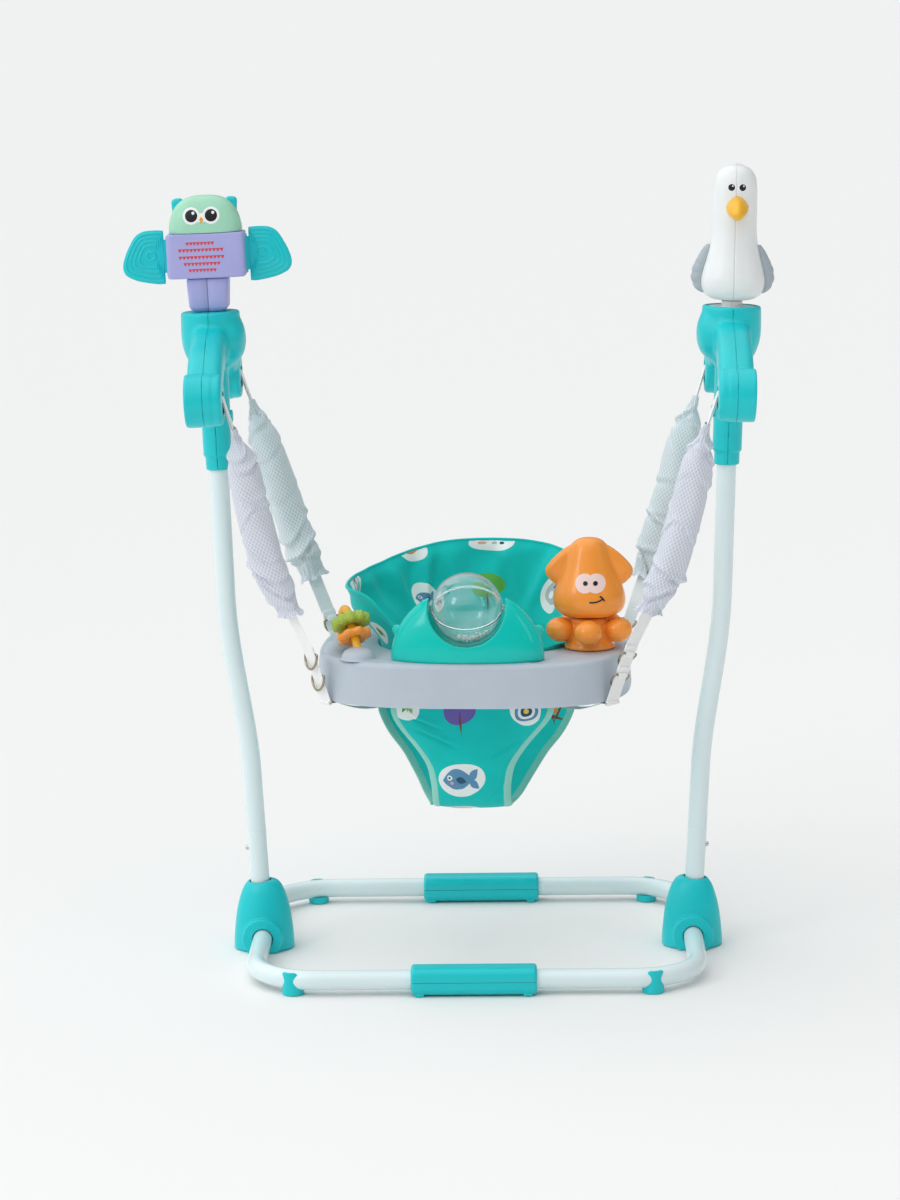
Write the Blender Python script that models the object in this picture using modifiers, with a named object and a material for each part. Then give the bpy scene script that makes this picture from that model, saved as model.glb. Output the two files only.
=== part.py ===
"""Baby jumper: a free-standing tube stand with two towers, and a seat that bounces on four spring straps.

Metres, +Z up. The front is -Y, the owl's tower is on -X and the gull's on +X. The origin is on the
floor, under the middle of the object's box.
"""
import math

import bmesh
import bpy
import numpy as np
from mathutils import Matrix, Vector

# Clearances
GAP = 0.0003                 # between pieces that touch
RUNNING = 0.0006             # between pieces that turn or slide in each other
BIG = 0.6                    # cutters that only have to be larger than the part

# Base loop
TUBE_R = 0.014
TUBE_WALL = 0.002
TUBE_SIDES = 10
BASE_HALF_X = 0.317          # to the axes of the side tubes
BASE_HALF_Y = 0.260          # to the axes of the front and rear tubes
BASE_Z = 0.0218              # tube axis above the floor
CORNER_R = 0.095
BUTT_GAP = 0.0015            # between the two halves, inside the sleeves

# Posts
LOW_LEAN = math.radians(3.0)
TOWER_LEAN = math.radians(1.8)
POST_SEAM_Z = 0.1785
BEND_LOW_Z = 0.270
BEND_TOP_Z = 0.530
SWAGE_LENGTH = 0.066
SPIGOT_TOP_Z = 0.095
POST_IN_TOWER = 0.076        # length of the post inside the tower's collar
LOWER_POST_WALL = 0.0015
SWAGE_R = TUBE_R - LOWER_POST_WALL - GAP
POST_BUTTON_R = 0.0035
POST_BUTTON_DROP = 0.027     # below the seam
POST_BUTTON_PROUD = 0.0045
LEAF_R = 0.0008              # the leaf spring's wire before it is flattened
LEAF_INSET = 0.0057          # from the bore to the leaf

# Sleeves over the joint of the base tubes
SLEEVE_LENGTH = 0.178
SLEEVE_SIDE = 0.040
SLEEVE_ROUND = 0.012
SLEEVE_PAD = (0.013, 0.034)  # along and across the sleeve
SLEEVE_PAD_INSET = 0.006     # from the sleeve's end
SLEEVE_PAD_SUNK = 0.005      # how far the pads reach up into the sleeve's round edge
SLEEVE_SHIFT = 0.003         # the front sleeve sits this far to the owl's side, the rear one to the other


# Feet
FOOT_R = 0.0155
FOOT_TOP_Z = 0.021
FOOT_ANGLES = (math.radians(67), math.radians(73))   # along the bend, at the two ends of a base tube
FOOT_TAB = (0.012, 0.0045, 0.034)

# Shrouds
SHROUD_HEIGHT = 0.105
SHROUD_HALF_X = 0.0445
SHROUD_FLAT = 0.84           # depth over width
SHROUD_WALL = 0.003
COLLAR_R = 0.0300
COLLAR_HALF_Y = 0.0400
SHROUD_BORE_ROOM = 0.0022    # round the post
SHROUD_STEPS = 16

# Towers, heights counted from the lower end of the collar
TOWER_X = 0.368
TOWER_Z = 0.716
TOWER_TOP = 0.230
CUP_R = 0.0422
CUP_RIM = 0.0055             # from the cup's edge to the gull's plate
CUP_BULGE = 0.0434
CUP_BOTTOM = 0.150
OWL_SOCKET_DEPTH = 0.012
SOCKET_STEPS = 16
COLUMN_R = 0.0212
RING_R = 0.0184
RING_TOP = 0.020
DISC_Y = 0.172
DISC_Z = 0.120
DISC_R = 0.0375
DISC_WIDTH = 0.053
ARM_WIDTH = 0.046
ARM_ROOT_Z = 0.184
ARM_HALF_ROOT = 0.027
ARM_HALF_END = 0.021
ARM_KNEE = 0.62              # where the arm bends down, as a share of its reach
CHEEK_HALF = (0.020, 0.036, 0.036)   # the bulge on the housing's inner side
CHEEK_X = 0.0278
CHEEK_Z = 0.190
SHELL_SPLIT = 0.0004
BAR_R = 0.003
BAR_INSET = 0.0040           # bar's axis behind the disc's inner face
POCKET_DEPTH = 0.011
POCKET_HEIGHT = 0.031
POCKET_ROOM = 0.003          # beside the webbing, on each side
TOWER_BUTTON_R = 0.0088
TOWER_BUTTON_Z = 0.077
TOWER_BUTTON_PROUD = 0.0036
TOWER_BUTTON_LENGTH = 0.0066

# Straps
WEB_WIDTH = 0.025
WEB_THICK = 0.0015
WEB_UPPER = 0.066            # strap length from the bar to the spring
SPRING_END = 0.290           # strap length from the bar to the end of the spring
COVER_START = 0.044
COVER_END = 0.326
COVER_HALF = (0.0285, 0.0180)
COVER_WALL = 0.0012
COVER_MOUTH_ROOM = 0.0033    # beside the webbing, on each side
COVER_MOUTH_HALF = 0.0070    # the mouth's half depth
SPRING_R = 0.0105
SPRING_WIRE_R = 0.0011
SPRING_TURNS = 6
SPRING_SHANK = 0.008
RING_PLACES = (0.385, 0.420)
D_RING_ROOM = 0.0020         # from the webbing's edge to the ring
D_RING_WIRE_R = 0.0016
D_RING_TILT = math.radians(12)
SEWN_LOOP_INSET = 0.0030     # from the webbing's edge to the sewn loop
SEWN_LOOP = (0.0050, 0.0075) # thickness and height
HOOK_REACH = 0.015
HOOK_THICK = 0.0016
HOOK_OUT = 0.0090            # from the tray's lower edge to the webbing
FRONT_HOOK = math.radians(34.07) # where on the tray's outline
REAR_HOOK = math.radians(35.60)
HOOK_GAP = 0.0009

# Tray
SEAT_TURN = math.radians(-3.4)
TRAY_HALF_X = 0.228
TRAY_HALF_Y = 0.190
TRAY_POWER = 3.0
TRAY_DROP = 0.3195           # from the towers' lower ends to the tray's lower edge
TRAY_HEIGHT = 0.0615
TRAY_BOTTOM_Z = TOWER_Z - TRAY_DROP
TRAY_TOP_Z = TRAY_BOTTOM_Z + TRAY_HEIGHT
TRAY_DRAFT = 0.004
TRAY_EDGE_R = 0.012
TRAY_WALL = 0.003
HOLE_HALF_X = 0.140
HOLE_HALF_Y = 0.125
HOLE_Y = 0.025
HOLE_POWER = 2.5
TRAY_STEPS = 28
BOTTOM_PLATE = 0.0025

# Fabric seat
SEAT_THICK = 0.0025
SEAT_BACK_TOP = TRAY_TOP_Z + 0.128
SEAT_SIDE_TOP = TRAY_TOP_Z + 0.078
SEAT_FRONT_TOP = TRAY_TOP_Z + 0.004
SEAT_FLARE = (0.050, 0.034)
SEAT_STEPS = TRAY_STEPS      # so that the skirt's flats lie along the flats of the tray's hole
WING_START = 0.0             # sine of the angle where the side wings start to rise
WING_RISE = 0.30
CROTCH_Z = TRAY_BOTTOM_Z - 0.176
CROTCH_HALF = (0.060, 0.046)
LEG_TOP_Z = TRAY_BOTTOM_Z - 0.0135
LEG_FRONT = math.radians(-42)
LEG_REAR = math.radians(18)

# Ball toy
BALL_R = 0.0505
BALL_WALL = 0.0018
BALL_FLANGE = 0.0018
BALL_Z = 0.0740              # above the tray
BALL_Y = -0.1395
BALL_TILT = math.radians(28)
PIN_R = 0.0042
PIN_LENGTH = 0.0085
PIN_SEAT = 0.0009            # the pin's share of the lower flange
CRADLE_HALF = (0.110, 0.038, 0.104)
BALL_ROOM = 0.0032           # from the ball's flange to the cradle
BITE_DEPTH = 0.080           # the hollow's half length from front to rear
CRADLE_WALL = 0.003
HORN_SOLID_Z = 0.056         # above the tray, where the horns stop being hollow

# Squid
SQUID_PLACE = (0.170, -0.045)
SQUID_FLAT = 0.84
SQUID_BASE_R = 0.035
SQUID_BASE_H = 0.046
BULB_R = 0.0195
BULB_RING = 0.044
BULB_Z = 0.0285
BULB_COUNT = 5
SQUID_NECK_R = 0.006

# Bead toy
DOME_R = 0.024
DOME_HEIGHT = 0.017
DOME_FRONT = (-0.157, -0.132)
DOME_REAR = (-0.189, -0.072)
ARCH_R = 0.0058
ARCH_TOP = 0.066
GREEN_R = 0.0290
GREEN_THICK = 0.0150
ORANGE_R = 0.0260
ORANGE_THICK = 0.0090
ARCH_LEAN = 0.80             # where the top is, between the front and the rear dome
RING_ROOM = 0.0005           # between the arch and the rings' holes
GREEN_ALONG = 0.50           # share of the front leg of the arch
ORANGE_ALONG = 0.25

# Owl, heights counted from the cup's floor
OWL_STEM = (0.060, 0.048, 0.0485)
OWL_BODY = (0.112, 0.062, 0.064)
OWL_HEAD = (0.105, 0.060, 0.053)
OWL_WING = (0.060, 0.0050, 0.076)
OWL_HINGE_R = 0.0032
OWL_NECK_R = 0.010

# Gull
GULL_HEIGHT = 0.193
GULL_NECK_R = 0.0315
GULL_BODY_R = 0.0465
GULL_FLAT = 0.90
PLATE_THICK = 0.0035
PLATE_SUNK = 0.002           # the plate's top below the cup's rim
PLATE_COLLAR_R = 0.0150
PLATE_COLLAR_H = 0.0085
WING_PROUD = 0.0080
GULL_PIN_R = 0.0080
GULL_PIN_LENGTH = 0.010

# Left and right of the box round the whole object, which the origin is under
OWL_TIP_X = 0.500
GULL_TIP_X = 0.431
STAND_X = (OWL_TIP_X - GULL_TIP_X) / 2

PARTS = None
CUTTERS = None


# Helpers

def clear_scene():
    for obj in list(bpy.data.objects):
        bpy.data.objects.remove(obj, do_unlink=True)


def add_collection(name):
    group = bpy.data.collections.new(name)
    bpy.context.scene.collection.children.link(group)
    return group


def material(name, colour, roughness, metallic=0.0, alpha=1.0):
    """A plain Principled BSDF in the part's colour, given as linear red, green and blue."""
    mat = bpy.data.materials.new(name)
    mat.use_nodes = True
    shader = mat.node_tree.nodes["Principled BSDF"]
    shader.inputs["Base Color"].default_value = (*colour, 1.0)
    shader.inputs["Roughness"].default_value = roughness
    shader.inputs["Metallic"].default_value = metallic
    shader.inputs["Alpha"].default_value = alpha
    return mat


def add_empty(name, parent=None, place=(0, 0, 0), turn=(0, 0, 0)):
    guide = bpy.data.objects.new(name, None)
    PARTS.objects.link(guide)
    guide.parent = parent
    guide.location = place
    guide.rotation_euler = turn
    guide.empty_display_size = 0.05
    return guide


def new_object(name, mesh):
    obj = bpy.data.objects.new(name, mesh)
    PARTS.objects.link(obj)
    return obj


def from_bmesh(name, bm):
    mesh = bpy.data.meshes.new(name)
    bm.to_mesh(mesh)
    bm.free()
    return new_object(name, mesh)


def settle(obj):
    """Puts what the modifiers make into the object's own mesh."""
    bpy.context.view_layer.update()
    graph = bpy.context.evaluated_depsgraph_get()
    mesh = bpy.data.meshes.new_from_object(obj.evaluated_get(graph))
    obj.modifiers.clear()
    obj.data = mesh
    return obj


def weld(obj, distance=1e-5):
    bm = bmesh.new()
    bm.from_mesh(obj.data)
    bmesh.ops.remove_doubles(bm, verts=bm.verts, dist=distance)
    bmesh.ops.recalc_face_normals(bm, faces=bm.faces)
    bm.to_mesh(obj.data)
    bm.free()
    return obj


def merge_flat(obj):
    """Makes one face of each flat patch, so that a bevel on its border can't fold small triangles over."""
    bm = bmesh.new()
    bm.from_mesh(obj.data)
    bmesh.ops.dissolve_limit(bm, angle_limit=math.radians(0.5), verts=bm.verts, edges=bm.edges)
    bm.to_mesh(obj.data)
    bm.free()
    return obj


def reshape(obj, matrix):
    """Moves the mesh itself, so that the object's own place stays free for its joint."""
    obj.data.transform(matrix)
    if matrix.determinant() < 0:
        obj.data.flip_normals()
    return obj


def shift(obj, x, y, z):
    return reshape(obj, Matrix.Translation((x, y, z)))


def stretch(obj, x, y, z):
    return reshape(obj, Matrix.Diagonal((x, y, z, 1.0)))


def rotate(obj, angle, axis):
    return reshape(obj, Matrix.Rotation(angle, 4, axis))


def bevel(obj, width, segments=2, limit="ANGLE"):
    mod = obj.modifiers.new("edges", "BEVEL")
    mod.width = width
    mod.segments = segments
    mod.limit_method = limit
    mod.angle_limit = math.radians(40)
    return settle(obj)


def solidify(obj, wall):
    """Gives an open surface its wall, on the inner side."""
    mod = obj.modifiers.new("wall", "SOLIDIFY")
    mod.thickness = wall
    mod.offset = -1.0
    mod.use_even_offset = True
    return settle(obj)


def boolean(obj, other, operation):
    """Cuts or joins with another object, which becomes a hidden guide beside it."""
    mod = obj.modifiers.new(operation.lower(), "BOOLEAN")
    mod.operation = operation
    mod.solver = "EXACT"
    mod.object = other
    PARTS.objects.unlink(other)
    CUTTERS.objects.link(other)
    other.hide_render = True
    other.display_type = "WIRE"
    other.parent = obj.parent
    return settle(obj)


def cut(obj, *others):
    for other in others:
        boolean(obj, other, "DIFFERENCE")
    return obj


def join(obj, *others):
    for other in others:
        boolean(obj, other, "UNION")
    return obj


def keep_inside(obj, other):
    return boolean(obj, other, "INTERSECT")


def box(name, size, centre=(0, 0, 0)):
    bm = bmesh.new()
    bmesh.ops.create_cube(bm, size=1.0)
    obj = from_bmesh(name, bm)
    stretch(obj, *size)
    return shift(obj, *centre)


def ball(name, radii, centre=(0, 0, 0), segments=20, rings=10):
    bm = bmesh.new()
    bmesh.ops.create_uvsphere(bm, u_segments=segments, v_segments=rings, radius=1.0)
    obj = from_bmesh(name, bm)
    stretch(obj, *radii)
    return shift(obj, *centre)


def rod(name, radius, length, axis="Z", centre=(0, 0, 0), segments=20):
    bm = bmesh.new()
    bmesh.ops.create_cone(bm, cap_ends=True, segments=segments, radius1=radius, radius2=radius, depth=length)
    obj = from_bmesh(name, bm)
    if axis == "X":
        rotate(obj, math.radians(90), "Y")
    if axis == "Y":
        rotate(obj, math.radians(90), "X")
    return shift(obj, *centre)


def turned(name, profile, steps=24, squash=1.0):
    """A profile of (radius, height), from top to bottom, turned about Z and then flattened along Y."""
    mesh = bpy.data.meshes.new(name)
    points = [(r, 0.0, z) for r, z in profile]
    mesh.from_pydata(points, [(i, i + 1) for i in range(len(points) - 1)], [])
    obj = new_object(name, mesh)
    mod = obj.modifiers.new("turn", "SCREW")
    mod.steps = steps
    mod.render_steps = steps
    mod.use_merge_vertices = True
    mod.merge_threshold = 0.00001
    settle(obj)
    weld(obj)
    return stretch(obj, 1.0, squash, 1.0)


def plate(name, outlines, thickness, normal="Z"):
    """A flat outline, with any holes, as a curve filled on both sides and made a mesh."""
    curve = bpy.data.curves.new(name, "CURVE")
    curve.dimensions = "2D"
    curve.fill_mode = "BOTH"
    curve.extrude = thickness / 2
    for outline in outlines:
        spline = curve.splines.new("POLY")
        spline.points.add(len(outline) - 1)
        for point, (a, b) in zip(spline.points, outline):
            point.co = (a, b, 0.0, 1.0)
        spline.use_cyclic_u = True
    obj = merge_flat(curve_mesh(name, curve))
    if normal == "Y":
        rotate(obj, math.radians(90), "X")
    if normal == "X":
        reshape(obj, Matrix(((0, 0, 1, 0), (1, 0, 0, 0), (0, 1, 0, 0), (0, 0, 0, 1))))
    return obj


def curve_mesh(name, curve):
    guide = bpy.data.objects.new(name, curve)
    PARTS.objects.link(guide)
    bpy.context.view_layer.update()
    graph = bpy.context.evaluated_depsgraph_get()
    mesh = bpy.data.meshes.new_from_object(guide.evaluated_get(graph))
    bpy.data.objects.remove(guide, do_unlink=True)
    return weld(new_object(name, mesh))


def tube(name, points, radius, wall=0.0, sides=TUBE_SIDES):
    """A round bar along the points or, with a wall, a tube that is open at its ends."""
    curve = bpy.data.curves.new(name, "CURVE")
    curve.dimensions = "3D"
    curve.bevel_depth = radius
    curve.bevel_resolution = sides // 2 - 2
    curve.use_fill_caps = wall == 0.0
    spline = curve.splines.new("POLY")
    spline.points.add(len(points) - 1)
    for point, place in zip(spline.points, points):
        point.co = (*place, 1.0)
    obj = curve_mesh(name, curve)
    return solidify(obj, wall) if wall else obj


def lofted(name, rings, wall=0.0, close_last=False):
    """A skin over closed rings with equally many points, from the first ring to the last."""
    count = len(rings[0])
    points = [tuple(p) for ring in rings for p in ring]
    faces = []
    for row in range(len(rings) - 1):
        for i in range(count):
            j = (i + 1) % count
            faces.append((row * count + i, row * count + j, (row + 1) * count + j, (row + 1) * count + i))
    if close_last:
        faces.append(tuple((len(rings) - 1) * count + i for i in range(count)))
    mesh = bpy.data.meshes.new(name)
    mesh.from_pydata(points, [], faces)
    obj = weld(new_object(name, mesh))
    return solidify(obj, wall) if wall else obj


def finish(obj, mat, parent, place=(0, 0, 0), turn=(0, 0, 0)):
    """Shades a finished piece, gives it its material and puts it under its parent."""
    merge_flat(obj)
    obj.data.materials.clear()
    obj.data.materials.append(mat)
    obj.data.shade_smooth()
    obj.data.set_sharp_from_angle(angle=math.radians(35))
    obj.parent = parent
    obj.location = place
    obj.rotation_euler = turn
    return obj


def rounded_path(corners, radius, steps=4):
    """A polyline whose inner corners are arcs of one radius."""
    path = [Vector(corners[0])]
    for before, corner, after in zip(corners, corners[1:], corners[2:]):
        before, corner, after = Vector(before), Vector(corner), Vector(after)
        into, out = (corner - before).normalized(), (after - corner).normalized()
        bend = into.angle(out)
        start = corner - into * radius * math.tan(bend / 2)
        centre = start + (out - into * into.dot(out)).normalized() * radius
        axis = into.cross(out).normalized()
        for step in range(steps + 1):
            path.append(centre + Matrix.Rotation(bend * step / steps, 3, axis) @ (start - centre))
    path.append(Vector(corners[-1]))
    return path


def oval(half_x, half_y, power, steps=TRAY_STEPS, centre_y=0.0):
    """Points of a superellipse |x/a|^p + |y/b|^p = 1."""
    turn = np.linspace(0, 2 * math.pi, steps, endpoint=False)
    x = half_x * np.sign(np.cos(turn)) * np.abs(np.cos(turn)) ** (2 / power)
    y = half_y * np.sign(np.sin(turn)) * np.abs(np.sin(turn)) ** (2 / power) + centre_y
    return list(zip(x.tolist(), y.tolist()))


def ring_at(outline, height):
    return [(x, y, height) for x, y in outline]


def smooth_step(value):
    value = min(max(value, 0.0), 1.0)
    return value * value * (3 - 2 * value)


def post_x(height):
    """The post's axis: two straight runs, blended over the bend."""
    low = BASE_HALF_X + math.tan(LOW_LEAN) * (height - BASE_Z)
    top = TOWER_X + math.tan(TOWER_LEAN) * (height - TOWER_Z)
    share = smooth_step((height - BEND_LOW_Z) / (BEND_TOP_Z - BEND_LOW_Z))
    return low + (top - low) * share


def post_points(side, low, top, count):
    return [(side * post_x(z), 0.0, z) for z in np.linspace(low, top, count).tolist()]


# Stand

def base_half(side):
    """Half of the base loop: a tube bent twice, with the spigot for the post welded on its middle."""
    x, y = side * BASE_HALF_X, BASE_HALF_Y
    butt = side * BUTT_GAP / 2
    corners = [(butt, -y, BASE_Z), (x, -y, BASE_Z), (x, y, BASE_Z), (butt, y, BASE_Z)]
    half = tube("base_tube", rounded_path(corners, CORNER_R), TUBE_R, TUBE_WALL)
    spigot = tube("spigot", post_points(side, BASE_Z + TUBE_R * 0.45, SPIGOT_TOP_Z, 2), SWAGE_R, TUBE_WALL)
    return join(half, spigot)


def base_channel(side, radius):
    """A bar along one side of the base loop, which cuts the tube's room in the pieces on it."""
    x, y = side * BASE_HALF_X, BASE_HALF_Y
    corners = [(0.0, -y, BASE_Z), (x, -y, BASE_Z), (x, y, BASE_Z), (0.0, y, BASE_Z)]
    return tube("channel", rounded_path(corners, CORNER_R), radius)


def sleeve(end, upper):
    """One half of the moulded sleeve over the joint of the base tubes."""
    x, y = end * SLEEVE_SHIFT, end * BASE_HALF_Y
    half = box("sleeve", (SLEEVE_LENGTH, SLEEVE_SIDE, SLEEVE_SIDE), (x, y, BASE_Z))
    bevel(half, SLEEVE_ROUND, 2, "ANGLE")
    if not upper:
        pad_top = BASE_Z - SLEEVE_SIDE / 2 + SLEEVE_PAD_SUNK
        for where in (-1, 1):
            pad_x = x + where * (SLEEVE_LENGTH / 2 - SLEEVE_PAD[0] / 2 - SLEEVE_PAD_INSET)
            join(half, box("pad", (*SLEEVE_PAD, pad_top), (pad_x, y, pad_top / 2)))
    cut(half, rod("bore", TUBE_R + GAP, BIG, "X", (0, y, BASE_Z)))
    away = -1 if upper else 1
    cut(half, box("other_half", (BIG, BIG, BIG), (0, 0, BASE_Z + away * (BIG / 2 - GAP / 2))))
    return half


def foot(side, end):
    """A round pad clipped under the bend, with a tab up the tube's outer side."""
    angle = FOOT_ANGLES[side == end] * end
    x = side * (BASE_HALF_X - CORNER_R + CORNER_R * math.cos(angle))
    y = end * (BASE_HALF_Y - CORNER_R) + CORNER_R * math.sin(angle)
    pad = turned("pad", ((0, FOOT_TOP_Z), (FOOT_R, FOOT_TOP_Z), (FOOT_R, 0.002), (FOOT_R - 0.002, 0), (0, 0)), 10)
    width, depth, height = FOOT_TAB
    tab = box("tab", (width, depth, height), (0, -(TUBE_R + depth / 2 - 0.0015), height / 2))
    outward = math.atan2(y - end * (BASE_HALF_Y - CORNER_R), x - side * (BASE_HALF_X - CORNER_R))
    rotate(tab, outward + math.radians(90), "Z")
    join(pad, tab)
    shift(pad, x, y, 0)
    return cut(pad, base_channel(side, TUBE_R + GAP))


def shroud(side):
    """The bullet-shaped cover at the post's foot, hollow, with an arched collar round the base tube."""
    h, r = SHROUD_HEIGHT, SHROUD_HALF_X
    outline = ((0.40, 1.0), (0.55, 0.955), (0.72, 0.82), (0.88, 0.57), (0.97, 0.28), (1.0, 0.0))
    outer = [(0, h)] + [(share * r, height * h) for share, height in outline] + [(0, 0)]
    shell = turned("shroud", outer, SHROUD_STEPS, SHROUD_FLAT)
    join(shell, rod("collar", COLLAR_R, 2 * COLLAR_HALF_Y, "Y", (0, 0, BASE_Z), SHROUD_STEPS))
    cut(shell, box("floor", (BIG, BIG, BIG), (0, 0, -BIG / 2)))
    wall = SHROUD_WALL
    inner = [(0, h - 2 * wall)]
    inner += [(share * r - wall, height * h - wall / 2) for share, height in outline[1:-1:2]]
    inner += [(r - wall, -wall), (0, -wall)]
    cut(shell, turned("hollow", inner, SHROUD_STEPS, SHROUD_FLAT))
    shift(shell, side * BASE_HALF_X, 0, 0)
    low, top = post_points(side, BASE_Z + TUBE_R + wall, SHROUD_HEIGHT + 0.02, 2)
    cut(shell, tube("post_bore", [low, top], TUBE_R + SHROUD_BORE_ROOM, 0.0, 10))
    reach = COLLAR_HALF_Y * 2 + 0.04
    cut(shell, rod("channel", TUBE_R + GAP, reach, "Y", (side * BASE_HALF_X, 0, BASE_Z), 2 * TUBE_SIDES))
    return shell


def lower_post(side):
    low = BASE_Z + TUBE_R + RUNNING
    post = tube("lower_post", post_points(side, low, POST_SEAM_Z, 2), TUBE_R, LOWER_POST_WALL)
    return cut(post, button_bore(side))


def upper_post(side, top):
    """The long bent post, with a narrower end that slides into the lower post."""
    seam = POST_SEAM_Z + GAP
    heights = [seam] + np.linspace(BEND_LOW_Z, BEND_TOP_Z, 6).tolist() + [top]
    post = tube("upper_post", [(side * post_x(z), 0, z) for z in heights], TUBE_R, TUBE_WALL)
    swage_top = seam + 0.004
    swage = tube("swage", post_points(side, seam - SWAGE_LENGTH, swage_top, 2), SWAGE_R, TUBE_WALL)
    join(post, swage)
    return cut(post, button_bore(side))


def button_place(side):
    z = POST_SEAM_Z - POST_BUTTON_DROP
    return side * post_x(z), z


def button_bore(side):
    """The hole through the outer side of both posts."""
    x, z = button_place(side)
    return rod("bore", POST_BUTTON_R + RUNNING, 2 * TUBE_R, "X", (x + side * TUBE_R, 0, z), 12)


def post_button(side):
    """A snap button on its leaf spring, inside the swaged end of the upper post."""
    inside = SWAGE_R - TUBE_WALL
    head = TUBE_R + POST_BUTTON_PROUD
    leaf_x = inside - LEAF_INSET
    root = leaf_x - LEAF_R / 2
    pin = rod("pin", POST_BUTTON_R, head - root, "X", (side * (head + root) / 2, 0, 0), 12)
    back = -(leaf_x - 0.0003)
    leaf = [(leaf_x, 0, 0.005), (leaf_x, 0, -0.020), (back, 0, -0.030), (back, 0, -0.012)]
    leaf = [(side * x, y, z) for x, y, z in leaf]
    join(pin, stretch(tube("leaf", rounded_path(leaf, 0.003, 2), LEAF_R, 0.0, 6), 1, 2.4, 1))
    return pin


# Towers, in a frame at the collar's lower end, with the inner side towards the seat

def tower_block(side):
    """The whole housing as one block: cup, two drooping arms, strap discs, column and collar ring."""
    top = TOWER_TOP
    cup = [(0, top), (CUP_R, top), (CUP_BULGE, top - 0.024), (CUP_R - 0.001, top - 0.048)]
    cup += [(0.0375, top - 0.065), (0.0300, CUP_BOTTOM), (0.016, CUP_BOTTOM - 0.008), (0, CUP_BOTTOM - 0.009)]
    block = turned("tower", cup, 16)
    join(block, bevel(plate("arms", [arm_outline()], ARM_WIDTH, "X"), 0.006, 1))
    for end in (-1, 1):
        disc = rod("disc", DISC_R, DISC_WIDTH, "X", (0, end * DISC_Y, DISC_Z), 18)
        join(block, bevel(disc, 0.003, 1))
    join(block, rod("column", COLUMN_R, ARM_ROOT_Z - RING_TOP, "Z", (0, 0, (ARM_ROOT_Z + RING_TOP) / 2), 14))
    join(block, rod("ring", RING_R, RING_TOP + 0.004, "Z", (0, 0, (RING_TOP + 0.004) / 2), 14))
    return join(block, ball("cheek", CHEEK_HALF, (-side * CHEEK_X, 0, CHEEK_Z), 12, 8))


def arm_outline():
    """Both arms seen from the side: a curve through the root and the disc, with a tapering width."""
    upper, lower = [], []
    steps = 5
    for step in range(steps + 1):
        t = step / steps
        root, end = Vector((0, ARM_ROOT_Z)), Vector((DISC_Y, DISC_Z))
        knee = Vector((ARM_KNEE * DISC_Y, ARM_ROOT_Z))
        spot = root * (1 - t) ** 2 + knee * 2 * t * (1 - t) + end * t * t
        along = ((knee - root) * (1 - t) + (end - knee) * t).normalized()
        across = Vector((-along.y, along.x))
        half = ARM_HALF_ROOT + (ARM_HALF_END - ARM_HALF_ROOT) * t
        upper.append(spot + across * half)
        lower.append(spot - across * half)
    right = upper + lower[::-1][:-1]
    left = [Vector((-p.x, p.y)) for p in lower[1:] + upper[::-1][:-1]]
    return [tuple(p) for p in right + [Vector((0, ARM_ROOT_Z - ARM_HALF_ROOT))] + left]


def bar_place(side, end):
    """The strap bar's axis in the tower's frame."""
    return -side * (DISC_WIDTH / 2 - BAR_INSET), end * DISC_Y, DISC_Z


def tower_shell(side, outer, post_top):
    """One half of the housing, split on the plane through the post."""
    shell = tower_block(side)
    away = side if outer else -side
    keep_inside(shell, box("half", (BIG, BIG, BIG), (away * (BIG / 2 + SHELL_SPLIT / 2), 0, 0)))
    cut(shell, rod("post_bore", TUBE_R + GAP, 2 * (post_top + RUNNING), "Z", (0, 0, 0), 2 * TUBE_SIDES))
    if not outer:
        for end in (-1, 1):
            x, y, z = bar_place(side, end)
            width = WEB_WIDTH + 2 * POCKET_ROOM
            face = -side * DISC_WIDTH / 2
            pocket = box("pocket", (2 * POCKET_DEPTH, width, POCKET_HEIGHT), (face, y, z - 0.004))
            cut(shell, pocket)
            join(shell, rod("bar", BAR_R, width + 0.004, "Y", (x, y, z), 12))
        hole = rod("hole", TOWER_BUTTON_R + RUNNING / 2, BIG, "X", (-side * BIG / 2, 0, TOWER_BUTTON_Z), 16)
        cut(shell, hole)
    return shell


def tower_socket(shell, radius, depth):
    """The round recess in the cup's top, which the toy's foot stands in."""
    socket = ((0, depth), (radius, depth), (radius, -depth), (0, -depth))
    return cut(shell, shift(turned("socket", socket, SOCKET_STEPS), 0, 0, TOWER_TOP))


def tower_button(side):
    """The round release button in the collar's inner side."""
    face = COLUMN_R + TOWER_BUTTON_PROUD
    middle = -side * (face - TOWER_BUTTON_LENGTH / 2)
    button = rod("button", TOWER_BUTTON_R, TOWER_BUTTON_LENGTH, "X", (middle, 0, TOWER_BUTTON_Z), 12)
    return bevel(button, 0.0008, 1)


# Straps

def hook_place(end):
    """Where a strap meets the tray's lower edge on the +X side, in the seat's frame."""
    angle = FRONT_HOOK if end < 0 else REAR_HOOK
    x = (TRAY_HALF_X - TRAY_DRAFT + HOOK_OUT) * math.cos(angle) ** (2 / TRAY_POWER)
    y = (TRAY_HALF_Y - TRAY_DRAFT + HOOK_OUT) * math.sin(angle) ** (2 / TRAY_POWER)
    return x, end * y


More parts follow.
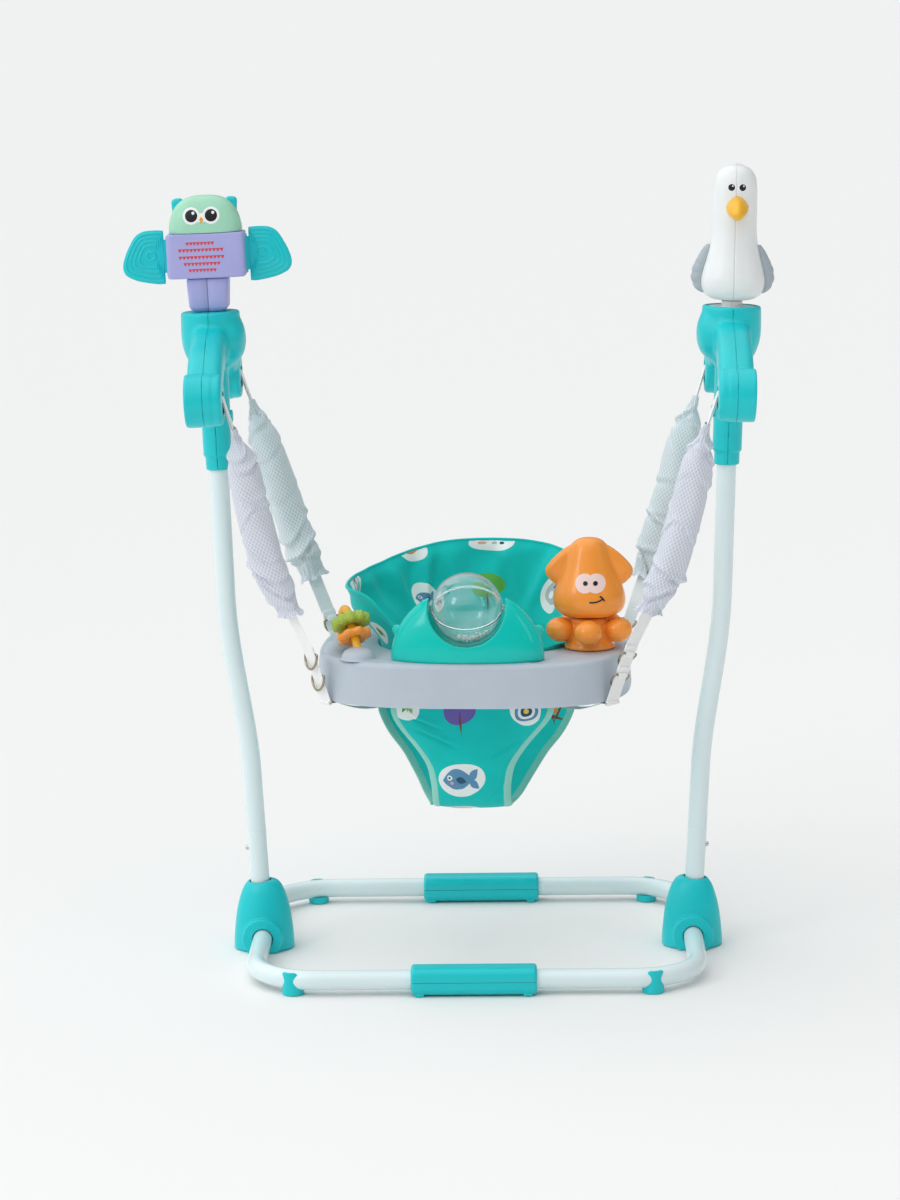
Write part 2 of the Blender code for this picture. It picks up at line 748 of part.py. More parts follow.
class Strap:
    """One spring strap, from the bar in the tower's disc to its hook under the tray."""

    def __init__(self, side, end, tower, seat):
        bpy.context.view_layer.update()
        self.side, self.end = side, end
        self.tag = ("rear" if end > 0 else "front") + ("_right" if side > 0 else "_left")
        self.bar = tower.matrix_world @ Vector(bar_place(side, end))
        x, y = hook_place(end)
        self.hook = seat.matrix_world @ Vector((side * x, y, TRAY_BOTTOM_Z))
        self.seat_turn = seat.matrix_world.to_3x3()
        self.across = tower.matrix_world.to_3x3() @ Vector((0, 1, 0))
        down = self.hook - self.bar
        # The webbing runs down on the seat's side of the bar, so its line starts beside the bar
        beside = self.across.cross(down).normalized()
        if beside.x * side > 0:
            beside.negate()
        self.start = self.bar + beside * (BAR_R + RUNNING + WEB_THICK / 2)
        self.axis = (self.hook - self.start).normalized()
        self.length = (self.hook - self.start).length
        self.outward = self.seat_turn @ Vector((side * 0.75, end * 0.66, 0))

    def frame(self, across):
        """A frame with its Z up the strap and its X along the given width direction."""
        z = -self.axis
        x = (across - z * across.dot(z)).normalized()
        y = z.cross(x)
        turn = Matrix((x, y, z)).transposed().to_4x4()
        return Matrix.Translation(self.start) @ turn


def along_bar(strap, radius, length, segments):
    """A rod on the tower's bar, for the webbing's loop and the room in it."""
    turn = strap.across.to_track_quat("Z", "X").to_matrix().to_4x4()
    return reshape(rod("loop", radius, length, "Z", (0, 0, 0), segments), Matrix.Translation(strap.bar) @ turn)


def strap_upper(strap):
    """The webbing's loop round the bar and the short length down to the spring."""
    web = box("web", (WEB_WIDTH, WEB_THICK, WEB_UPPER), (0, 0, -WEB_UPPER / 2))
    reshape(web, strap.frame(strap.across))
    join(web, along_bar(strap, BAR_R + RUNNING + WEB_THICK, WEB_WIDTH, 12))
    return cut(web, along_bar(strap, BAR_R + RUNNING, 2 * WEB_WIDTH, 10))


def strap_spring(strap):
    """The tension spring inside the cover, with a straight shank at each end that meets the webbing."""
    per_turn = 5
    coil_top = -(WEB_UPPER + GAP + SPRING_SHANK)
    length = SPRING_END - WEB_UPPER - 2 * (GAP + SPRING_SHANK)
    count = SPRING_TURNS * per_turn
    points = [(0, 0, -(WEB_UPPER + GAP)), (0, 0, coil_top)]
    for step in range(count + 1):
        angle = 2 * math.pi * step / per_turn
        points.append((SPRING_R * math.cos(angle), SPRING_R * math.sin(angle), coil_top - length * step / count))
    points += [(0, 0, coil_top - length), (0, 0, -(SPRING_END - GAP))]
    return reshape(tube("spring", points, SPRING_WIRE_R, 0.0, 4), strap.frame(strap.across))


def strap_cover(strap):
    """The gathered fabric cover: a flattened skin, drawn in to a mouth at both ends."""
    span = COVER_END - COVER_START
    upper, lower = strap.frame(strap.across), strap.frame(strap.outward.cross(strap.axis))
    local = upper.inverted() @ lower
    twist = math.atan2(local[1][0], local[0][0])
    if abs(twist) > math.pi / 2:
        twist -= math.copysign(math.pi, twist)
    shares = ((0.0, 0.0), (0.09, 0.85), (0.5, 1.0), (0.91, 0.85), (1.0, 0.0))
    rings = []
    mouth_x, mouth_y = WEB_WIDTH / 2 + COVER_MOUTH_ROOM, COVER_MOUTH_HALF
    for along, swell in shares:
        half_x = mouth_x + (COVER_HALF[0] - mouth_x) * swell
        half_y = mouth_y + (COVER_HALF[1] - mouth_y) * swell
        turn = Matrix.Rotation(twist * (COVER_START + span * along) / COVER_END, 3, "Z")
        ring = ring_at(oval(half_x, half_y, 2.0, 10), -(COVER_START + span * along))
        rings.append([turn @ Vector(p) for p in ring])
    return reshape(lofted("cover", rings, COVER_WALL), upper)


def d_ring():
    """A D of bright wire, with its straight side on X and its bow hanging down."""
    radius = WEB_WIDTH / 2 + D_RING_ROOM
    bow = [(radius * math.cos(a), 0, -radius * math.sin(a)) for a in np.linspace(0, math.pi, 6).tolist()]
    curve = bpy.data.curves.new("ring", "CURVE")
    curve.dimensions = "3D"
    curve.bevel_depth = D_RING_WIRE_R
    curve.bevel_resolution = 0
    spline = curve.splines.new("POLY")
    spline.points.add(len(bow) - 1)
    for point, place in zip(spline.points, bow):
        point.co = (*place, 1.0)
    spline.use_cyclic_u = True
    return curve_mesh("ring", curve)


def strap_lower(strap):
    """The lower webbing with its two sewn D-rings, and the flat hook that reaches under the tray."""
    outward = strap.outward
    across = outward.cross(strap.axis)
    frame = strap.frame(across)
    length = strap.length - SPRING_END
    web = box("web", (WEB_WIDTH, WEB_THICK, length), (0, 0, -SPRING_END - length / 2))
    front = 1 if (frame.to_3x3() @ Vector((0, 1, 0))).dot(outward) > 0 else -1
    loop_size = (WEB_WIDTH - 2 * SEWN_LOOP_INSET, *SEWN_LOOP)
    for place in RING_PLACES:
        lift = front * (SEWN_LOOP[0] / 2 - 0.0004)
        join(web, box("sewn_loop", loop_size, (0, lift, -place)))
        ring = rotate(d_ring(), -front * D_RING_TILT, "X")
        join(web, shift(ring, 0, lift, -place))
    reshape(web, frame)
    inward = -outward.normalized()
    under = strap.hook + Vector((0, 0, -HOOK_GAP - HOOK_THICK / 2))
    plate_turn = Matrix((outward.cross(Vector((0, 0, 1))).normalized(), inward, Vector((0, 0, -1))))
    reach = HOOK_REACH + 0.006
    hook = box("hook", (WEB_WIDTH + 0.003, reach, HOOK_THICK), (0, reach / 2 - 0.003, 0))
    reshape(hook, Matrix.Translation(under) @ plate_turn.transposed().to_4x4())
    tail = box("tail", (WEB_WIDTH - 0.001, WEB_THICK * 0.9, 0.006), (0, 0, -strap.length - 0.0005))
    join(web, reshape(tail, frame))
    return join(web, hook)


# Seat, in a frame on the floor that is turned with the hanging seat

def tray_outline(inset):
    return oval(TRAY_HALF_X - inset, TRAY_HALF_Y - inset, TRAY_POWER)


def hole_outline(outset):
    return oval(HOLE_HALF_X + outset, HOLE_HALF_Y + outset, HOLE_POWER, centre_y=HOLE_Y)


def tray_shell():
    """The tray's moulding, open below, with the two domes of the bead toy on it."""
    top, low, edge = TRAY_TOP_Z, TRAY_BOTTOM_Z, TRAY_EDGE_R
    rings = [ring_at(tray_outline(TRAY_DRAFT), low), ring_at(tray_outline(0.0), top - edge)]
    for angle in (45, 90):
        bend = math.radians(angle)
        inset = edge * (1 - math.cos(bend))
        rings.append(ring_at(tray_outline(inset), top - edge + edge * math.sin(bend)))
    rings.append(ring_at(hole_outline(0.005), top))
    rings.append(ring_at(hole_outline(0.0), top - 0.005))
    rings.append(ring_at(hole_outline(0.0), low))
    tray = lofted("tray", rings, TRAY_WALL)
    for x, y in (DOME_FRONT, DOME_REAR):
        join(tray, ball("dome", (DOME_R, DOME_R, DOME_HEIGHT + 0.001), (x, y, top - 0.001), 12, 6))
    return tray


def tray_bottom():
    """The plate that closes the tray from below."""
    outer = tray_outline(TRAY_DRAFT + TRAY_WALL + GAP * 2)
    inner = hole_outline(TRAY_WALL + GAP * 2)
    ring = plate("bottom", [outer, inner], BOTTOM_PLATE)
    return shift(ring, 0, 0, TRAY_BOTTOM_Z + BOTTOM_PLATE / 2 + 0.0005)


def seat_ring(half_x, half_y, centre_y, heights):
    outline = oval(half_x, half_y, HOLE_POWER, SEAT_STEPS, centre_y)
    return [(x, y, z) for (x, y), z in zip(outline, heights)]


def seat_fabric():
    """The fabric bucket: a raised back, a skirt through the tray's hole and two leg openings."""
    inset = 0.0006
    half_x, half_y = HOLE_HALF_X - inset, HOLE_HALF_Y - inset
    angles = [2 * math.pi * i / SEAT_STEPS for i in range(SEAT_STEPS)]
    rim = [rim_height(a) for a in angles]
    rise = [(z - SEAT_FRONT_TOP) / (SEAT_BACK_TOP - SEAT_FRONT_TOP) for z in rim]
    rings = []
    for share in (1.0, 0.55, 0.22):
        points = []
        for i, (x, y) in enumerate(oval(1.0, 1.0, HOLE_POWER, SEAT_STEPS)):
            flare = share * rise[i]
            z = SEAT_FRONT_TOP + (rim[i] - SEAT_FRONT_TOP) * share + 0.0012 * share
            px = x * (half_x + SEAT_FLARE[0] * flare)
            py = y * (half_y + SEAT_FLARE[1] * flare) + HOLE_Y
            points.append((px, py, z))
        rings.append(points)
    rings.append(seat_ring(half_x, half_y, HOLE_Y, [SEAT_FRONT_TOP - 0.004] * SEAT_STEPS))
    rings.append(seat_ring(half_x, half_y, HOLE_Y, [LEG_TOP_Z] * SEAT_STEPS))
    below = (0.3, 0.6, 0.9, 1.0)
    for share in below:
        narrow = share ** 0.85
        hx = half_x + (CROTCH_HALF[0] - half_x) * narrow
        hy = half_y + (CROTCH_HALF[1] - half_y) * share ** 1.6
        z = LEG_TOP_Z + (CROTCH_Z - LEG_TOP_Z) * share
        rings.append(seat_ring(hx, hy, HOLE_Y * (1 - share) - 0.012 * share, [z] * SEAT_STEPS))
    seat = lofted("seat", rings, 0.0, close_last=True)
    open_legs(seat, angles)
    return solidify(seat, SEAT_THICK)


def rim_height(angle):
    """The height of the seat's top edge: high round the back, down to the tray in front."""
    back = math.sin(angle)
    high = SEAT_SIDE_TOP + (SEAT_BACK_TOP - SEAT_SIDE_TOP) * smooth_step(back / 0.9)
    return SEAT_FRONT_TOP + (high - SEAT_FRONT_TOP) * smooth_step((back + WING_START) / WING_RISE)


def open_legs(seat, angles):
    """Removes the side faces between the front and the rear panel."""
    bm = bmesh.new()
    bm.from_mesh(seat.data)
    gone = []
    for face in bm.faces:
        middle = face.calc_center_median()
        if not CROTCH_Z + 0.010 < middle.z < LEG_TOP_Z:
            continue
        share = (LEG_TOP_Z - middle.z) / (LEG_TOP_Z - CROTCH_Z)
        centre_y = HOLE_Y * (1 - share) - 0.012 * share
        angle = math.atan2(middle.y - centre_y, abs(middle.x))
        if LEG_FRONT < angle < LEG_REAR:
            gone.append(face)
    bmesh.ops.delete(bm, geom=gone, context="FACES")
    bm.to_mesh(seat.data)
    bm.free()


# Toys on the tray

def cradle():
    """Two horns with a hollow between them for the ball, moulded as one thin shell."""
    a, b, c = CRADLE_HALF
    top = TRAY_TOP_Z + GAP
    centre = (0, BALL_Y, top)
    wall = CRADLE_WALL
    room = BALL_R + BALL_FLANGE + BALL_ROOM
    bite = (room, BITE_DEPTH, room)
    shell = ball("cradle", (a, b, c), centre, 20, 12)
    hub = (0, BALL_Y, top + BALL_Z)
    cut(shell, ball("bite", bite, hub, 16, 8))
    cut(shell, box("floor", (BIG, BIG, BIG), (0, 0, top - BIG / 2)))
    hollow = ball("hollow", (a - wall, b - wall, c - wall), (0, BALL_Y, top), 16, 8)
    cut(hollow, ball("bite_wall", [r + wall for r in bite], hub, 16, 8))
    cut(hollow, box("horn_tips", (BIG, BIG, BIG), (0, 0, top + HORN_SOLID_Z + BIG / 2)))
    cut(shell, hollow)
    cut(shell, rod("pin_bore", PIN_R + RUNNING, 2 * (room + PIN_LENGTH), "X", hub, 16))
    return shell


def ball_half(upper):
    """One half of the clear ball with its flange; the axle pins are on the lower one."""
    rim = GAP / 2
    steps = 4
    r, w = BALL_R, BALL_WALL
    angles = [math.radians(90 - 90 * i / steps) for i in range(steps)]
    outer = [(r * math.cos(t), rim + (r - rim) * math.sin(t)) for t in angles]
    outer[0] = (0.0, r)
    reach = r + BALL_FLANGE - (PIN_SEAT + GAP if upper else 0.0)
    outer += [(r, rim + 0.0016), (reach, rim + 0.0016), (reach, rim)]
    inner = [((r - w) * math.cos(t), rim + (r - w - rim) * math.sin(t)) for t in angles][::-1]
    inner[-1] = (0.0, r - w)
    half = turned("ball_half", outer + [(r - w, rim)] + inner, 14)
    if not upper:
        stretch(half, 1, 1, -1)
        for side in (-1, 1):
            x = side * (r + BALL_FLANGE - PIN_SEAT + PIN_LENGTH / 2)
            pin = rod("pin", PIN_R, PIN_LENGTH, "X", (x, 0, 0), 8)
            join(half, pin)
    return half


def squid_base():
    """The squid's foot: a turned waist with a ring of round tentacles."""
    h = SQUID_BASE_H
    waist = [(0, h), (SQUID_NECK_R + 0.018, h), (0.0285, 0.036), (0.0300, 0.020), (SQUID_BASE_R - 0.001, 0.010)]
    waist += [(SQUID_BASE_R, 0.009), (SQUID_BASE_R, 0), (0, 0)]
    base = turned("squid_base", waist, 16)
    for step in range(BULB_COUNT):
        angle = 2 * math.pi * step / BULB_COUNT - math.pi / 2
        place = (BULB_RING * math.cos(angle), 0.9 * BULB_RING * math.sin(angle), BULB_Z)
        join(base, ball("tentacle", (BULB_R * 1.05, BULB_R * 1.05, BULB_R * 0.92), place, 8, 6))
    return cut(base, rod("neck_bore", SQUID_NECK_R + RUNNING, 0.04, "Z", (0, 0, h), 16))


def squid_head():
    """The smooth pointed head with two flat fins, on a neck pin."""
    profile = [(0, 0.114), (0.010, 0.1130), (0.019, 0.1080), (0.0275, 0.096), (0.0360, 0.076), (0.0440, 0.054)]
    profile += [(0.0505, 0.036), (0.0523, 0.024), (0.0500, 0.013), (0.0430, 0.005), (0.0320, 0.0004), (0, 0.0004)]
    head = turned("squid_head", profile, 16, SQUID_FLAT)
    fin = [(0.0, 0.112), (0.020, 0.108), (0.044, 0.090), (0.0600, 0.072), (0.0625, 0.064), (0.0585, 0.054)]
    fin += [(0.0500, 0.046), (0.030, 0.048)]
    outline = fin + [(-x, z) for x, z in fin[::-1] if x > 0]
    fins = bevel(plate("fins", [outline], 0.020, "Y"), 0.007, 1)
    join(head, fins)
    neck = rod("neck", SQUID_NECK_R, 0.016, "Z", (0, 0, -0.0070), 16)
    return join(head, neck)


def arch_points():
    """The arch from the front dome up to its top and down to the rear dome."""
    lift = 0.012
    front = Vector((*DOME_FRONT, TRAY_TOP_Z + lift))
    rear = Vector((*DOME_REAR, TRAY_TOP_Z + lift))
    top = front + (rear - front) * ARCH_LEAN + Vector((0, 0, ARCH_TOP + 0.006))
    return front, top, rear


def bead_arch():
    front, top, rear = arch_points()
    return tube("arch", rounded_path([front, top, rear], 0.014, 6), ARCH_R, 0.0, 8)


def lumpy_ring(name, radius, thickness, lumps, depth):
    """A thick ring with a scalloped edge and a round hole, about its own Z."""
    steps = lumps * 3
    outline = []
    for step in range(steps):
        angle = 2 * math.pi * step / steps
        r = radius * (1 - depth + depth * math.cos(lumps * angle))
        outline.append((r * math.cos(angle), r * math.sin(angle)))
    inner = ARCH_R + RING_ROOM
    hole = [(inner * math.cos(a), inner * math.sin(a)) for a in np.linspace(0, 2 * math.pi, 14)[:-1].tolist()]
    return bevel(plate(name, [outline, hole], thickness), thickness * 0.28, 1)


def leg_frame(share):
    """A frame on the arch's front leg, with its Z along the leg."""
    front, top, _ = arch_points()
    along = (top - front).normalized()
    return front + (top - front) * share, along.to_track_quat("Z", "Y").to_euler()


# Toys on the towers, in a frame at the floor of the tower's cup

def owl_stem():
    """The lilac stem block, tapered below, with a neck that the owl turns on."""
    width, depth, height = OWL_STEM
    block = box("stem", (width, depth, height), (0, 0, height / 2))
    for vert in block.data.vertices:
        if vert.co.z < height / 2:
            vert.co.x *= 0.62
            vert.co.y *= 0.70
    bevel(block, 0.010, 1)
    low = box("straight", (width, depth, height * 0.76), (0, 0, height * 0.62))
    join(block, bevel(low, 0.008, 1))
    cut(block, box("above", (BIG, BIG, BIG), (0, 0, height + BIG / 2)))
    peg = rod("peg", OWL_NECK_R, 0.020 + height, "Z", (0, 0, height / 2), 16)
    return join(block, peg)


def owl_body():
    """The rounded body block with a hinge slot down each side."""
    width, depth, height = OWL_BODY
    body = bevel(box("body", (width, depth, height), (0, 0, height / 2)), 0.009, 2)
    cut(body, rod("neck_bore", OWL_NECK_R + RUNNING, 2 * 0.0115, "Z", (0, 0, 0), 16))
    for side in (-1, 1):
        x = side * width / 2
        tall = OWL_WING[2] - 0.020
        cut(body, box("slot", (0.011, 0.0115, tall), (x, 0, height / 2)))
    return body


def owl_head():
    """The domed head with its two ears."""
    width, depth, height = OWL_HEAD
    head = ball("head", (width / 2, depth / 2, height), (0, 0, 0), 18, 10)
    for vert in head.data.vertices:
        x, y = vert.co.x / (width / 2), vert.co.y / (depth / 2)
        spread = max((abs(x) ** 3 + abs(y) ** 3) ** (1 / 3), 0.05)
        grow = max((x * x + y * y) ** 0.5, 0.05) / spread
        vert.co.x *= grow
        vert.co.y *= grow
        vert.co.z = height * (1 - (1 - min(max(vert.co.z / height, 0), 1)) ** 1.5) if vert.co.z > 0 else vert.co.z
    for side in (-1, 1):
        ear = turned("ear", ((0, 0.010), (0.006, 0.0085), (0.0090, 0.001), (0.0090, -0.006), (0, -0.006)), 12, 0.8)
        join(head, shift(ear, side * (width / 2 - 0.0145), 0, height - 0.0150))
    cut(head, box("flat", (BIG, BIG, BIG), (0, 0, -BIG / 2)))
    return head


def owl_wing(side):
    """A rounded flat wing with raised rims, on a hinge rod that stands in the body's slot."""
    width, thick, height = OWL_WING
    outline = [(0.0, -0.50), (0.0, 0.46), (0.44, 0.50), (0.66, 0.42), (0.92, 0.06), (1.0, -0.14), (0.93, -0.32)]
    outline += [(0.66, -0.46), (0.30, -0.52)]
    points = [(side * (0.006 + x * width), z * height) for x, z in outline]
    wing = bevel(plate("wing", [points], thick, "Y"), 0.0015, 1)
    rod_length = height - 0.022
    hinge = rod("hinge", OWL_HINGE_R, rod_length, "Z", (0, 0, 0), 12)
    web = box("web", (0.009, thick * 0.7, rod_length * 0.9), (side * 0.0045, 0, 0))
    join(hinge, web)
    return join(hinge, wing)


def gull_plate():
    """The white plate in the tower's cup, with the collar that the gull turns on."""
    collar_top = PLATE_COLLAR_H + PLATE_THICK
    pin_top = collar_top + GULL_PIN_LENGTH
    radius = CUP_R - CUP_RIM
    profile = [(0, pin_top), (GULL_PIN_R, pin_top), (GULL_PIN_R, collar_top), (PLATE_COLLAR_R, collar_top)]
    profile += [(PLATE_COLLAR_R, PLATE_THICK), (radius, PLATE_THICK), (radius, 0), (0, 0)]
    return turned("plate", profile, SOCKET_STEPS)


def gull_profile(grow=0.0):
    """(radius, height) of the gull from its crown to its base, pushed outwards by grow."""
    h, neck, wide = GULL_HEIGHT, GULL_NECK_R, GULL_BODY_R
    points = [(0, h), (neck * 0.45, h - 0.0025), (neck * 0.78, h - 0.0110), (neck * 0.96, h - 0.0240)]
    points += [(neck, h - 0.040), (neck * 1.03, h - 0.108), (wide * 0.86, 0.058), (wide * 0.97, 0.040)]
    points += [(wide, 0.028), (wide * 0.93, 0.014), (wide * 0.66, 0.004), (0.016, 0.0), (0, 0.0)]
    return [(r + grow if r > 0 else r, z) for r, z in points]


def gull_body():
    body = turned("gull", gull_profile(), 16, GULL_FLAT)
    crest = turned("crest", ((0, 0.0055), (0.0045, 0.0040), (0.0075, -0.002), (0, -0.002)), 12)
    join(body, shift(crest, 0, 0, GULL_HEIGHT))
    cut(body, rod("neck_bore", GULL_PIN_R + RUNNING, 2 * (GULL_PIN_LENGTH + 0.002), "Z", (0, 0, 0), 16))
    return body


def gull_wings():
    """The grey wings: one saddle that wraps round the back from side to side."""
    saddle = turned("saddle", gull_profile(WING_PROUD), 16, GULL_FLAT)
    keep = box("keep", (BIG, BIG, 0.072), (0, BIG / 2 - 0.004, 0.050))
    rotate(keep, math.radians(-9), "X")
    keep_inside(saddle, keep)
    return cut(saddle, turned("gull_room", gull_profile(GAP), 16, GULL_FLAT))


def gull_beak():
    """The blunt yellow beak, pointing forward and a little down."""
    beak = turned("beak", ((0, 0.034), (0.004, 0.0325), (0.0095, 0.023), (0.0155, 0.006), (0.0155, 0), (0, 0)), 16)
    stretch(beak, 1.0, 1.06, 1.0)
    rotate(beak, math.radians(108), "X")
    shift(beak, 0, -GULL_NECK_R * GULL_FLAT + 0.0045, 0.134)
    return cut(beak, turned("gull_room", gull_profile(GAP), 16, GULL_FLAT))


# Assembly

def materials():
    return {
        "steel": material("pale_painted_steel", (0.68, 0.80, 0.82), 0.35, 0.0),
        "bright": material("bright_steel", (0.55, 0.55, 0.55), 0.25, 1.0),
        "teal": material("teal_plastic", (0.036, 0.61, 0.61), 0.35),
        "gloss": material("gloss_turquoise_plastic", (0.028, 0.65, 0.56), 0.12),
        "clear": material("clear_plastic", (0.90, 0.95, 0.95), 0.05, 0.0, 0.25),
        "grey": material("grey_plastic", (0.56, 0.62, 0.69), 0.40),
        "orange": material("orange_plastic", (0.93, 0.29, 0.04), 0.20),
        "lime": material("lime_plastic", (0.42, 0.55, 0.08), 0.35),
        "yellow": material("yellow_plastic", (0.90, 0.50, 0.03), 0.30),
        "mint": material("mint_plastic", (0.40, 0.74, 0.53), 0.35),
        "lilac": material("lilac_plastic", (0.46, 0.46, 0.78), 0.35),
        "white": material("white_plastic", (0.84, 0.86, 0.86), 0.30),
        "wing_grey": material("wing_grey_plastic", (0.42, 0.49, 0.53), 0.40),
        "web": material("white_webbing", (0.82, 0.82, 0.83), 0.80),
        "cover": material("lattice_fabric", (0.66, 0.67, 0.74), 0.90),
        "seat": material("teal_fabric", (0.014, 0.46, 0.42), 0.85),
    }


def make_stand(stand, mats):
    for side, word in ((-1, "left"), (1, "right")):
        named(base_half(side), "base_tube_" + word, mats["steel"], stand)
        named(shroud(side), "base_shroud_" + word, mats["teal"], stand)
        named(lower_post(side), "lower_post_" + word, mats["steel"], stand)
        x, z = button_place(side)
        named(post_button(side), "post_button_" + word, mats["bright"], stand, (x, 0, z))
        for end, place in ((-1, "front"), (1, "rear")):
            named(foot(side, end), "foot_" + place + "_" + word, mats["teal"], stand)
    for end, place in ((-1, "front"), (1, "rear")):
        named(sleeve(end, True), "sleeve_upper_" + place, mats["teal"], stand)
        named(sleeve(end, False), "sleeve_lower_" + place, mats["teal"], stand)


def make_tower(side, word, stand, mats):
    tower = add_empty("tower_frame_" + word, stand, (side * TOWER_X, 0, TOWER_Z), (0, side * TOWER_LEAN, 0))
    post_top = TOWER_Z + POST_IN_TOWER * math.cos(TOWER_LEAN)
    named(upper_post(side, post_top), "upper_post_" + word, mats["steel"], stand)
    for outer, name in ((True, "tower_outer_shell_"), (False, "tower_inner_shell_")):
        shell = tower_shell(side, outer, POST_IN_TOWER + RUNNING)
        if side > 0:
            tower_socket(shell, CUP_R - CUP_RIM + GAP, PLATE_THICK + PLATE_SUNK)
        else:
            tower_socket(shell, OWL_NECK_R + GAP, OWL_SOCKET_DEPTH)
        named(shell, name + word, mats["teal"], tower)
    named(tower_button(side), "tower_button_" + word, mats["teal"], tower)
    return tower


def make_strap(strap, stand, mats):
    to_stand = stand.matrix_world.inverted()
    for make, name, mat in (
        (strap_upper, "strap_upper_", "web"),
        (strap_spring, "strap_spring_", "bright"),
        (strap_cover, "strap_cover_", "cover"),
        (strap_lower, "strap_lower_", "web"),
    ):
        piece = reshape(make(strap), to_stand)
        named(piece, name + strap.tag, mats[mat], stand)


def make_seat(seat, mats):
    named(tray_shell(), "tray_shell", mats["grey"], seat)
    named(tray_bottom(), "tray_bottom", mats["grey"], seat)
    named(seat_fabric(), "seat_fabric", mats["seat"], seat)
    named(cradle(), "ball_cradle", mats["gloss"], seat)
    hub = add_empty("ball_frame", seat, (0, BALL_Y, TRAY_TOP_Z + GAP + BALL_Z), (BALL_TILT, 0, 0))
    named(ball_half(True), "ball_upper", mats["clear"], hub)
    named(ball_half(False), "ball_lower", mats["clear"], hub)
    x, y = SQUID_PLACE
    named(squid_base(), "squid_base", mats["orange"], seat, (x, y, TRAY_TOP_Z + GAP))
    named(squid_head(), "squid_head", mats["orange"], seat, (x, y, TRAY_TOP_Z + GAP + SQUID_BASE_H))
    arch = bead_arch()
    for x, y in (DOME_FRONT, DOME_REAR):
        room = ball("dome", (DOME_R + GAP, DOME_R + GAP, DOME_HEIGHT + 0.001 + GAP), (x, y, TRAY_TOP_Z - 0.001), 12, 6)
        cut(arch, room)
    named(arch, "bead_arch", mats["yellow"], seat)
    for name, mat, share, ring in (
        ("bead_ring_green", "lime", GREEN_ALONG, lumpy_ring("green", GREEN_R, GREEN_THICK, 10, 0.07)),
        ("bead_ring_orange", "orange", ORANGE_ALONG, lumpy_ring("orange", ORANGE_R, ORANGE_THICK, 8, 0.06)),
    ):
        place, turn = leg_frame(share)
        named(ring, name, mats[mat], seat, place, turn)


def make_owl(tower, mats):
    low = TOWER_TOP + GAP
    owl_low = low + OWL_STEM[2] + RUNNING
    named(owl_stem(), "owl_stem", mats["lilac"], tower, (0, 0, low))
    turner = add_empty("owl_frame", tower, (0, 0, owl_low))
    named(owl_body(), "owl_body", mats["lilac"], turner)
    named(owl_head(), "owl_head", mats["mint"], turner, (0, 0, OWL_BODY[2] + GAP))
    for side, word in ((-1, "left"), (1, "right")):
        hinge_x = side * (OWL_BODY[0] / 2 - 0.0006)
        named(owl_wing(side), "owl_wing_" + word, mats["teal"], turner, (hinge_x, 0, OWL_BODY[2] / 2))


def make_gull(tower, mats):
    floor = TOWER_TOP - PLATE_THICK - PLATE_SUNK
    named(gull_plate(), "gull_plate", mats["white"], tower, (0, 0, floor + GAP))
    top = floor + GAP + PLATE_THICK + PLATE_COLLAR_H + RUNNING
    turner = add_empty("gull_frame", tower, (0, 0, top))
    named(gull_body(), "gull_body", mats["white"], turner)
    named(gull_wings(), "gull_wings", mats["wing_grey"], turner)
    named(gull_beak(), "gull_beak", mats["yellow"], turner)


def named(obj, name, mat, parent, place=(0, 0, 0), turn=(0, 0, 0)):
    obj.name = name
    obj.data.name = name
    return finish(obj, mat, parent, place, turn)


def main():
    global PARTS, CUTTERS
    clear_scene()
    PARTS = add_collection("baby_jumper")
    CUTTERS = add_collection("cutters")
    mats = materials()
    stand = add_empty("stand_frame", None, (STAND_X, 0, 0))
    seat = add_empty("seat_frame", stand, (0, 0, 0), (0, 0, SEAT_TURN))
    make_stand(stand, mats)
    left = make_tower(-1, "left", stand, mats)
    right = make_tower(1, "right", stand, mats)
    for side, tower in ((-1, left), (1, right)):
        for end in (-1, 1):
            make_strap(Strap(side, end, tower, seat), stand, mats)
    make_seat(seat, mats)
    make_owl(left, mats)
    make_gull(right, mats)


main()
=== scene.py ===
# %% [markdown]
# # A baby jumper
# A tube stand with two towers carries a padded seat in a toy tray on four spring straps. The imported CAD
# model is the frame: each of its nodes stays where it is, and the pieces made here take the place of the
# ones whose surface shows. Lengths are in metres, the front is -Y, and the owl's tower is on -X.

# %% Load the frame
import math

import bmesh
import bpy
import numpy as np
from mathutils import Matrix


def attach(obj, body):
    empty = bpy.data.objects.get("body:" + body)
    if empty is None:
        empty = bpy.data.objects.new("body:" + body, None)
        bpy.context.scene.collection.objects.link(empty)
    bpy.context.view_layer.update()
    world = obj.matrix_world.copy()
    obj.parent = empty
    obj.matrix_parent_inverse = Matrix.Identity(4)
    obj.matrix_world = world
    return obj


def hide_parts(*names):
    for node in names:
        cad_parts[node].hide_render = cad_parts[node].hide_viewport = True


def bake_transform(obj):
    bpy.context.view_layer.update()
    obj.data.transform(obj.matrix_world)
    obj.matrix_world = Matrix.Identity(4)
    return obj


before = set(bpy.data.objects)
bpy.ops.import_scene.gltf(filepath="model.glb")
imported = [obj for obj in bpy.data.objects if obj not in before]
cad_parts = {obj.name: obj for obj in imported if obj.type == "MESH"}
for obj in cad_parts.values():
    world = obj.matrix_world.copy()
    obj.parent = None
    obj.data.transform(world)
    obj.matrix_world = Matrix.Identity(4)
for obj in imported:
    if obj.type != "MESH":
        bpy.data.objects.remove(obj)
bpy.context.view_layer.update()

# %% [markdown]
# ## The camera
# The photograph was taken from a little above the seat, about five metres away, with a long lens. A
# least-squares fit to the sleeves, feet, shrouds, tray and toys gave its place, its three angles and its
# focal length in pixels of a frame 900 pixels wide and 1200 high.

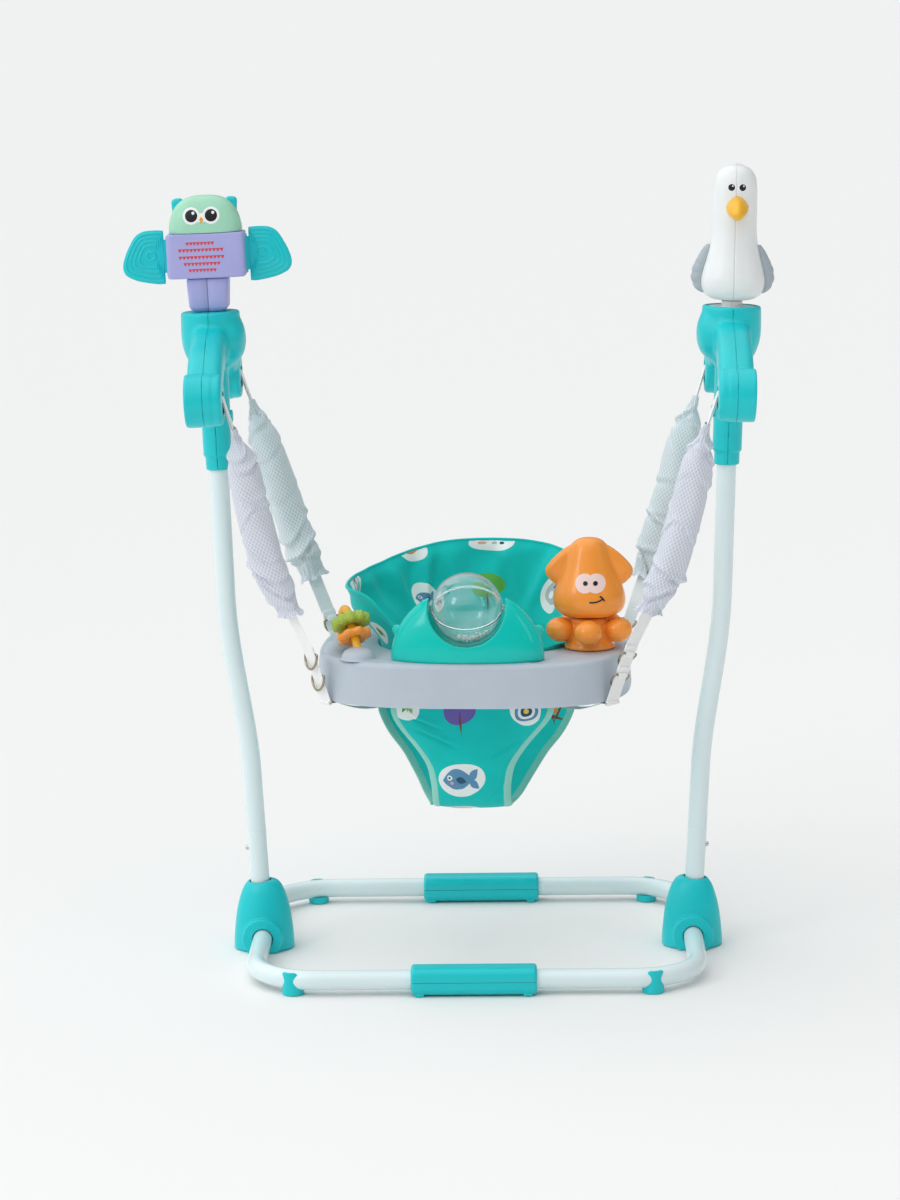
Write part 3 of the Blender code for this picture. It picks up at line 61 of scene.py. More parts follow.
# %% Camera
FRAME_HEIGHT_PX = 1200
SENSOR_HEIGHT_MM = 36.0
FOCAL_PX = 3547.5
CAMERA_PLACE = (0.0979, -5.0995, 1.4050)
YAW, PITCH, ROLL = (math.radians(a) for a in (-1.105, 9.844, -0.739))


def placed(name, data, columns=None):
    """Adds an object to the scene. The columns are its own X, Y and Z directions and its place."""
    obj = bpy.data.objects.new(name, data)
    bpy.context.scene.collection.objects.link(obj)
    if columns:
        obj.matrix_world = Matrix([list(row) for row in zip(*columns)] + [[0, 0, 0, 1]])
    return obj


def add_camera():
    """Turns yaw, downward pitch and roll into the camera's right, up and back directions."""
    ahead = np.array([math.sin(YAW) * math.cos(PITCH), math.cos(YAW) * math.cos(PITCH), -math.sin(PITCH)])
    right = np.array([math.cos(YAW), -math.sin(YAW), 0.0])
    up = np.cross(right, ahead)
    rolled_right = math.cos(ROLL) * right + math.sin(ROLL) * up
    rolled_up = -math.sin(ROLL) * right + math.cos(ROLL) * up
    lens = bpy.data.cameras.new("camera")
    lens.sensor_fit = "VERTICAL"
    lens.sensor_height = SENSOR_HEIGHT_MM
    lens.lens = SENSOR_HEIGHT_MM * FOCAL_PX / FRAME_HEIGHT_PX
    lens.clip_end = 9000.0
    bpy.context.scene.camera = placed("camera", lens, (rolled_right, rolled_up, -ahead, CAMERA_PLACE))
    print("camera lens:", round(lens.lens, 1), "mm on a 36 mm high sensor")


add_camera()

# %% [markdown]
# ## Colours and nodes
# Colours are written as sRGB hex values, as a colour picker shows them, and one function turns them into the
# linear light that shaders work in. One more function adds a node with its settings and its links. Each
# finish knows the material slot of the CAD model that it stands for, and the first finish of a slot is also
# the one of its nodes.

# %% Colour and node helpers
SLOT_OF = {}


def linear(hex_colour, share=1.0):
    """c / 12.92 up to 0.04045, and ((c + 0.055) / 1.055) ** 2.4 above it, times a share, with alpha 1."""
    c = np.array([int(hex_colour[i:i + 2], 16) for i in (1, 3, 5)]) / 255
    light = np.where(c <= 0.04045, c / 12.92, ((c + 0.055) / 1.055) ** 2.4)
    return (*np.minimum(light * share, 1).tolist(), 1.0)


def add_node(mat, kind, inputs=None, out=0, **settings):
    """Adds a node, sets its properties, gives each named input a link or a value, and returns one output."""
    node = mat.node_tree.nodes.new("ShaderNode" + kind)
    for name, value in settings.items():
        setattr(node, name, value)
    for name, value in (inputs or {}).items():
        if isinstance(value, bpy.types.NodeSocket):
            mat.node_tree.links.new(value, node.inputs[name])
        else:
            node.inputs[name].default_value = value
    return node.outputs[out]


def new_material(name, slot, **values):
    """A material whose shader gets the given values, with spaces in the sockets' names written as _."""
    mat = bpy.data.materials.new(name)
    mat.use_nodes = True
    for key, value in values.items():
        mat.node_tree.nodes["Principled BSDF"].inputs[key.replace("_", " ")].default_value = value
    SLOT_OF[name] = slot
    return mat


def feed(mat, **outputs):
    """Links outputs to the shader's sockets, with spaces in the sockets' names written as _."""
    for key, output in outputs.items():
        mat.node_tree.links.new(output, mat.node_tree.nodes["Principled BSDF"].inputs[key.replace("_", " ")])


# %% [markdown]
# ## The studio
# The photograph has a seamless pale ground and very soft light, brighter from the left. A plane that runs to
# the horizon gives the ground. The sky is a big soft box: its brightness depends on the direction alone, high
# on the upper left and lower on the right, so the ground stays even while each form gets a light and a darker
# side. Two soft lamps add the faint shadow to the right and the long highlights on the glossy toys.

# %% Ground, sky and lamps
GROUND_HALF = 3000.0
BRIGHT_FROM = (-0.45, -0.05, 0.89)
SKY_DIM, SKY_BRIGHT = 0.28, 1.68


def add_ground():
    """A flat square just below the feet."""
    mesh = bpy.data.meshes.new("ground")
    corners = np.array([[-1, -1, 0], [1, -1, 0], [1, 1, 0], [-1, 1, 0]]) * GROUND_HALF
    mesh.from_pydata(corners.tolist(), [], [(0, 1, 2, 3)])
    mesh.materials.append(new_material("seamless_paper", None, Base_Color=linear("#F1F1F0"), Roughness=0.9,
                                       Specular_IOR_Level=0.0))
    placed("ground", mesh)


def add_sky():
    """Strength = dim + (bright - dim) * s(d), with d the cosine of the angle from the bright direction."""
    world = bpy.data.worlds.new("sky")
    world.use_nodes = True
    bpy.context.scene.world = world
    background = world.node_tree.nodes["Background"]
    background.inputs["Color"].default_value = linear("#F7F8F9")
    direction = add_node(world, "TexCoord", out="Generated")
    toward = add_node(world, "VectorMath", {0: direction, 1: BRIGHT_FROM}, out="Value",
                      operation="DOT_PRODUCT")
    strength = add_node(world, "MapRange", {"Value": toward, "From Min": 0.15, "From Max": 1.0,
                                            "To Min": SKY_DIM, "To Max": SKY_BRIGHT},
                        interpolation_type="SMOOTHSTEP")
    world.node_tree.links.new(strength, background.inputs["Strength"])


def unit(vector):
    return vector / np.linalg.norm(vector, axis=-1, keepdims=True)


def add_lamp(name, place, target, size, watts):
    """A rectangular soft lamp that looks at the target."""
    lamp = bpy.data.lights.new(name, "AREA")
    lamp.shape = "RECTANGLE"
    lamp.size, lamp.size_y = size
    lamp.energy = watts
    back = unit(np.array(place) - np.array(target))
    side = unit(np.cross([0.0, 0.0, 1.0], back))
    placed(name, lamp, (side, np.cross(back, side), back, place))


add_ground()
add_sky()
bpy.context.scene.view_settings.view_transform = "Standard"
add_lamp("key", (-2.6, -2.4, 2.5), (0.0, 0.0, 0.5), (0.9, 1.5), 12)
add_lamp("rim", (2.8, -1.8, 1.9), (0.0, 0.0, 0.6), (0.5, 1.8), 4)
print("studio: one ground plane, one sky and two soft lamps")

# %% [markdown]
# ## Surfaces from arrays
# Most of the object is moulded plastic and bent tube, and such shapes are easy to say as formulas: a profile
# turned about an axis, a section carried along a path, or a box whose corners are rounded by an exponent.
# Each function below works out a whole grid of points at once. The grids then become the shells of one piece.

# %% Grids of points


def full_turn(count):
    """Angles evenly round a circle, from 0 up to but without 2 pi."""
    return np.linspace(0, 2 * math.pi, count, endpoint=False)


def coords(*parts):
    """Points from their coordinates, each one an array or a number."""
    return np.stack(np.broadcast_arrays(*parts), -1)


def smooth_curve(points, count, closed=False):
    """A Catmull-Rom curve: cubics through the points, with the slope at each one half the step between its
    neighbours."""
    p = np.asarray(points, float)
    n = len(p)
    t = np.linspace(0, n if closed else n - 1, count, endpoint=not closed)
    i = np.minimum(t.astype(int), n - 1 if closed else n - 2)
    u = (t - i)[:, None]
    pick = (lambda k: p[k % n]) if closed else (lambda k: p[np.clip(k, 0, n - 1)])
    a, b, c, d = pick(i - 1), pick(i), pick(i + 1), pick(i + 2)
    return 0.5 * (2 * b + (c - a) * u + (2 * a - 5 * b + 4 * c - d) * u ** 2
                  + (3 * b - a - 3 * c + d) * u ** 3)


def profile_of(points, count):
    """A smooth profile of (radius, height) whose radius never falls below 0."""
    return np.maximum(smooth_curve(points, count), [0, -np.inf])


def turned(profile, columns=96, squash=1.0):
    """A profile of (radius, height) turned about Z: (r cos t, r sin t * squash, z)."""
    r, z = np.asarray(profile, float).T[..., None]
    t = full_turn(columns)
    return coords(r * np.cos(t), r * np.sin(t) * squash, z)


def bulge(angle, power):
    """The signed cosine and sine of an angle, each raised to 2 / power, which squares off an ellipse."""
    c, s = np.cos(angle), np.sin(angle)
    return np.sign(c) * np.abs(c) ** (2 / power), np.sign(s) * np.abs(s) ** (2 / power)


def round_block(half, side_power=8.0, top_power=8.0, rows=48, columns=96):
    """A superellipsoid: an ellipsoid whose cosines and sines are raised to powers, up to a box with round
    edges."""
    cu, su = bulge(np.linspace(-math.pi / 2, math.pi / 2, rows)[:, None], top_power)
    cx, cy = bulge(full_turn(columns), side_power)
    return coords(half[0] * cu * cx, half[1] * cu * cy, half[2] * su)


def drum_about_x(radius, half_width, power):
    """A drum with rounded rims: a superellipse of (radius, half width), turned."""
    c, s = bulge(np.linspace(-math.pi / 2, math.pi / 2, 40), power)
    return turned(coords(radius * np.abs(c), half_width * s))[..., [2, 0, 1]]


def ellipse(half_x, half_y, columns=48, power=2.0):
    """A closed section: a superellipse in its own plane."""
    c, s = bulge(full_turn(columns), power)
    return coords(half_x * c, half_y * s)


def carried(path, section, up):
    """A section carried along a path: path + across * a + up' * b, where across is along x up and up' is
    square to both. up is one direction, or one for each point of the path. The section may change along
    the path."""
    path = np.asarray(path, float)
    along = unit(np.gradient(path, axis=0))
    across = unit(np.cross(along, np.broadcast_to(up, path.shape)))
    square = np.cross(across, along)
    section = np.asarray(section, float)
    if section.ndim == 2:
        section = np.broadcast_to(section, (len(path), *section.shape))
    return path[:, None] + section[..., :1] * across[:, None] + section[..., 1:] * square[:, None]


def rounded_path(corners, radius, steps=16, spacing=0.012):
    """A polyline whose inner corners are arcs of one radius, with points along its straight runs."""
    corners = [np.asarray(c, float) for c in corners]
    points = [corners[0]]

    def run_to(end, with_end):
        run = max(int(np.linalg.norm(end - points[-1]) / spacing), 1)
        start = points[-1]
        points.extend(start + (end - start) * k / run for k in range(1, run + with_end))

    for before, corner, after in zip(corners, corners[1:], corners[2:]):
        into, out = unit(corner - before), unit(after - corner)
        bend = math.acos(np.clip(into @ out, -1, 1))
        start = corner - into * radius * math.tan(bend / 2)
        inward = unit(out - into * (into @ out))
        run_to(start, 0)
        angle = np.linspace(0, bend, steps + 1)[:, None]
        points.extend(start + inward * radius * (1 - np.cos(angle)) + into * radius * np.sin(angle))
    run_to(corners[-1], 1)
    return np.array(points)


def capped(grid, edge=0.0006):
    """Closes both ends of a carried section: a ring a little further in and out, and then a middle point."""
    ends = []
    for ring, inner in ((grid[0], grid[1]), (grid[-1], grid[-2])):
        middle = ring.mean(0)
        outward = middle - inner.mean(0)
        outward *= edge / np.linalg.norm(outward)
        share = 1 - edge / np.linalg.norm(ring - middle, axis=1).max()
        ends.append([middle + (ring - middle) * share + outward,
                     np.broadcast_to(middle + outward, ring.shape)])
    return np.concatenate([ends[0][::-1], grid, ends[1]])


def looped(path, section, up):
    """A section carried round a closed path, which overlaps itself by three points so that its ends agree."""
    return carried(np.concatenate([path[-3:], path, path[:3]]), section, up)[3:-3]


# %% [markdown]
# ## From grids to pieces
# A piece is one or more closed shells. Rows run along the shape and columns around it. Where a row shrinks to
# a point its corners are merged, so poles are closed, and a shell whose volume comes out negative is turned
# round, so its faces point outwards.

# %% Pieces


def shell(grid, wrap_rows=False, uv_size=(1.0, 1.0)):
    """The corners, quads and UVs of a grid. The UVs run from 0 to uv_size around and along the grid."""
    rows, columns = grid.shape[:2]
    spans = rows if wrap_rows else rows - 1
    i, j = (k.reshape(-1, 1) for k in np.mgrid[0:spans, 0:columns])
    i, j = i + [0, 0, 1, 1], j + [0, 1, 1, 0]
    quads = (i % rows) * columns + j % columns
    uv = coords(j / columns * uv_size[0], i / spans * uv_size[1])
    points = grid.reshape(-1, 3)
    a, b, c, d = (points[quads[:, k]] for k in range(4))
    volume = (np.cross(b - a, c - a) + np.cross(c - a, d - a)) * (a - points.mean(0))
    if volume.sum() < 0:
        quads, uv = quads[:, ::-1], uv[:, ::-1]
    return points, quads, uv


def piece(name, shells, material, weld=1e-6, smooth=40):
    """One object from shells, with its corners merged, its edges over the smooth angle sharp, and its UVs."""
    points = np.concatenate([s[0] for s in shells])
    starts = np.cumsum([0] + [len(s[0]) for s in shells])[:-1]
    quads = np.concatenate([s[1] + k for s, k in zip(shells, starts)])
    mesh = bpy.data.meshes.new(name)
    mesh.from_pydata(points.tolist(), [], quads.tolist())
    mesh.uv_layers.new(name="flat").uv.foreach_set("vector", np.concatenate([s[2] for s in shells]).ravel())
    mesh.materials.append(material)
    with_bmesh(mesh, lambda bm: bmesh.ops.remove_doubles(bm, verts=bm.verts, dist=weld))
    return placed(name, smoothed(mesh, smooth))


def with_bmesh(mesh, change):
    """Applies a change to a mesh through an edit mesh."""
    bm = bmesh.new()
    bm.from_mesh(mesh)
    change(bm)
    bm.to_mesh(mesh)
    bm.free()


def smoothed(mesh, smooth):
    """Smooth shading, with edges over an angle in degrees left sharp."""
    mesh.shade_smooth()
    mesh.set_sharp_from_angle(angle=math.radians(smooth))
    return mesh


def settle(obj, smooth=40):
    """Puts what the modifiers make into the object's own mesh."""
    bpy.context.view_layer.update()
    graph = bpy.context.evaluated_depsgraph_get()
    mesh = bpy.data.meshes.new_from_object(obj.evaluated_get(graph))
    obj.modifiers.clear()
    obj.data = smoothed(mesh, smooth)
    return obj


def fused(obj, voxel, rounds):
    """One skin round shells that cross, then smoothed so that the creases between them become fillets."""
    remesh = obj.modifiers.new("fuse", "REMESH")
    remesh.mode = "VOXEL"
    remesh.voxel_size = voxel
    soften = obj.modifiers.new("fillet", "SMOOTH")
    soften.factor = 0.5
    soften.iterations = rounds
    material = obj.data.materials[0]
    settle(obj, 75)
    obj.data.materials.clear()
    obj.data.materials.append(material)
    return obj


def combine(obj, grid, operation="DIFFERENCE"):
    """Takes the room inside a closed grid out of the object, or adds it."""
    other = piece("other", [shell(grid)], obj.data.materials[0])
    mod = obj.modifiers.new("combine", "BOOLEAN")
    mod.operation, mod.solver, mod.object = operation, "EXACT", other
    settle(obj)
    bpy.data.objects.remove(other, do_unlink=True)
    return obj


def with_extra(obj, shells):
    """Adds more shells to an object's mesh."""
    other = piece("extra", shells, obj.data.materials[0])
    with_bmesh(obj.data, lambda bm: bm.from_mesh(other.data))
    bpy.data.objects.remove(other, do_unlink=True)
    return obj


def groove(obj, point, normal, width, depth):
    """Draws a parting line: the mesh is split along three close planes, and the points on the middle one
    are pushed in."""
    point, normal = np.asarray(point), np.asarray(normal)

    def draw(bm):
        for offset in (-width, 0.0, width):
            geometry = bm.verts[:] + bm.edges[:] + bm.faces[:]
            bmesh.ops.bisect_plane(bm, geom=geometry, dist=1e-7, plane_co=(point + normal * offset).tolist(),
                                   plane_no=normal)
        bm.normal_update()
        for vert in bm.verts:
            if abs((np.array(vert.co) - point) @ normal) < width * 0.2:
                vert.co -= vert.normal * depth

    with_bmesh(obj.data, draw)
    obj.data.shade_smooth()


def moved(grid, place=(0, 0, 0), turn=None):
    """A grid turned by a 3 x 3 matrix and then moved."""
    return (grid if turn is None else grid @ np.asarray(turn).T) + np.asarray(place)


def about(axis, angle):
    """The matrix that turns by an angle about X, Y or Z."""
    return np.array(Matrix.Rotation(angle, 3, axis))


def use(obj, body, *nodes):
    """The piece rides on a body and stands for the CAD nodes, which it hides."""
    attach(obj, body)
    if nodes:
        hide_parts(*nodes)
    return obj


# %% [markdown]
# ## Moulded plastics
# The shells, toys and sleeves are injection-moulded ABS and polypropylene: coloured right through, with a
# faint texture from the mould, handling marks that change the gloss a little, and convex edges that are a
# little paler. The tube is powder-coated steel, which has a fine orange-peel skin. The same recipe with other
# values covers them all.

# %% Plastic and paint


def coated(name, slot, colour, rough, pale=0.10, grain_mm=0.9, grain_depth=0.00003, cloudy=0.06, **values):
    """Even colour with cloudy differences 60 mm wide, smudged gloss 15 mm wide and grain of a size in
    millimetres. Pointiness is above a half on convex edges, and there the colour is mixed with white by
    the share pale."""
    mat = new_material(name, slot, **values)
    place = add_node(mat, "TexCoord", out="Object")
    cloud = add_node(mat, "TexNoise", {"Vector": place, "Scale": 1 / 0.060, "Detail": 3.0, "Roughness": 0.6})
    # Sockets 6 and 7 of a Mix node are its two colours, and output 2 is the mixed colour
    toned = add_node(mat, "Mix", {"Factor": cloud, 6: linear(colour, 1 - cloudy),
                                  7: linear(colour, 1 + cloudy)}, 2, data_type="RGBA")
    edge = add_node(mat, "NewGeometry", out="Pointiness")
    pale_edge_share = add_node(mat, "MapRange", {"Value": edge, "From Min": 0.52, "From Max": 0.64, "To Max": pale})
    pale_edge_colour = tuple(0.35 * c + 0.65 for c in linear(colour))
    pale_edged = add_node(mat, "Mix", {"Factor": pale_edge_share, 6: toned, 7: pale_edge_colour}, 2, data_type="RGBA")
    smudge = add_node(mat, "TexNoise", {"Vector": place, "Scale": 1 / 0.015, "Detail": 4.0})
    gloss = add_node(mat, "MapRange", {"Value": smudge, "From Min": 0.3, "From Max": 0.7,
                                       "To Min": rough * (1 - 2.5 * cloudy),
                                       "To Max": min(rough * (1 + 3.3 * cloudy), 1.0)})
    grain = add_node(mat, "TexNoise", {"Vector": place, "Scale": 1000 / grain_mm, "Detail": 2.0})
    bump = add_node(mat, "Bump", {"Height": grain, "Strength": 0.5, "Distance": grain_depth})
    feed(mat, Base_Color=pale_edged, Roughness=gloss, Normal=bump)
    return mat


# ABS and polypropylene have an index near 1.5, and the spark-eroded grain of a mould is a little under 1 mm
TEAL = coated("moulded_teal_abs", "teal_plastic", "#0CCAD0", 0.34, IOR=1.5, Specular_IOR_Level=0.4)
TRAY_GREY = coated("moulded_grey_polypropylene", "grey_plastic", "#BAC5D0", 0.42, IOR=1.49,
                   Specular_IOR_Level=0.4)
LILAC = coated("moulded_lilac_abs", "lilac_plastic", "#ACADE2", 0.38, IOR=1.5)
MINT = coated("moulded_mint_abs", "mint_plastic", "#A4DDC0", 0.36, IOR=1.5)
WHITE = coated("moulded_white_abs", "white_plastic", "#EEF1F1", 0.34, pale=0.0, IOR=1.5)
WING_GREY = coated("moulded_grey_abs", "wing_grey_plastic", "#A9B5BC", 0.45, IOR=1.5)
YELLOW = coated("moulded_yellow_abs", "yellow_plastic", "#F5B928", 0.32, IOR=1.5)
LIME = coated("moulded_lime_abs", "lime_plastic", "#A9C34A", 0.36, IOR=1.5)
# The cradle and the squid come out of polished moulds, so their highlights are long and sharp
GLOSS_TURQUOISE = coated("polished_turquoise_abs", "gloss_turquoise_plastic", "#02C8BC", 0.13,
                         grain_depth=0.0, IOR=1.5, Coat_Weight=0.1, Coat_Roughness=0.05,
                         Specular_IOR_Level=0.3)
GLOSS_ORANGE = coated("polished_orange_abs", "orange_plastic", "#FF9B38", 0.16, grain_depth=0.0, IOR=1.5,
                      Coat_Weight=0.15, Coat_Roughness=0.08, Specular_IOR_Level=0.45)
# Powder coat on steel tube: a dielectric skin whose orange peel is about 2.5 mm from bump to bump
PAINTED_STEEL = coated("powder_coated_steel_tube", "pale_painted_steel", "#E2F2F4", 0.26, pale=0.03,
                       grain_mm=2.5, grain_depth=0.000001, cloudy=0.008, Coat_Weight=0.3, Coat_Roughness=0.12)
BRIGHT_STEEL = coated("bright_zinc_plated_wire", "bright_steel", "#C9CCD0", 0.24, pale=0.0, grain_mm=0.7,
                      Metallic=1.0)
NICKEL = coated("warm_nickel_plated_ring", "bright_steel", "#A59C86", 0.20, pale=0.0, grain_mm=0.7,
                Metallic=1.0)
PRINT_BLACK = coated("black_pad_print", "white_plastic", "#14161C", 0.25, pale=0.0, grain_depth=0.0)
PRINT_WHITE = coated("white_pad_print", "white_plastic", "#F7F8F8", 0.30, pale=0.0, grain_depth=0.0)
PRINT_RED = coated("red_pad_print", "lilac_plastic", "#D8424C", 0.40, pale=0.0, grain_depth=0.0)
PRINT_AMBER = coated("amber_pad_print", "yellow_plastic", "#F5A623", 0.35, pale=0.0, grain_depth=0.0)
PRINT_ROSE = coated("rose_pad_print", "white_plastic", "#F6D9D2", 0.35, pale=0.0, grain_depth=0.0)

# The nodes of the CAD model that stay as they are get the first finish of their slot
finishes = {}
for name, slot in SLOT_OF.items():
    if slot:
        finishes.setdefault(slot, bpy.data.materials[name])
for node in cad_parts.values():
    for place, mat in enumerate(node.data.materials):
        for slot, finish in finishes.items():
            if mat and mat.name.startswith(slot):
                node.data.materials[place] = finish
print(len(finishes), "finishes for the slots of the CAD model")


# %% [markdown]
# ## Base tubes and posts
# Two steel tubes of 28 mm are bent into a rounded loop and meet in the middle of the front and the rear. Two
# posts rise from it, lean outwards by three degrees, bend and run on nearly upright into the towers. A circle
# carried along the tube's axis gives both. The posts' joint has a real gap, because in the photograph it is a
# thin dark line.

# %% Tube axes
STAND_X = 0.0345
TUBE_R = 0.014
BASE_HALF_X, BASE_HALF_Y, BASE_Z = 0.317, 0.260, 0.0218
CORNER_R = 0.095
TOWER_X, TOWER_Z = 0.368, 0.716
TOWER_LEAN, LOW_LEAN = math.radians(1.8), math.radians(3.0)
POST_SEAM_Z = 0.1785
SIDES = ((-1, "left"), (1, "right"))
ENDS = ((-1, "front"), (1, "rear"))


def post_x(z):
    """The post's distance from the middle: two straight lines, blended by 3t^2 - 2t^3 over the bend."""
    low = BASE_HALF_X + math.tan(LOW_LEAN) * (z - BASE_Z)
    top = TOWER_X + math.tan(TOWER_LEAN) * (z - TOWER_Z)
    t = np.clip((z - 0.270) / (0.530 - 0.270), 0, 1)
    return low + (top - low) * t * t * (3 - 2 * t)


def post_line(side, low, top, count):
    z = np.linspace(low, top, count)
    return coords(STAND_X + side * post_x(z), np.zeros(count), z)


def round_bar(path, radius, columns=48, up=(0, 1, 0), edge=0.0006):
    """A circle carried along the path, closed at both ends."""
    return capped(carried(path, ellipse(radius, radius, columns), up), edge)


BUTTON_DROP, BUTTON_R, BUTTON_HOLE_R = 0.027, 0.0036, 0.0045
for side, word in SIDES:
    x, y, butt = STAND_X + side * BASE_HALF_X, BASE_HALF_Y, STAND_X + side * 0.00075
    path = rounded_path([(butt, -y, BASE_Z), (x, -y, BASE_Z), (x, y, BASE_Z), (butt, y, BASE_Z)], CORNER_R,
                        28)
    loop = shell(round_bar(path, TUBE_R, up=(0, 0, 1)))
    spigot = shell(round_bar(post_line(side, BASE_Z + 0.006, 0.095, 6), TUBE_R - 0.0018))
    use(piece("fine_base_tube_" + word, [loop, spigot], PAINTED_STEEL), "stand",
        "base_tube_" + word)
    lower = piece("fine_lower_post_" + word,
                  [shell(round_bar(post_line(side, BASE_Z + 0.0146, POST_SEAM_Z, 14), TUBE_R))],
                  PAINTED_STEEL)
    z = POST_SEAM_Z - BUTTON_DROP
    face = STAND_X + side * (post_x(z) + TUBE_R)
    hole_line = [(face - side * 0.006, 0, z), (face + side * 0.004, 0, z)]
    combine(lower, round_bar(hole_line, BUTTON_HOLE_R, 32))
    use(lower, "stand", "lower_post_" + word)
    upper = [shell(round_bar(post_line(side, POST_SEAM_Z + 0.0009, 0.790, 90), TUBE_R)),
             shell(round_bar(post_line(side, POST_SEAM_Z - 0.060, POST_SEAM_Z + 0.004, 8), 0.0122))]
    use(piece("fine_upper_post_" + word, upper, PAINTED_STEEL), "stand", "upper_post_" + word)
    # The snap button's end is a half ball, 4.5 mm proud of the tube
    angle = np.linspace(0, math.pi / 2, 10)
    head = coords(BUTTON_R * np.cos(angle), 0.0012 + 0.0033 * np.sin(angle))
    profile = np.concatenate([[(0.0, -0.009), (BUTTON_R, -0.009)], head])
    button = moved(turned(profile, 32)[..., [2, 1, 0]] * [side, 1, 1], (face, 0, z))
    use(piece("fine_post_button_" + word, [shell(button)], BRIGHT_STEEL), "post_button_" + word,
        "post_button_" + word)
print("tubes: 28 mm across, loop", round(2 * (BASE_HALF_X + TUBE_R), 3), "by",
      round(2 * (BASE_HALF_Y + TUBE_R), 3))

# %% [markdown]
# ## Sleeves
# A teal sleeve of two moulded halves covers each joint of the base tubes and stands on four small pads. Each
# half is a C-shaped section, rounded rectangle outside and half circle inside, carried along X, with its ends
# drawn in over the last five millimetres.

# %% Sleeves


def round_corner_half(half, radius, count):
    """The upper half of a rounded square, from its right side over the top to its left side, evenly
    spaced: straight runs of half - radius, and quarter circles between them."""
    arc = np.linspace(0, math.pi / 2, 40)
    corner = coords(half - radius + radius * np.cos(arc), half - radius + radius * np.sin(arc))
    line = np.concatenate([[(half, 0.0)], corner, corner[::-1] * [-1, 1], [(-half, 0.0)]])
    walked = np.concatenate([[0], np.cumsum(np.linalg.norm(np.diff(line, axis=0), axis=1))])
    at = np.linspace(0, walked[-1], count)
    return coords(np.interp(at, walked, line[:, 0]), np.interp(at, walked, line[:, 1]))


def sleeve_half(up, centre):
    """Rows along X of a closed C section. Over the last few millimetres the outside shrinks by a quarter
    circle."""
    length, half, end_round, columns = 0.178, 0.020, 0.005, 56
    turn = np.linspace(0, math.pi, columns)
    bore = (TUBE_R + 0.0003) * coords(np.cos(turn), np.sin(turn))
    rows = []
    bend = np.linspace(0, math.pi / 2, 9)
    insets = [(end_round * (1 - math.cos(b)), length / 2 - end_round + end_round * math.sin(b)) for b in bend]
    places = [(i, -x) for i, x in insets[::-1]] + [(0, x) for x in np.linspace(-0.07, 0.07, 15)] + insets
    for inset, x in places:
        skin = round_corner_half(half - inset, 0.012 - inset * 0.4, columns)
        loop = np.concatenate([skin, bore[::-1]])
        loop[:, 1] = np.maximum(loop[:, 1], 0.00035)
        rows.append(np.column_stack([np.full(len(loop), x), loop[:, 0], up * loop[:, 1]]))
    for row, at in ((rows[0], 0), (rows[-1], len(rows) + 1)):
        middle = (row[:columns] + row[:columns - 1:-1]) / 2
        rows.insert(at, np.concatenate([middle, middle[::-1]]))
    return np.array(rows) + centre


for end, word in ENDS:
    centre = np.array([STAND_X + end * 0.003, end * BASE_HALF_Y, BASE_Z])
    use(piece("fine_sleeve_upper_" + word, [shell(sleeve_half(1, centre))], TEAL), "stand",
        "sleeve_upper_" + word)
    pads = []
    for where in (-1, 1):
        pad = round_block((0.0065, 0.017, 0.0045), 10, 6, 24, 64)
        pads.append(shell(moved(pad, (centre[0] + where * 0.0765, centre[1], 0.0046))))
    use(piece("fine_sleeve_lower_" + word, [shell(sleeve_half(-1, centre)), *pads], TEAL), "stand",
        "sleeve_lower_" + word)
print("sleeves: 178 mm long, 40 mm square")

# %% [markdown]
# ## Feet
# A round foot clips under each bend. Its wall climbs the outer side of the tube as a tab and stays low on the
# inner side, so the foot is a drum whose height is a function of the angle round it.

# %% Feet


def foot(outward):
    """Rows: middle of the sole, its rounded edge, the wall, its rounded top edge, and a hollow under the
    tube. The wall's height is low + (high - low) * s(c), with c the cosine of the angle from the outward
    side."""
    radius, low, high, turn = 0.0155, 0.0105, 0.0345, full_turn(96)
    c = np.clip(np.cos(turn - outward) + 0.15, 0, 1)
    height = low + (high - low) * c * c * (3 - 2 * c)
    bend = np.linspace(0, math.pi / 2, 7)
    sole = [(0.0, 0.0)] + [(radius - 0.002 + 0.002 * math.sin(b), 0.002 - 0.002 * math.cos(b)) for b in bend]
    rows = list(sole)
    rows += [(radius, 0.003 + (height - 0.004) * t) for t in np.linspace(0.1, 1, 8)]
    rows += [(radius - 0.0012 * (1 - math.cos(b)), height - 0.0012 + 0.0012 * math.sin(b)) for b in bend[1:]]
    rows += [(radius - 0.0036, height - 0.0004), (radius * 0.5, 0.010), (0.0, 0.010)]
    return np.array([coords(r * np.cos(turn), r * np.sin(turn), z) for r, z in rows])


for side, side_word in SIDES:
    for end, end_word in ENDS:
        angle = math.radians(67 if side == end else 73) * end
        x = side * (BASE_HALF_X - CORNER_R + CORNER_R * math.cos(angle))
        y = end * (BASE_HALF_Y - CORNER_R) + CORNER_R * math.sin(angle)
        outward = math.atan2(CORNER_R * math.sin(angle), side * CORNER_R * math.cos(angle))
        name = end_word + "_" + side_word
        grid = moved(foot(outward), (STAND_X + x, y, 0))
        use(piece("fine_foot_" + name, [shell(grid)], TEAL), "stand", "foot_" + name)
print("feet: four drums, 31 mm across")

# %% [markdown]
# ## Shrouds
# A hollow bullet-shaped cover stands over the foot of each post, with an arched collar where the base tube
# passes through. Cut as a solid first, then covered with one fine voxel skin and smoothed, all its edges get
# the small radius that moulded parts have.

# %% Shrouds
SHROUD_OUTLINE = ((0.0, 1.0), (0.22, 0.998), (0.40, 0.985), (0.55, 0.945), (0.72, 0.815), (0.88, 0.57),
                  (0.97, 0.28), (1.0, 0.10), (1.0, 0.0))
# Height, half width, depth as a share of the width, and wall
SHROUD_SIZES = (0.105, 0.0445, 0.84, 0.003)


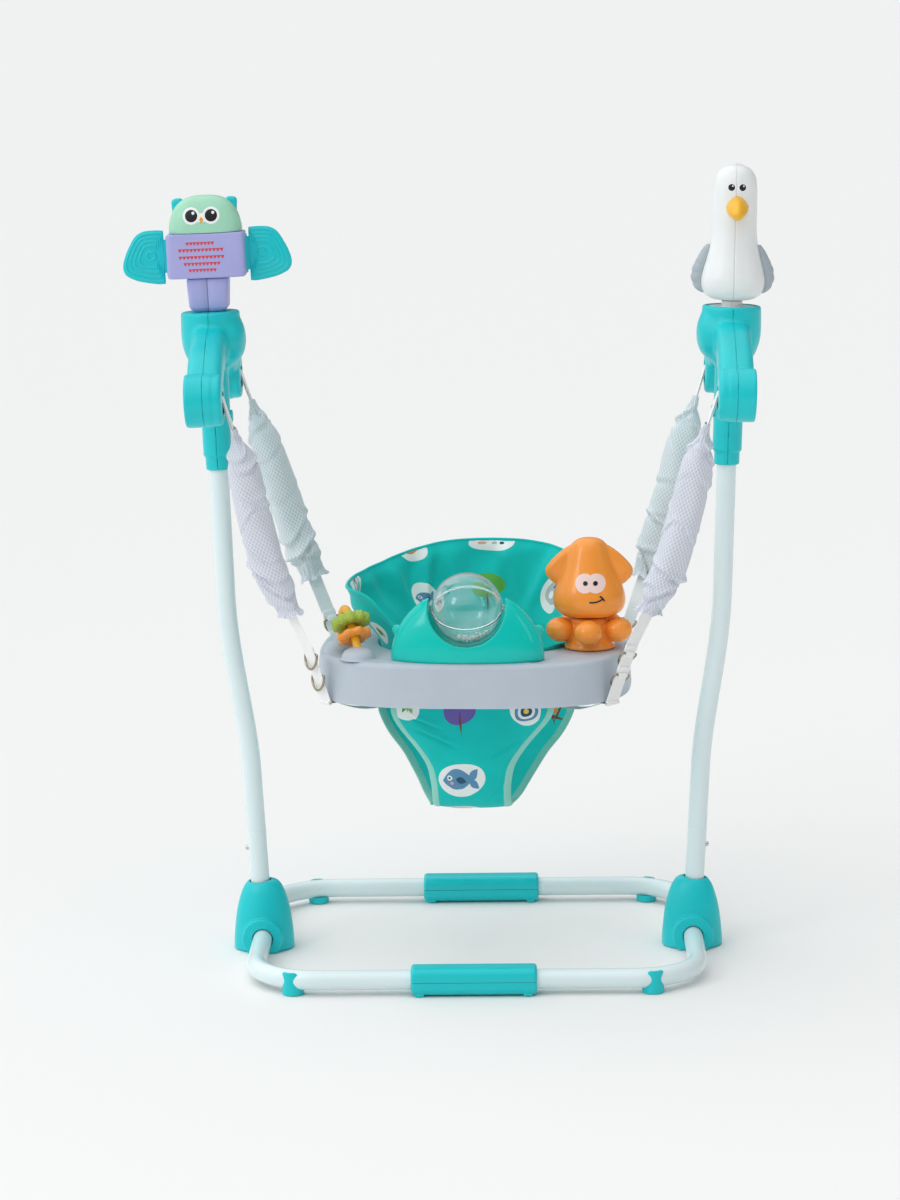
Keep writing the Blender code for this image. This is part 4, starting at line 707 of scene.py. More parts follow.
def shroud(side, word):
    """A turned bullet, squashed front to back, joined with a lying drum; less a smaller bullet, the tube
    and post."""
    x, (height, half, flat, wall) = STAND_X + side * BASE_HALF_X, SHROUD_SIZES
    curve = smooth_curve(SHROUD_OUTLINE, 60)
    curve[:, 0] = np.clip(curve[:, 0], 0, 1)
    curve[0, 0] = 0
    skin = np.concatenate([curve * [half, height], [(half * 0.999, 0.0), (0.0, 0.0)]])
    bullet = piece("fine_base_shroud_" + word, [shell(moved(turned(skin, 96, flat), (x, 0, 0)))], TEAL)
    drum = [(x, t, BASE_Z) for t in (-0.040, 0.040)]
    combine(bullet, round_bar(drum, 0.030, 96, (0, 0, 1), 0.0012), "UNION")
    hollow = np.concatenate([curve * [half - wall, height - wall], [(half - wall, -0.02), (0.0, -0.02)]])
    combine(bullet, moved(turned(hollow, 64, flat), (x, 0, 0)))
    channel = [(x, t, BASE_Z) for t in (-0.08, 0.08)]
    combine(bullet, round_bar(channel, TUBE_R + 0.0012, 64, (0, 0, 1)))
    combine(bullet, round_bar(post_line(side, 0.05, 0.13, 4), TUBE_R + 0.0022, 64))
    combine(bullet, moved(round_block((0.08, 0.08, 0.03), 60, 60, 8, 32), (x, 0, -0.0295)))
    return fused(bullet, 0.0014, 3)


for side, word in SIDES:
    cover = use(shroud(side, word), "stand", "base_shroud_" + word)
    print("shroud", word, "has", len(cover.data.polygons), "faces")

# %% [markdown]
# ## Towers
# Each tower is a teal housing of two moulded halves: a cup for the toy on top, two arms that droop to the
# front and the rear and end in strap discs, and a column that takes the post. All of it flows together, so
# the forms are made one by one, covered with one voxel skin, and smoothed until the creases between them are
# fillets. The slots for the straps, the button's hole and the gull's recess are cut after that, and the
# parting line is drawn last.

# %% Tower housings
TOWER_TOP = 0.230
DISC_Y, DISC_Z, DISC_R, DISC_HALF = 0.172, 0.120, 0.0375, 0.0265
ARM_ROOT_Z, ARM_HALF_X = 0.184, 0.0252
TOWER_BUTTON_Z, TOWER_BUTTON_R, COLUMN_R = 0.077, 0.0088, 0.0212
CUP_PROFILE = ((0.0, 0.230), (0.030, 0.230), (0.0392, 0.2298), (0.0416, 0.2284), (0.0423, 0.2255),
               (0.0428, 0.216), (0.0432, 0.206), (0.0432, 0.196), (0.0426, 0.186), (0.0408, 0.176),
               (0.0372, 0.165), (0.0325, 0.156), (0.0240, 0.147), (0.0, 0.140))


def tower_frame(side):
    """The turn and the place of a tower's own frame: it leans outwards and stands on the collar's lower
    end."""
    return about("Y", side * TOWER_LEAN), np.array([STAND_X + side * TOWER_X, 0.0, TOWER_Z])


def in_tower(grid, side):
    turn, place = tower_frame(side)
    return moved(np.asarray(grid), place, turn)


def middle_groove(obj, side, width, depth):
    """A parting line in the tower's own middle plane."""
    turn, place = tower_frame(side)
    groove(obj, place, turn @ [1, 0, 0], width, depth)


def arm_grid():
    """A rounded section carried along both arms. Each arm's axis is a quadratic curve from the root over a
    knee to the disc, (1 - t)^2 root + 2 t (1 - t) knee + t^2 end, and its depth goes from 58 mm to 45 mm.
    Smoothing takes two millimetres off each side of it again."""
    t = np.concatenate([-np.linspace(1, 0, 30)[:-1], np.linspace(0, 1, 30)])
    share = np.abs(t)
    y = 2 * share * (1 - share) * 0.62 * DISC_Y + share ** 2 * DISC_Y
    z = ((1 - share) ** 2 + 2 * share * (1 - share)) * ARM_ROOT_Z + share ** 2 * DISC_Z
    path = coords(0, np.sign(t) * y, z)
    half = 0.0290 + (0.0225 - 0.0290) * share
    section = ellipse(1.0, 1.0, 64, 4.0) * coords(half, ARM_HALF_X)[:, None]
    return capped(carried(path, section, (1, 0, 0)))


def tower(side, word):
    """First the flowing forms, with wide fillets, then the crisp ones: the cup's rim, the drums and the
    column."""
    inner = -side
    cup = turned(profile_of(CUP_PROFILE, 120))
    angle = np.linspace(-math.pi / 2, math.pi / 2, 40)
    cheek = turned(coords(np.cos(angle), np.sin(angle))) * [0.0222, 0.038, 0.0380]
    column = [(0.0, 0.020), (0.0198, 0.020), (0.0208, 0.0204), (COLUMN_R, 0.0216), (COLUMN_R, 0.10),
              (0.0216, 0.17), (0.0, 0.19)]
    flowing = [cup, arm_grid(), turned(column, 72), cheek + [inner * 0.0278, 0, 0.190]]
    housing = piece("fine_tower_" + word, [shell(in_tower(g, side)) for g in flowing], TEAL)
    fused(housing, 0.0020, 60)
    crisp = [cup * [0.999, 0.999, 1], turned(column, 72)]
    for end in (-1, 1):
        # The outer half of the drum is the larger one, and the inner half has rounder corners
        for where, radius, power in ((side, DISC_R, 18.0), (inner, DISC_R - 0.0012, 9.0)):
            drum = drum_about_x(radius, DISC_HALF * 0.75, power)
            crisp.append(drum + [where * DISC_HALF * 0.25, end * DISC_Y, DISC_Z])
    ring = [(0.0, 0.0), (0.0172, 0.0), (0.0181, 0.0005), (0.0184, 0.0016), (0.0184, 0.024), (0.0, 0.024)]
    crisp.append(turned(ring, 72))
    with_extra(housing, [shell(in_tower(g, side)) for g in crisp])
    fused(housing, 0.0014, 3)
    for end in (-1, 1):
        slot_room = round_block((0.011, 0.0155, 0.0155), 10, 10, 32, 64)
        combine(housing, in_tower(slot_room + [inner * DISC_HALF, end * DISC_Y, DISC_Z - 0.004], side))
    line = in_tower([(inner * 0.012, 0, TOWER_BUTTON_Z), (inner * 0.035, 0, TOWER_BUTTON_Z)], side)
    combine(housing, round_bar(line, TOWER_BUTTON_R + 0.0003))
    if side > 0:
        line = in_tower([(0, 0, TOWER_TOP - 0.0055), (0, 0, TOWER_TOP + 0.02)], side)
        combine(housing, round_bar(line, 0.0370, 96))
    middle_groove(housing, side, 0.0007, 0.0028)
    return housing


for side, word in SIDES:
    housing = use(tower(side, word), "stand", *(f"tower_{k}_shell_{word}" for k in ("outer", "inner")))
    bars = []
    for end in (-1, 1):
        line = [(-side * (DISC_HALF - 0.004), end * DISC_Y + t, DISC_Z) for t in (-0.0175, 0.0175)]
        bars.append(shell(round_bar(in_tower(line, side), 0.003, 32, (0, 0, 1))))
    use(piece("tower_bars_" + word, bars, TEAL), "stand")
    # The release button: a drum with a slightly domed face, 3.6 mm proud of the column
    face, reach = COLUMN_R + 0.0036, TOWER_BUTTON_R
    profile = [(0.0, face - 0.0066), (reach - 0.0002, face - 0.0066), (reach, face - 0.006),
               (reach, face - 0.0012)]
    profile += [(reach * math.cos(a) ** 0.5, face - 0.0012 + 0.0012 * math.sin(a))
                for a in np.linspace(0, 1, 8)[1:-1] * math.pi / 2]
    button = turned(profile + [(0.0, face)], 64)[..., [2, 1, 0]] * [-side, 1, 1] + [0, 0, TOWER_BUTTON_Z]
    use(piece("fine_tower_button_" + word, [shell(in_tower(button, side))], TEAL), "tower_button_" + word,
        "tower_button_" + word)
    print("tower", word, "has", len(housing.data.polygons), "faces")
# %% [markdown]
# ## Prints and small raised marks
# Eyes, beak and the rows of little triangles are pad-printed on the real toys. Here each one is a closed
# flake of colour, 0.2 mm proud of the surface below it, so it follows the form and casts no shadow of its
# own.

# %% Flakes of colour


def flake(outline, surface, lift, rows=6):
    """Rings shrink from the outline (x, z) to its middle on the surface's front, y = surface(x, z) - lift,
    and the same again behind it, so the flake is closed."""
    outline = np.asarray(outline, float)
    middle = outline.mean(0)
    flat = middle + np.linspace(0, 1, rows)[:, None, None] * (outline - middle)
    x, z = flat[..., 0], flat[..., 1]
    return np.concatenate([coords(x, surface(x, z) - lift, z), coords(x, surface(x, z) + 0.0005, z)[::-1]])


def round_mark(surface, lift, rows, x, z, radius, columns=40):
    return flake(ellipse(radius, radius, columns) + [x, z], surface, lift, rows)


# %% [markdown]
# ## The owl
# A mint head, a lilac body with five rows of red triangles, teal ears and two flapping wings stand on a lilac
# stem. The body and the stem are rounded blocks. The head is a superellipse whose width falls with height,
# first slowly and then fast. Each wing is a flat D with four raised lines round a small ring, worked out in
# polar form: the height of the face depends only on how far a point is from the ring towards the outline.

# %% Owl
PLAY = 0.0006
OWL_Z = TOWER_TOP + 0.0003
OWL_LOW = OWL_Z + 0.0485 + PLAY
BODY_HALF = (0.056, 0.031, 0.0320)
HEAD_HALF_X, HEAD_HALF_Y, HEAD_H = 0.0525, 0.0300, 0.0530
HEAD_Z = OWL_LOW + 2 * BODY_HALF[2] + PLAY
# (share of the height, share of the width)
HEAD_WIDTH = smooth_curve([(0.0, 0.985), (0.06, 1.0), (0.30, 0.965), (0.52, 0.895), (0.70, 0.80),
                           (0.84, 0.655), (0.93, 0.48), (0.98, 0.28), (1.0, 0.0)], 200)
WING_OUTLINE = [(0.0, -0.50), (0.0, -0.2), (0.0, 0.15), (0.0, 0.455), (0.07, 0.49), (0.30, 0.495),
                (0.50, 0.475), (0.68, 0.39), (0.84, 0.19), (0.95, 0.0), (1.0, -0.15), (0.985, -0.27),
                (0.90, -0.36), (0.68, -0.445), (0.42, -0.495), (0.16, -0.525), (0.03, -0.52)]
WING_SIZE, WING_MIDDLE = (0.060, 0.076), np.array([0.0245, 0.0015])
# Height, left end, right end and number of the triangles of each row
TRIANGLE_ROWS = ((0.0515, -0.0272, 0.0138, 8), (0.0421, -0.0385, 0.0268, 12), (0.0318, -0.0382, 0.0275, 12),
                 (0.0224, -0.0315, 0.0215, 10), (0.0133, -0.0248, 0.0155, 8))


def body_front(x, z):
    """y of the body's front face: -b (1 - |x / a|^12)^(1/12)."""
    return -BODY_HALF[1] * (1 - np.abs(x / BODY_HALF[0]) ** 12) ** (1 / 12)


def head_share(z):
    """The head's width at a height, as a share of its full width."""
    return np.interp(z / HEAD_H, HEAD_WIDTH[:, 0], HEAD_WIDTH[:, 1])


def head_front(x, z):
    share = head_share(z)
    return -HEAD_HALF_Y * share * (1 - np.abs(x / (HEAD_HALF_X * share)) ** 3.2) ** (1 / 3.2)


def on_owl(grid, lift=OWL_LOW):
    return shell(in_tower(grid + [0, 0, lift], -1))


def owl_stem_grid():
    """A rounded block that is 61 by 48 mm above, and narrows over its lowest 13 mm."""
    block = round_block((0.0302, 0.024, 0.02425), 7, 20, 60, 96) + [0, 0, 0.02425]
    share = 0.72 + 0.28 * np.sin(np.clip(block[..., 2] / 0.013, 0, 1) * math.pi / 2)
    return block * coords(share, share, 1)


def wing_grid(side):
    """Points middle + s (outline - middle) for s from 0 to 1. The face stands 2.1 mm from the middle
    plane, plus 1.2 mm on each ridge; ridges fade towards the straight inner edge."""
    ring = smooth_curve(WING_OUTLINE, 160, closed=True) * WING_SIZE + [0.006, 0]
    share = np.concatenate([[0.0], np.linspace(0.04, 0.94, 72), [0.965, 0.985, 1.0]])[:, None]
    flat = WING_MIDDLE + share[..., None] * (ring - WING_MIDDLE)
    away = np.linalg.norm(flat - WING_MIDDLE, axis=-1)
    fade = np.clip((unit(ring - WING_MIDDLE)[:, 0] + 0.80) / 0.25, 0, 1)
    face = 0.0021 + 0.0012 * np.exp(-((away - 0.0062) / 0.0011) ** 2)
    for place in (0.42, 0.58, 0.74, 0.89):
        face += 0.0012 * np.exp(-((share - place) / 0.030) ** 2) * fade * (away > 0.0085)
    face[-3:] *= np.array([1.0, 0.82, 0.35])[:, None]
    front = coords(side * flat[..., 0], -face, flat[..., 1])
    return np.concatenate([front, front[::-1] * [1, -1, 1]])


def triangle_rows():
    """Rows of small triangles that hang from a thin bar, as (x, z) outlines on the body."""
    for z, left, right, count in TRIANGLE_ROWS:
        step = (right - left) / count
        half = step * 0.47
        yield [(left, z), (left, z + 0.0007), (right, z + 0.0007), (right, z)]
        for k in range(count):
            x = left + step * (k + 0.5)
            yield [(x - half, z), (x + half, z), (x + half * 0.40, z - 0.0032), (x, z - 0.0041),
                   (x - half * 0.40, z - 0.0032)]


stem = piece("fine_owl_stem", [on_owl(owl_stem_grid(), OWL_Z)], LILAC)
middle_groove(stem, -1, 0.0005, 0.0018)
use(stem, "stand", "owl_stem")
body_block = round_block(BODY_HALF, 12, 26, 64, 160) + [0, 0, BODY_HALF[2]]
use(piece("fine_owl_body", [on_owl(body_block)], LILAC), "owl", "owl_body")
prints = [on_owl(flake(outline, body_front, 0.0002, 3)) for outline in triangle_rows()]
use(piece("owl_triangle_print", prints, PRINT_RED), "owl")

heights = np.concatenate([[0.0, 0.0], np.linspace(0, 0.9, 40) * HEAD_H, HEAD_H * np.linspace(0.9, 1, 24)[1:]])
share = np.concatenate([[0.0, 0.97], head_share(heights[2:])])
head = share[:, None, None] * ellipse(HEAD_HALF_X, HEAD_HALF_Y, 128, 3.2)
head = coords(head[..., 0], head[..., 1], heights[:, None])
use(piece("fine_owl_head", [on_owl(head, HEAD_Z)], MINT), "owl", "owl_head")
ears = []
for side in (-1, 1):
    ear = round_block((0.0088, 0.0075, 0.0130), 3.2, 3.4, 32, 48) @ about("Y", side * 0.10).T
    ears.append(on_owl(ear + [side * 0.0380, 0.003, 0.0362], HEAD_Z))
use(piece("owl_ears", ears, TEAL), "owl")

EYES_X = (-0.0172, 0.0112)
bridge = flake([(-0.010, 0.0160), (0.004, 0.0160), (0.004, 0.0285), (-0.010, 0.0285)], head_front, 0.00012)
whites = [round_mark(head_front, 0.00015, 8, x, 0.0248, 0.0122) for x in EYES_X]
blacks = [round_mark(head_front, 0.0003, 8, x, 0.0248, 0.0088) for x in EYES_X]
lights = [round_mark(head_front, 0.00045, 3, x + 0.0028, 0.0288, 0.0021) for x in EYES_X]
for name, mat, grids in (("white", PRINT_WHITE, whites + [bridge]), ("black", PRINT_BLACK, blacks),
                         ("light", PRINT_WHITE, lights)):
    use(piece("owl_eyes_" + name, [on_owl(g, HEAD_Z) for g in grids], mat), "owl")
beak = flake([(-0.003, 0.0138), (0.0001, 0.0190), (-0.003, 0.0236), (-0.0061, 0.0190)], head_front, 0.0006, 4)
use(piece("owl_beak_print", [on_owl(beak, HEAD_Z)], PRINT_AMBER), "owl")

for side, word in SIDES:
    hinge = [side * (BODY_HALF[0] - PLAY), 0, BODY_HALF[2]]
    rod = round_bar([(0, 0, z) for z in np.linspace(-0.027, 0.027, 4)], 0.0032, 24)
    web = round_block((0.0050, 0.0017, 0.024), 8, 8, 16, 32) + [side * 0.0045, 0, 0]
    grids = [on_owl(g + hinge) for g in (wing_grid(side), rod, web)]
    use(piece("fine_owl_wing_" + word, grids, TEAL), "owl_wing_" + word, "owl_wing_" + word)
print("owl: body 112 mm wide, head", HEAD_H * 1000, "mm high,", len(prints), "printed marks")

# %% [markdown]
# ## The gull
# A white body turned from one long curve and flattened a little front to back, with a parting line down its
# middle, a row of small curls on its crown, two printed eyes, a blunt yellow beak and grey wings folded
# against its sides. The wings are the body's own curve again, pushed outwards by an amount that depends on
# the height and the side, and their outer edges have soft scallops. It turns on a white collar in the cup.

# %% Gull
GULL_FLAT = 0.90
GULL_CURVE = ((0.0, 0.1930), (0.0120, 0.1917), (0.0215, 0.1868), (0.0280, 0.1775), (0.0308, 0.1640),
              (0.0315, 0.148), (0.0319, 0.125), (0.0323, 0.102), (0.0342, 0.083), (0.0390, 0.062),
              (0.0442, 0.044), (0.0470, 0.029), (0.0446, 0.0150), (0.0362, 0.0055), (0.0220, 0.0008),
              (0.0, 0.0))
GULL_WIDTH = smooth_curve(GULL_CURVE, 400)[::-1]
PLATE_Z = TOWER_TOP - 0.0055 + 0.0003
PLATE_CURVE = ((0.0, -0.0002), (0.0359, -0.0002), (0.0365, 0.0004), (0.0365, 0.0028), (0.0357, 0.0035),
               (0.0158, 0.0035), (0.0151, 0.0042), (0.0150, 0.0112), (0.0142, 0.0120), (0.0080, 0.0120),
               (0.0080, 0.0215), (0.0, 0.0220))
GULL_Z = PLATE_Z + 0.0120 + PLAY
BEAK_CURVE = ((0.0, 0.0350), (0.0040, 0.0338), (0.0080, 0.0290), (0.0122, 0.0190), (0.0150, 0.0090),
              (0.0156, 0.0030), (0.0150, -0.004), (0.0, -0.006))
BEAK_AT, BEAK_TURN = [0.0018, -0.0245, 0.1332 + GULL_Z], about("X", math.radians(106))


def gull_radius(z):
    return np.interp(z, GULL_WIDTH[:, 1], GULL_WIDTH[:, 0])


def gull_front(x, z):
    return -GULL_FLAT * np.sqrt(np.maximum(gull_radius(z) ** 2 - x ** 2, 0))


def gull_wing_grid():
    """Rows are angles from one front edge round the back to the other, columns the closed section of the
    wing there: out over the height and back along the body. The outer skin stands out by g = 13 mm * sin
    of both shares."""
    angle = np.radians(np.linspace(-14, 194, 90))[:, None]
    share = np.linspace(0, 1, 50)
    back, beside = np.maximum(np.sin(angle), 0), np.abs(np.cos(angle))
    low = 0.011 + 0.006 * back
    z = low + (0.084 - 0.004 * beside - 0.008 * back - low) * share
    scallop = 0.0013 * np.abs(np.sin(share * math.pi * 5)) * np.clip((0.72 - share) / 0.1, 0, 1)
    edge = np.clip(np.minimum(angle - angle[0], angle[-1] - angle) / 0.30, 0, 1)
    swell = np.sin(edge * math.pi / 2) ** 0.6
    stand = 0.0128 * np.sin(math.pi * np.clip(share * 0.96 + 0.02, 0, 1)) ** 0.50 * swell
    stand = stand * (0.78 + 0.22 * beside) + scallop * beside + 0.0004
    r = np.concatenate([gull_radius(z) + stand, gull_radius(z[:, ::-1]) + 0.0003], 1)
    grid = coords(r * np.cos(angle), GULL_FLAT * r * np.sin(angle), np.concatenate([z, z[:, ::-1]], 1))
    first, last = ((row + row[::-1]) / 2 for row in (grid[0], grid[-1]))
    return np.concatenate([[first], grid, [last]])


def on_gull(grid, lift=GULL_Z):
    return shell(in_tower(grid + [0, 0, lift], 1))


grids = [turned(profile_of(GULL_CURVE, 150), 128, GULL_FLAT)]
for x, r in ((-0.0075, 0.0024), (-0.0040, 0.0031), (0.0002, 0.0036), (0.0042, 0.0029), (0.0072, 0.0022)):
    grids.append(round_block((r, r * 1.5, r), 2.0, 2.0, 16, 24) + [x, -0.001, 0.1930 - 8 * x * x])
gull = piece("fine_gull_body", [on_gull(g) for g in grids], WHITE)
middle_groove(gull, 1, 0.0005, 0.0012)
use(gull, "gull", "gull_body")
use(piece("fine_gull_wings", [on_gull(gull_wing_grid())], WING_GREY), "gull", "gull_wings")

radius, height = profile_of(BEAK_CURVE, 60).T[..., None]
section = ellipse(1.0, 1.06, 96, 1.6)
beak = moved(coords(radius * section[:, 0], radius * section[:, 1], height), BEAK_AT, BEAK_TURN)
beak = piece("fine_gull_beak", [shell(in_tower(beak, 1))], YELLOW)
groove(beak, in_tower(BEAK_AT, 1), tower_frame(1)[0] @ BEAK_TURN @ [0, 1, 0], 0.0005, 0.0014)
use(beak, "gull", "gull_beak")

EYES_X = (-0.0072, 0.0086)
whites = [round_mark(gull_front, 0.00015, 6, x, 0.1622, 0.0058) for x in EYES_X]
blacks = [round_mark(gull_front, 0.0003, 6, x, 0.1622, 0.0048) for x in EYES_X]
lights = [round_mark(gull_front, 0.00045, 3, x + 0.0016, 0.1643, 0.0011, 20) for x in EYES_X]
for name, mat, grids in (("white", PRINT_WHITE, whites), ("black", PRINT_BLACK, blacks),
                         ("light", PRINT_WHITE, lights)):
    use(piece("gull_eyes_" + name, [on_gull(g) for g in grids], mat), "gull")
use(piece("fine_gull_plate", [on_gull(turned(PLATE_CURVE), PLATE_Z)], WHITE), "stand", "gull_plate")
print("gull: 193 mm tall")

# %% [markdown]
# ## The tray
# The tray is one polypropylene moulding: a rounded plan, walls with a little draft, a soft upper edge, a hole
# for the seat, two hollow domes that carry the bead toy, and a shallow round mark in its top. One section
# goes round it, up the outer wall, over the top and down the wall of the hole, and only the plan at each
# height changes. The same skin 3 mm further in, run backwards, closes it.

# %% Tray
SEAT_TURN = math.radians(-3.4)
TRAY_TOP, TRAY_LOW = 0.4580, 0.3965
TRAY_COLUMNS = 256
TRAY_HALF = np.array([0.228, 0.190])
HOLE_HALF, HOLE_AT = np.array([0.140, 0.125]), np.array([0.0, 0.025])
DOMES = ((-0.157, -0.132), (-0.189, -0.072))
DOME_R, DOME_HIGH = 0.024, 0.0170
MARK_AT, MARK_R = (0.106, -0.148), 0.0190


def in_seat(grid):
    """From the seat's own frame, which stands on the floor and is turned with the hanging seat."""
    return moved(np.asarray(grid), (STAND_X, 0.0, 0.0), about("Z", SEAT_TURN))


def tray_skin(wall):
    """Rows of (x, y) = plan * (half size - inset). The outer plan is a superellipse of power 3 and the
    hole's is one of power 2.5, and the top is the straight blend from the one to the other."""
    outer, hole = ellipse(1, 1, TRAY_COLUMNS, 3.0), ellipse(1, 1, TRAY_COLUMNS, 2.5)
    top, edge, lip = TRAY_TOP - wall, 0.0080, 0.0050
    bend = np.linspace(0, math.pi / 2, 12)[1:, None]
    wall_rows = np.linspace(0, 1, 12)[:, None]
    up_wall = np.hstack([0.0050 * wall_rows - 0.0005, TRAY_LOW + (top - edge - TRAY_LOW) * wall_rows])
    up_edge = np.hstack([0.0045 + edge * (1 - np.cos(bend)), top - edge + edge * np.sin(bend)])
    outside = np.vstack([up_wall, up_edge])
    rows = [coords(*(outer * (TRAY_HALF - wall - inset)).T, z) for inset, z in outside]
    rim = coords(*(hole * (HOLE_HALF + lip + wall) + HOLE_AT).T, top)
    rows += [rows[-1] + (rim - rows[-1]) * share for share in np.linspace(0, 1, 48)[1:]]
    down = np.vstack([np.hstack([lip * (1 - np.sin(bend)), top - lip + lip * np.cos(bend)]),
                      [[0, top - lip - (top - lip - TRAY_LOW) * s] for s in np.linspace(0.2, 1, 5)]])
    rows += [coords(*(hole * (HOLE_HALF + wall + out) + HOLE_AT).T, z) for out, z in down]
    grid = np.stack(rows)
    away = np.hypot(grid[..., 0] - MARK_AT[0], grid[..., 1] - MARK_AT[1])
    sunk = 0.0004 - 0.0004 * np.tanh((away - MARK_R) / 0.0010)
    grid[..., 2] -= np.where(grid[..., 2] > top - 1e-6, sunk, 0)
    return grid


bend = np.linspace(0, math.pi / 2, 20)
dome = turned([(DOME_R + 0.0030, -0.0006), (DOME_R + 0.0016, 0.0001), (DOME_R + 0.0006, 0.0010)]
              + [(DOME_R * math.cos(b), 0.0010 + (DOME_HIGH - 0.0010) * math.sin(b) ** 0.95)
                 for b in bend[1:]], 72)
shells = [shell(in_seat(np.concatenate([tray_skin(0.0), tray_skin(0.003)[::-1]])), wrap_rows=True)]
shells += [shell(in_seat(dome + [x, y, TRAY_TOP])) for x, y in DOMES]
tray = use(piece("tray_moulding", shells, TRAY_GREY, smooth=50), "seat", "tray_shell")

low_rows = tray_skin(0.0036)[[0, -1]]
share = np.linspace(0, 1, 24)[:, None, None]
floor = low_rows[0] + (low_rows[1] - low_rows[0]) * share
rib = 0.0008 * np.exp(-((share - 0.5) / 0.10) ** 2)
under, over = floor + [0, 0, 0.0005] + rib * [0, 0, 1], floor + [0, 0, 0.0030]
floor_plate = piece("tray_floor_plate", [shell(in_seat(np.concatenate([under, over[::-1]])), wrap_rows=True)],
                    TRAY_GREY)
use(floor_plate, "seat", "tray_bottom")
print("tray:", len(tray.data.polygons), "faces,", round(TRAY_TOP - TRAY_LOW, 4), "m high")

# %% [markdown]
# ## The cradle of the ball
# Two horns with a deep hollow between them, in polished turquoise. It is half of an ellipsoid with a second
# ellipsoid taken out of it. A fine voxel skin and a few rounds of smoothing turn the sharp edge of the hollow
# into the soft lip that catches the light, and a small rounded lug sticks out at each end.

# %% Cradle
BALL_R, BALL_FLANGE = 0.0505, 0.0012
BALL_AT = np.array([0.0, -0.1395, TRAY_TOP + 0.0003 + 0.0740])
CRADLE_HALF = (0.110, 0.038, 0.104)
BITE = (0.0558, 0.080, 0.0558)
BALL_TILT = math.radians(28)

body = round_block(CRADLE_HALF, 2.0, 2.0, 160, 220)
body[..., 2] = np.where(body[..., 2] < 0, body[..., 2] * 0.03, body[..., 2])
cradle = piece("ball_cradle_polished", [shell(in_seat(body + [0, BALL_AT[1], TRAY_TOP]))], GLOSS_TURQUOISE)
combine(cradle, in_seat(round_block(BITE, 2.0, 2.0, 80, 120) + BALL_AT))
lug = round_block((0.0075, 0.0065, 0.0080), 2.6, 2.6, 24, 32)
with_extra(cradle, [shell(in_seat(lug + [side * 0.1010, BALL_AT[1] + 0.010, TRAY_TOP + 0.041]))
                    for side in (-1, 1)])
fused(cradle, 0.0014, 34)
use(cradle, "seat", "ball_cradle")
print("cradle:", len(cradle.data.polygons), "faces")

# %% [markdown]
# ## The clear ball
# Two halves of clear polystyrene, 1.8 mm thick, meet in a flat flange that leans 28 degrees towards the
# front, with a few pearl beads loose inside. Each half is a turned profile that goes out along the inside and
# back along the outside, so the wall has two faces and bends light as a thin shell does.

# %% Ball and its beads
CLEAR = new_material("clear_polystyrene", "clear_plastic", Base_Color=linear("#FBFFFF"), Roughness=0.02,
                     IOR=1.32, Coat_Weight=0.6, Coat_Roughness=0.03)
# Seen edge-on, less of the wall lets light through and it turns white: a painted reflection on the ball's rim
painted_rim_reflection_mask = add_node(CLEAR, "LayerWeight", {"Blend": 0.35}, "Facing")
feed(CLEAR, Transmission_Weight=add_node(CLEAR, "MapRange", {"Value": painted_rim_reflection_mask, "From Min": 0.25,
                                                             "To Min": 0.985, "To Max": 0.62}))
PEARL = coated("pearl_bead", "white_plastic", "#F2F4EF", 0.28, pale=0.0, grain_depth=0.0, Coat_Weight=0.5,
               Coat_Roughness=0.1)


def half_ball(upper):
    """(r, z): the inside arc from the pole to the rim, the flange, and the outside arc back to the pole."""
    rim, wall = 0.00015, 0.0018
    bend = np.linspace(math.pi / 2, 0, 40)
    inside, outside = (np.array([r * np.cos(bend), (r - rim) * np.sin(bend) + rim]).T
                       for r in (BALL_R - wall, BALL_R))
    reach = BALL_R + BALL_FLANGE - (0.0012 if upper else 0.0)
    keep = outside[::-1][outside[::-1, 1] > 0.0022]
    flange = [(reach - 0.0002, rim), (reach, rim + 0.0002), (reach, rim + 0.0013),
              (reach - 0.0003, rim + 0.0016), (BALL_R + 0.0004, rim + 0.0017)]
    grid = turned(np.concatenate([inside, [(BALL_R - wall + 0.0004, rim)], flange, keep]), 128)
    return grid if upper else grid * [1, 1, -1]


def in_ball(grid):
    return in_seat(moved(grid, BALL_AT, about("X", BALL_TILT)))


for word, upper in (("upper", True), ("lower", False)):
    shells = [shell(in_ball(half_ball(upper)))]
    if not upper:
        pin = turned([(0, 0), (0.0038, 0), (0.0042, 0.0004), (0.0042, 0.0068), (0.0036, 0.0076), (0, 0.0076)],
                     32)
        shells += [shell(in_ball(moved(pin, (side * 0.0516, 0, 0), about("Y", side * math.pi / 2))))
                   for side in (-1, 1)]
    half = piece("clear_half_" + word, shells, CLEAR, smooth=50)
    use(half, "ball", "ball_" + word)

count = 15
golden = math.pi * (3 - math.sqrt(5))
bead = round_block((0.0034, 0.0034, 0.0034), 2, 2, 12, 16)
shells = []
for k in range(count):
    # Beads on a sunflower spiral fill a dish at the bottom of the ball, 45 mm from its middle
    tilt, turn = 0.155 * math.sqrt(k + 0.3), golden * k
    down = np.array([math.sin(tilt) * math.cos(turn) + 0.22, math.sin(tilt) * math.sin(turn) - 0.30,
                     -math.cos(tilt)])
    shells.append(shell(in_seat(bead + BALL_AT + down / np.linalg.norm(down) * (BALL_R - 0.0018 - 0.0036))))
use(piece("loose_beads", shells, PEARL), "ball")
print("ball:", 2 * BALL_R, "m across, with", count, "beads")

# %% [markdown]
# ## The squid
# A polished orange head that turns on a foot with five round arms. The head is a turned profile, flattened
# from front to rear, with a pair of fins whose outline is a flat plate with round edges. Head and fins are
# covered by one skin, and so are the foot's waist and its round arms. The parting line runs round the head
# from side to side, and the face is printed on.

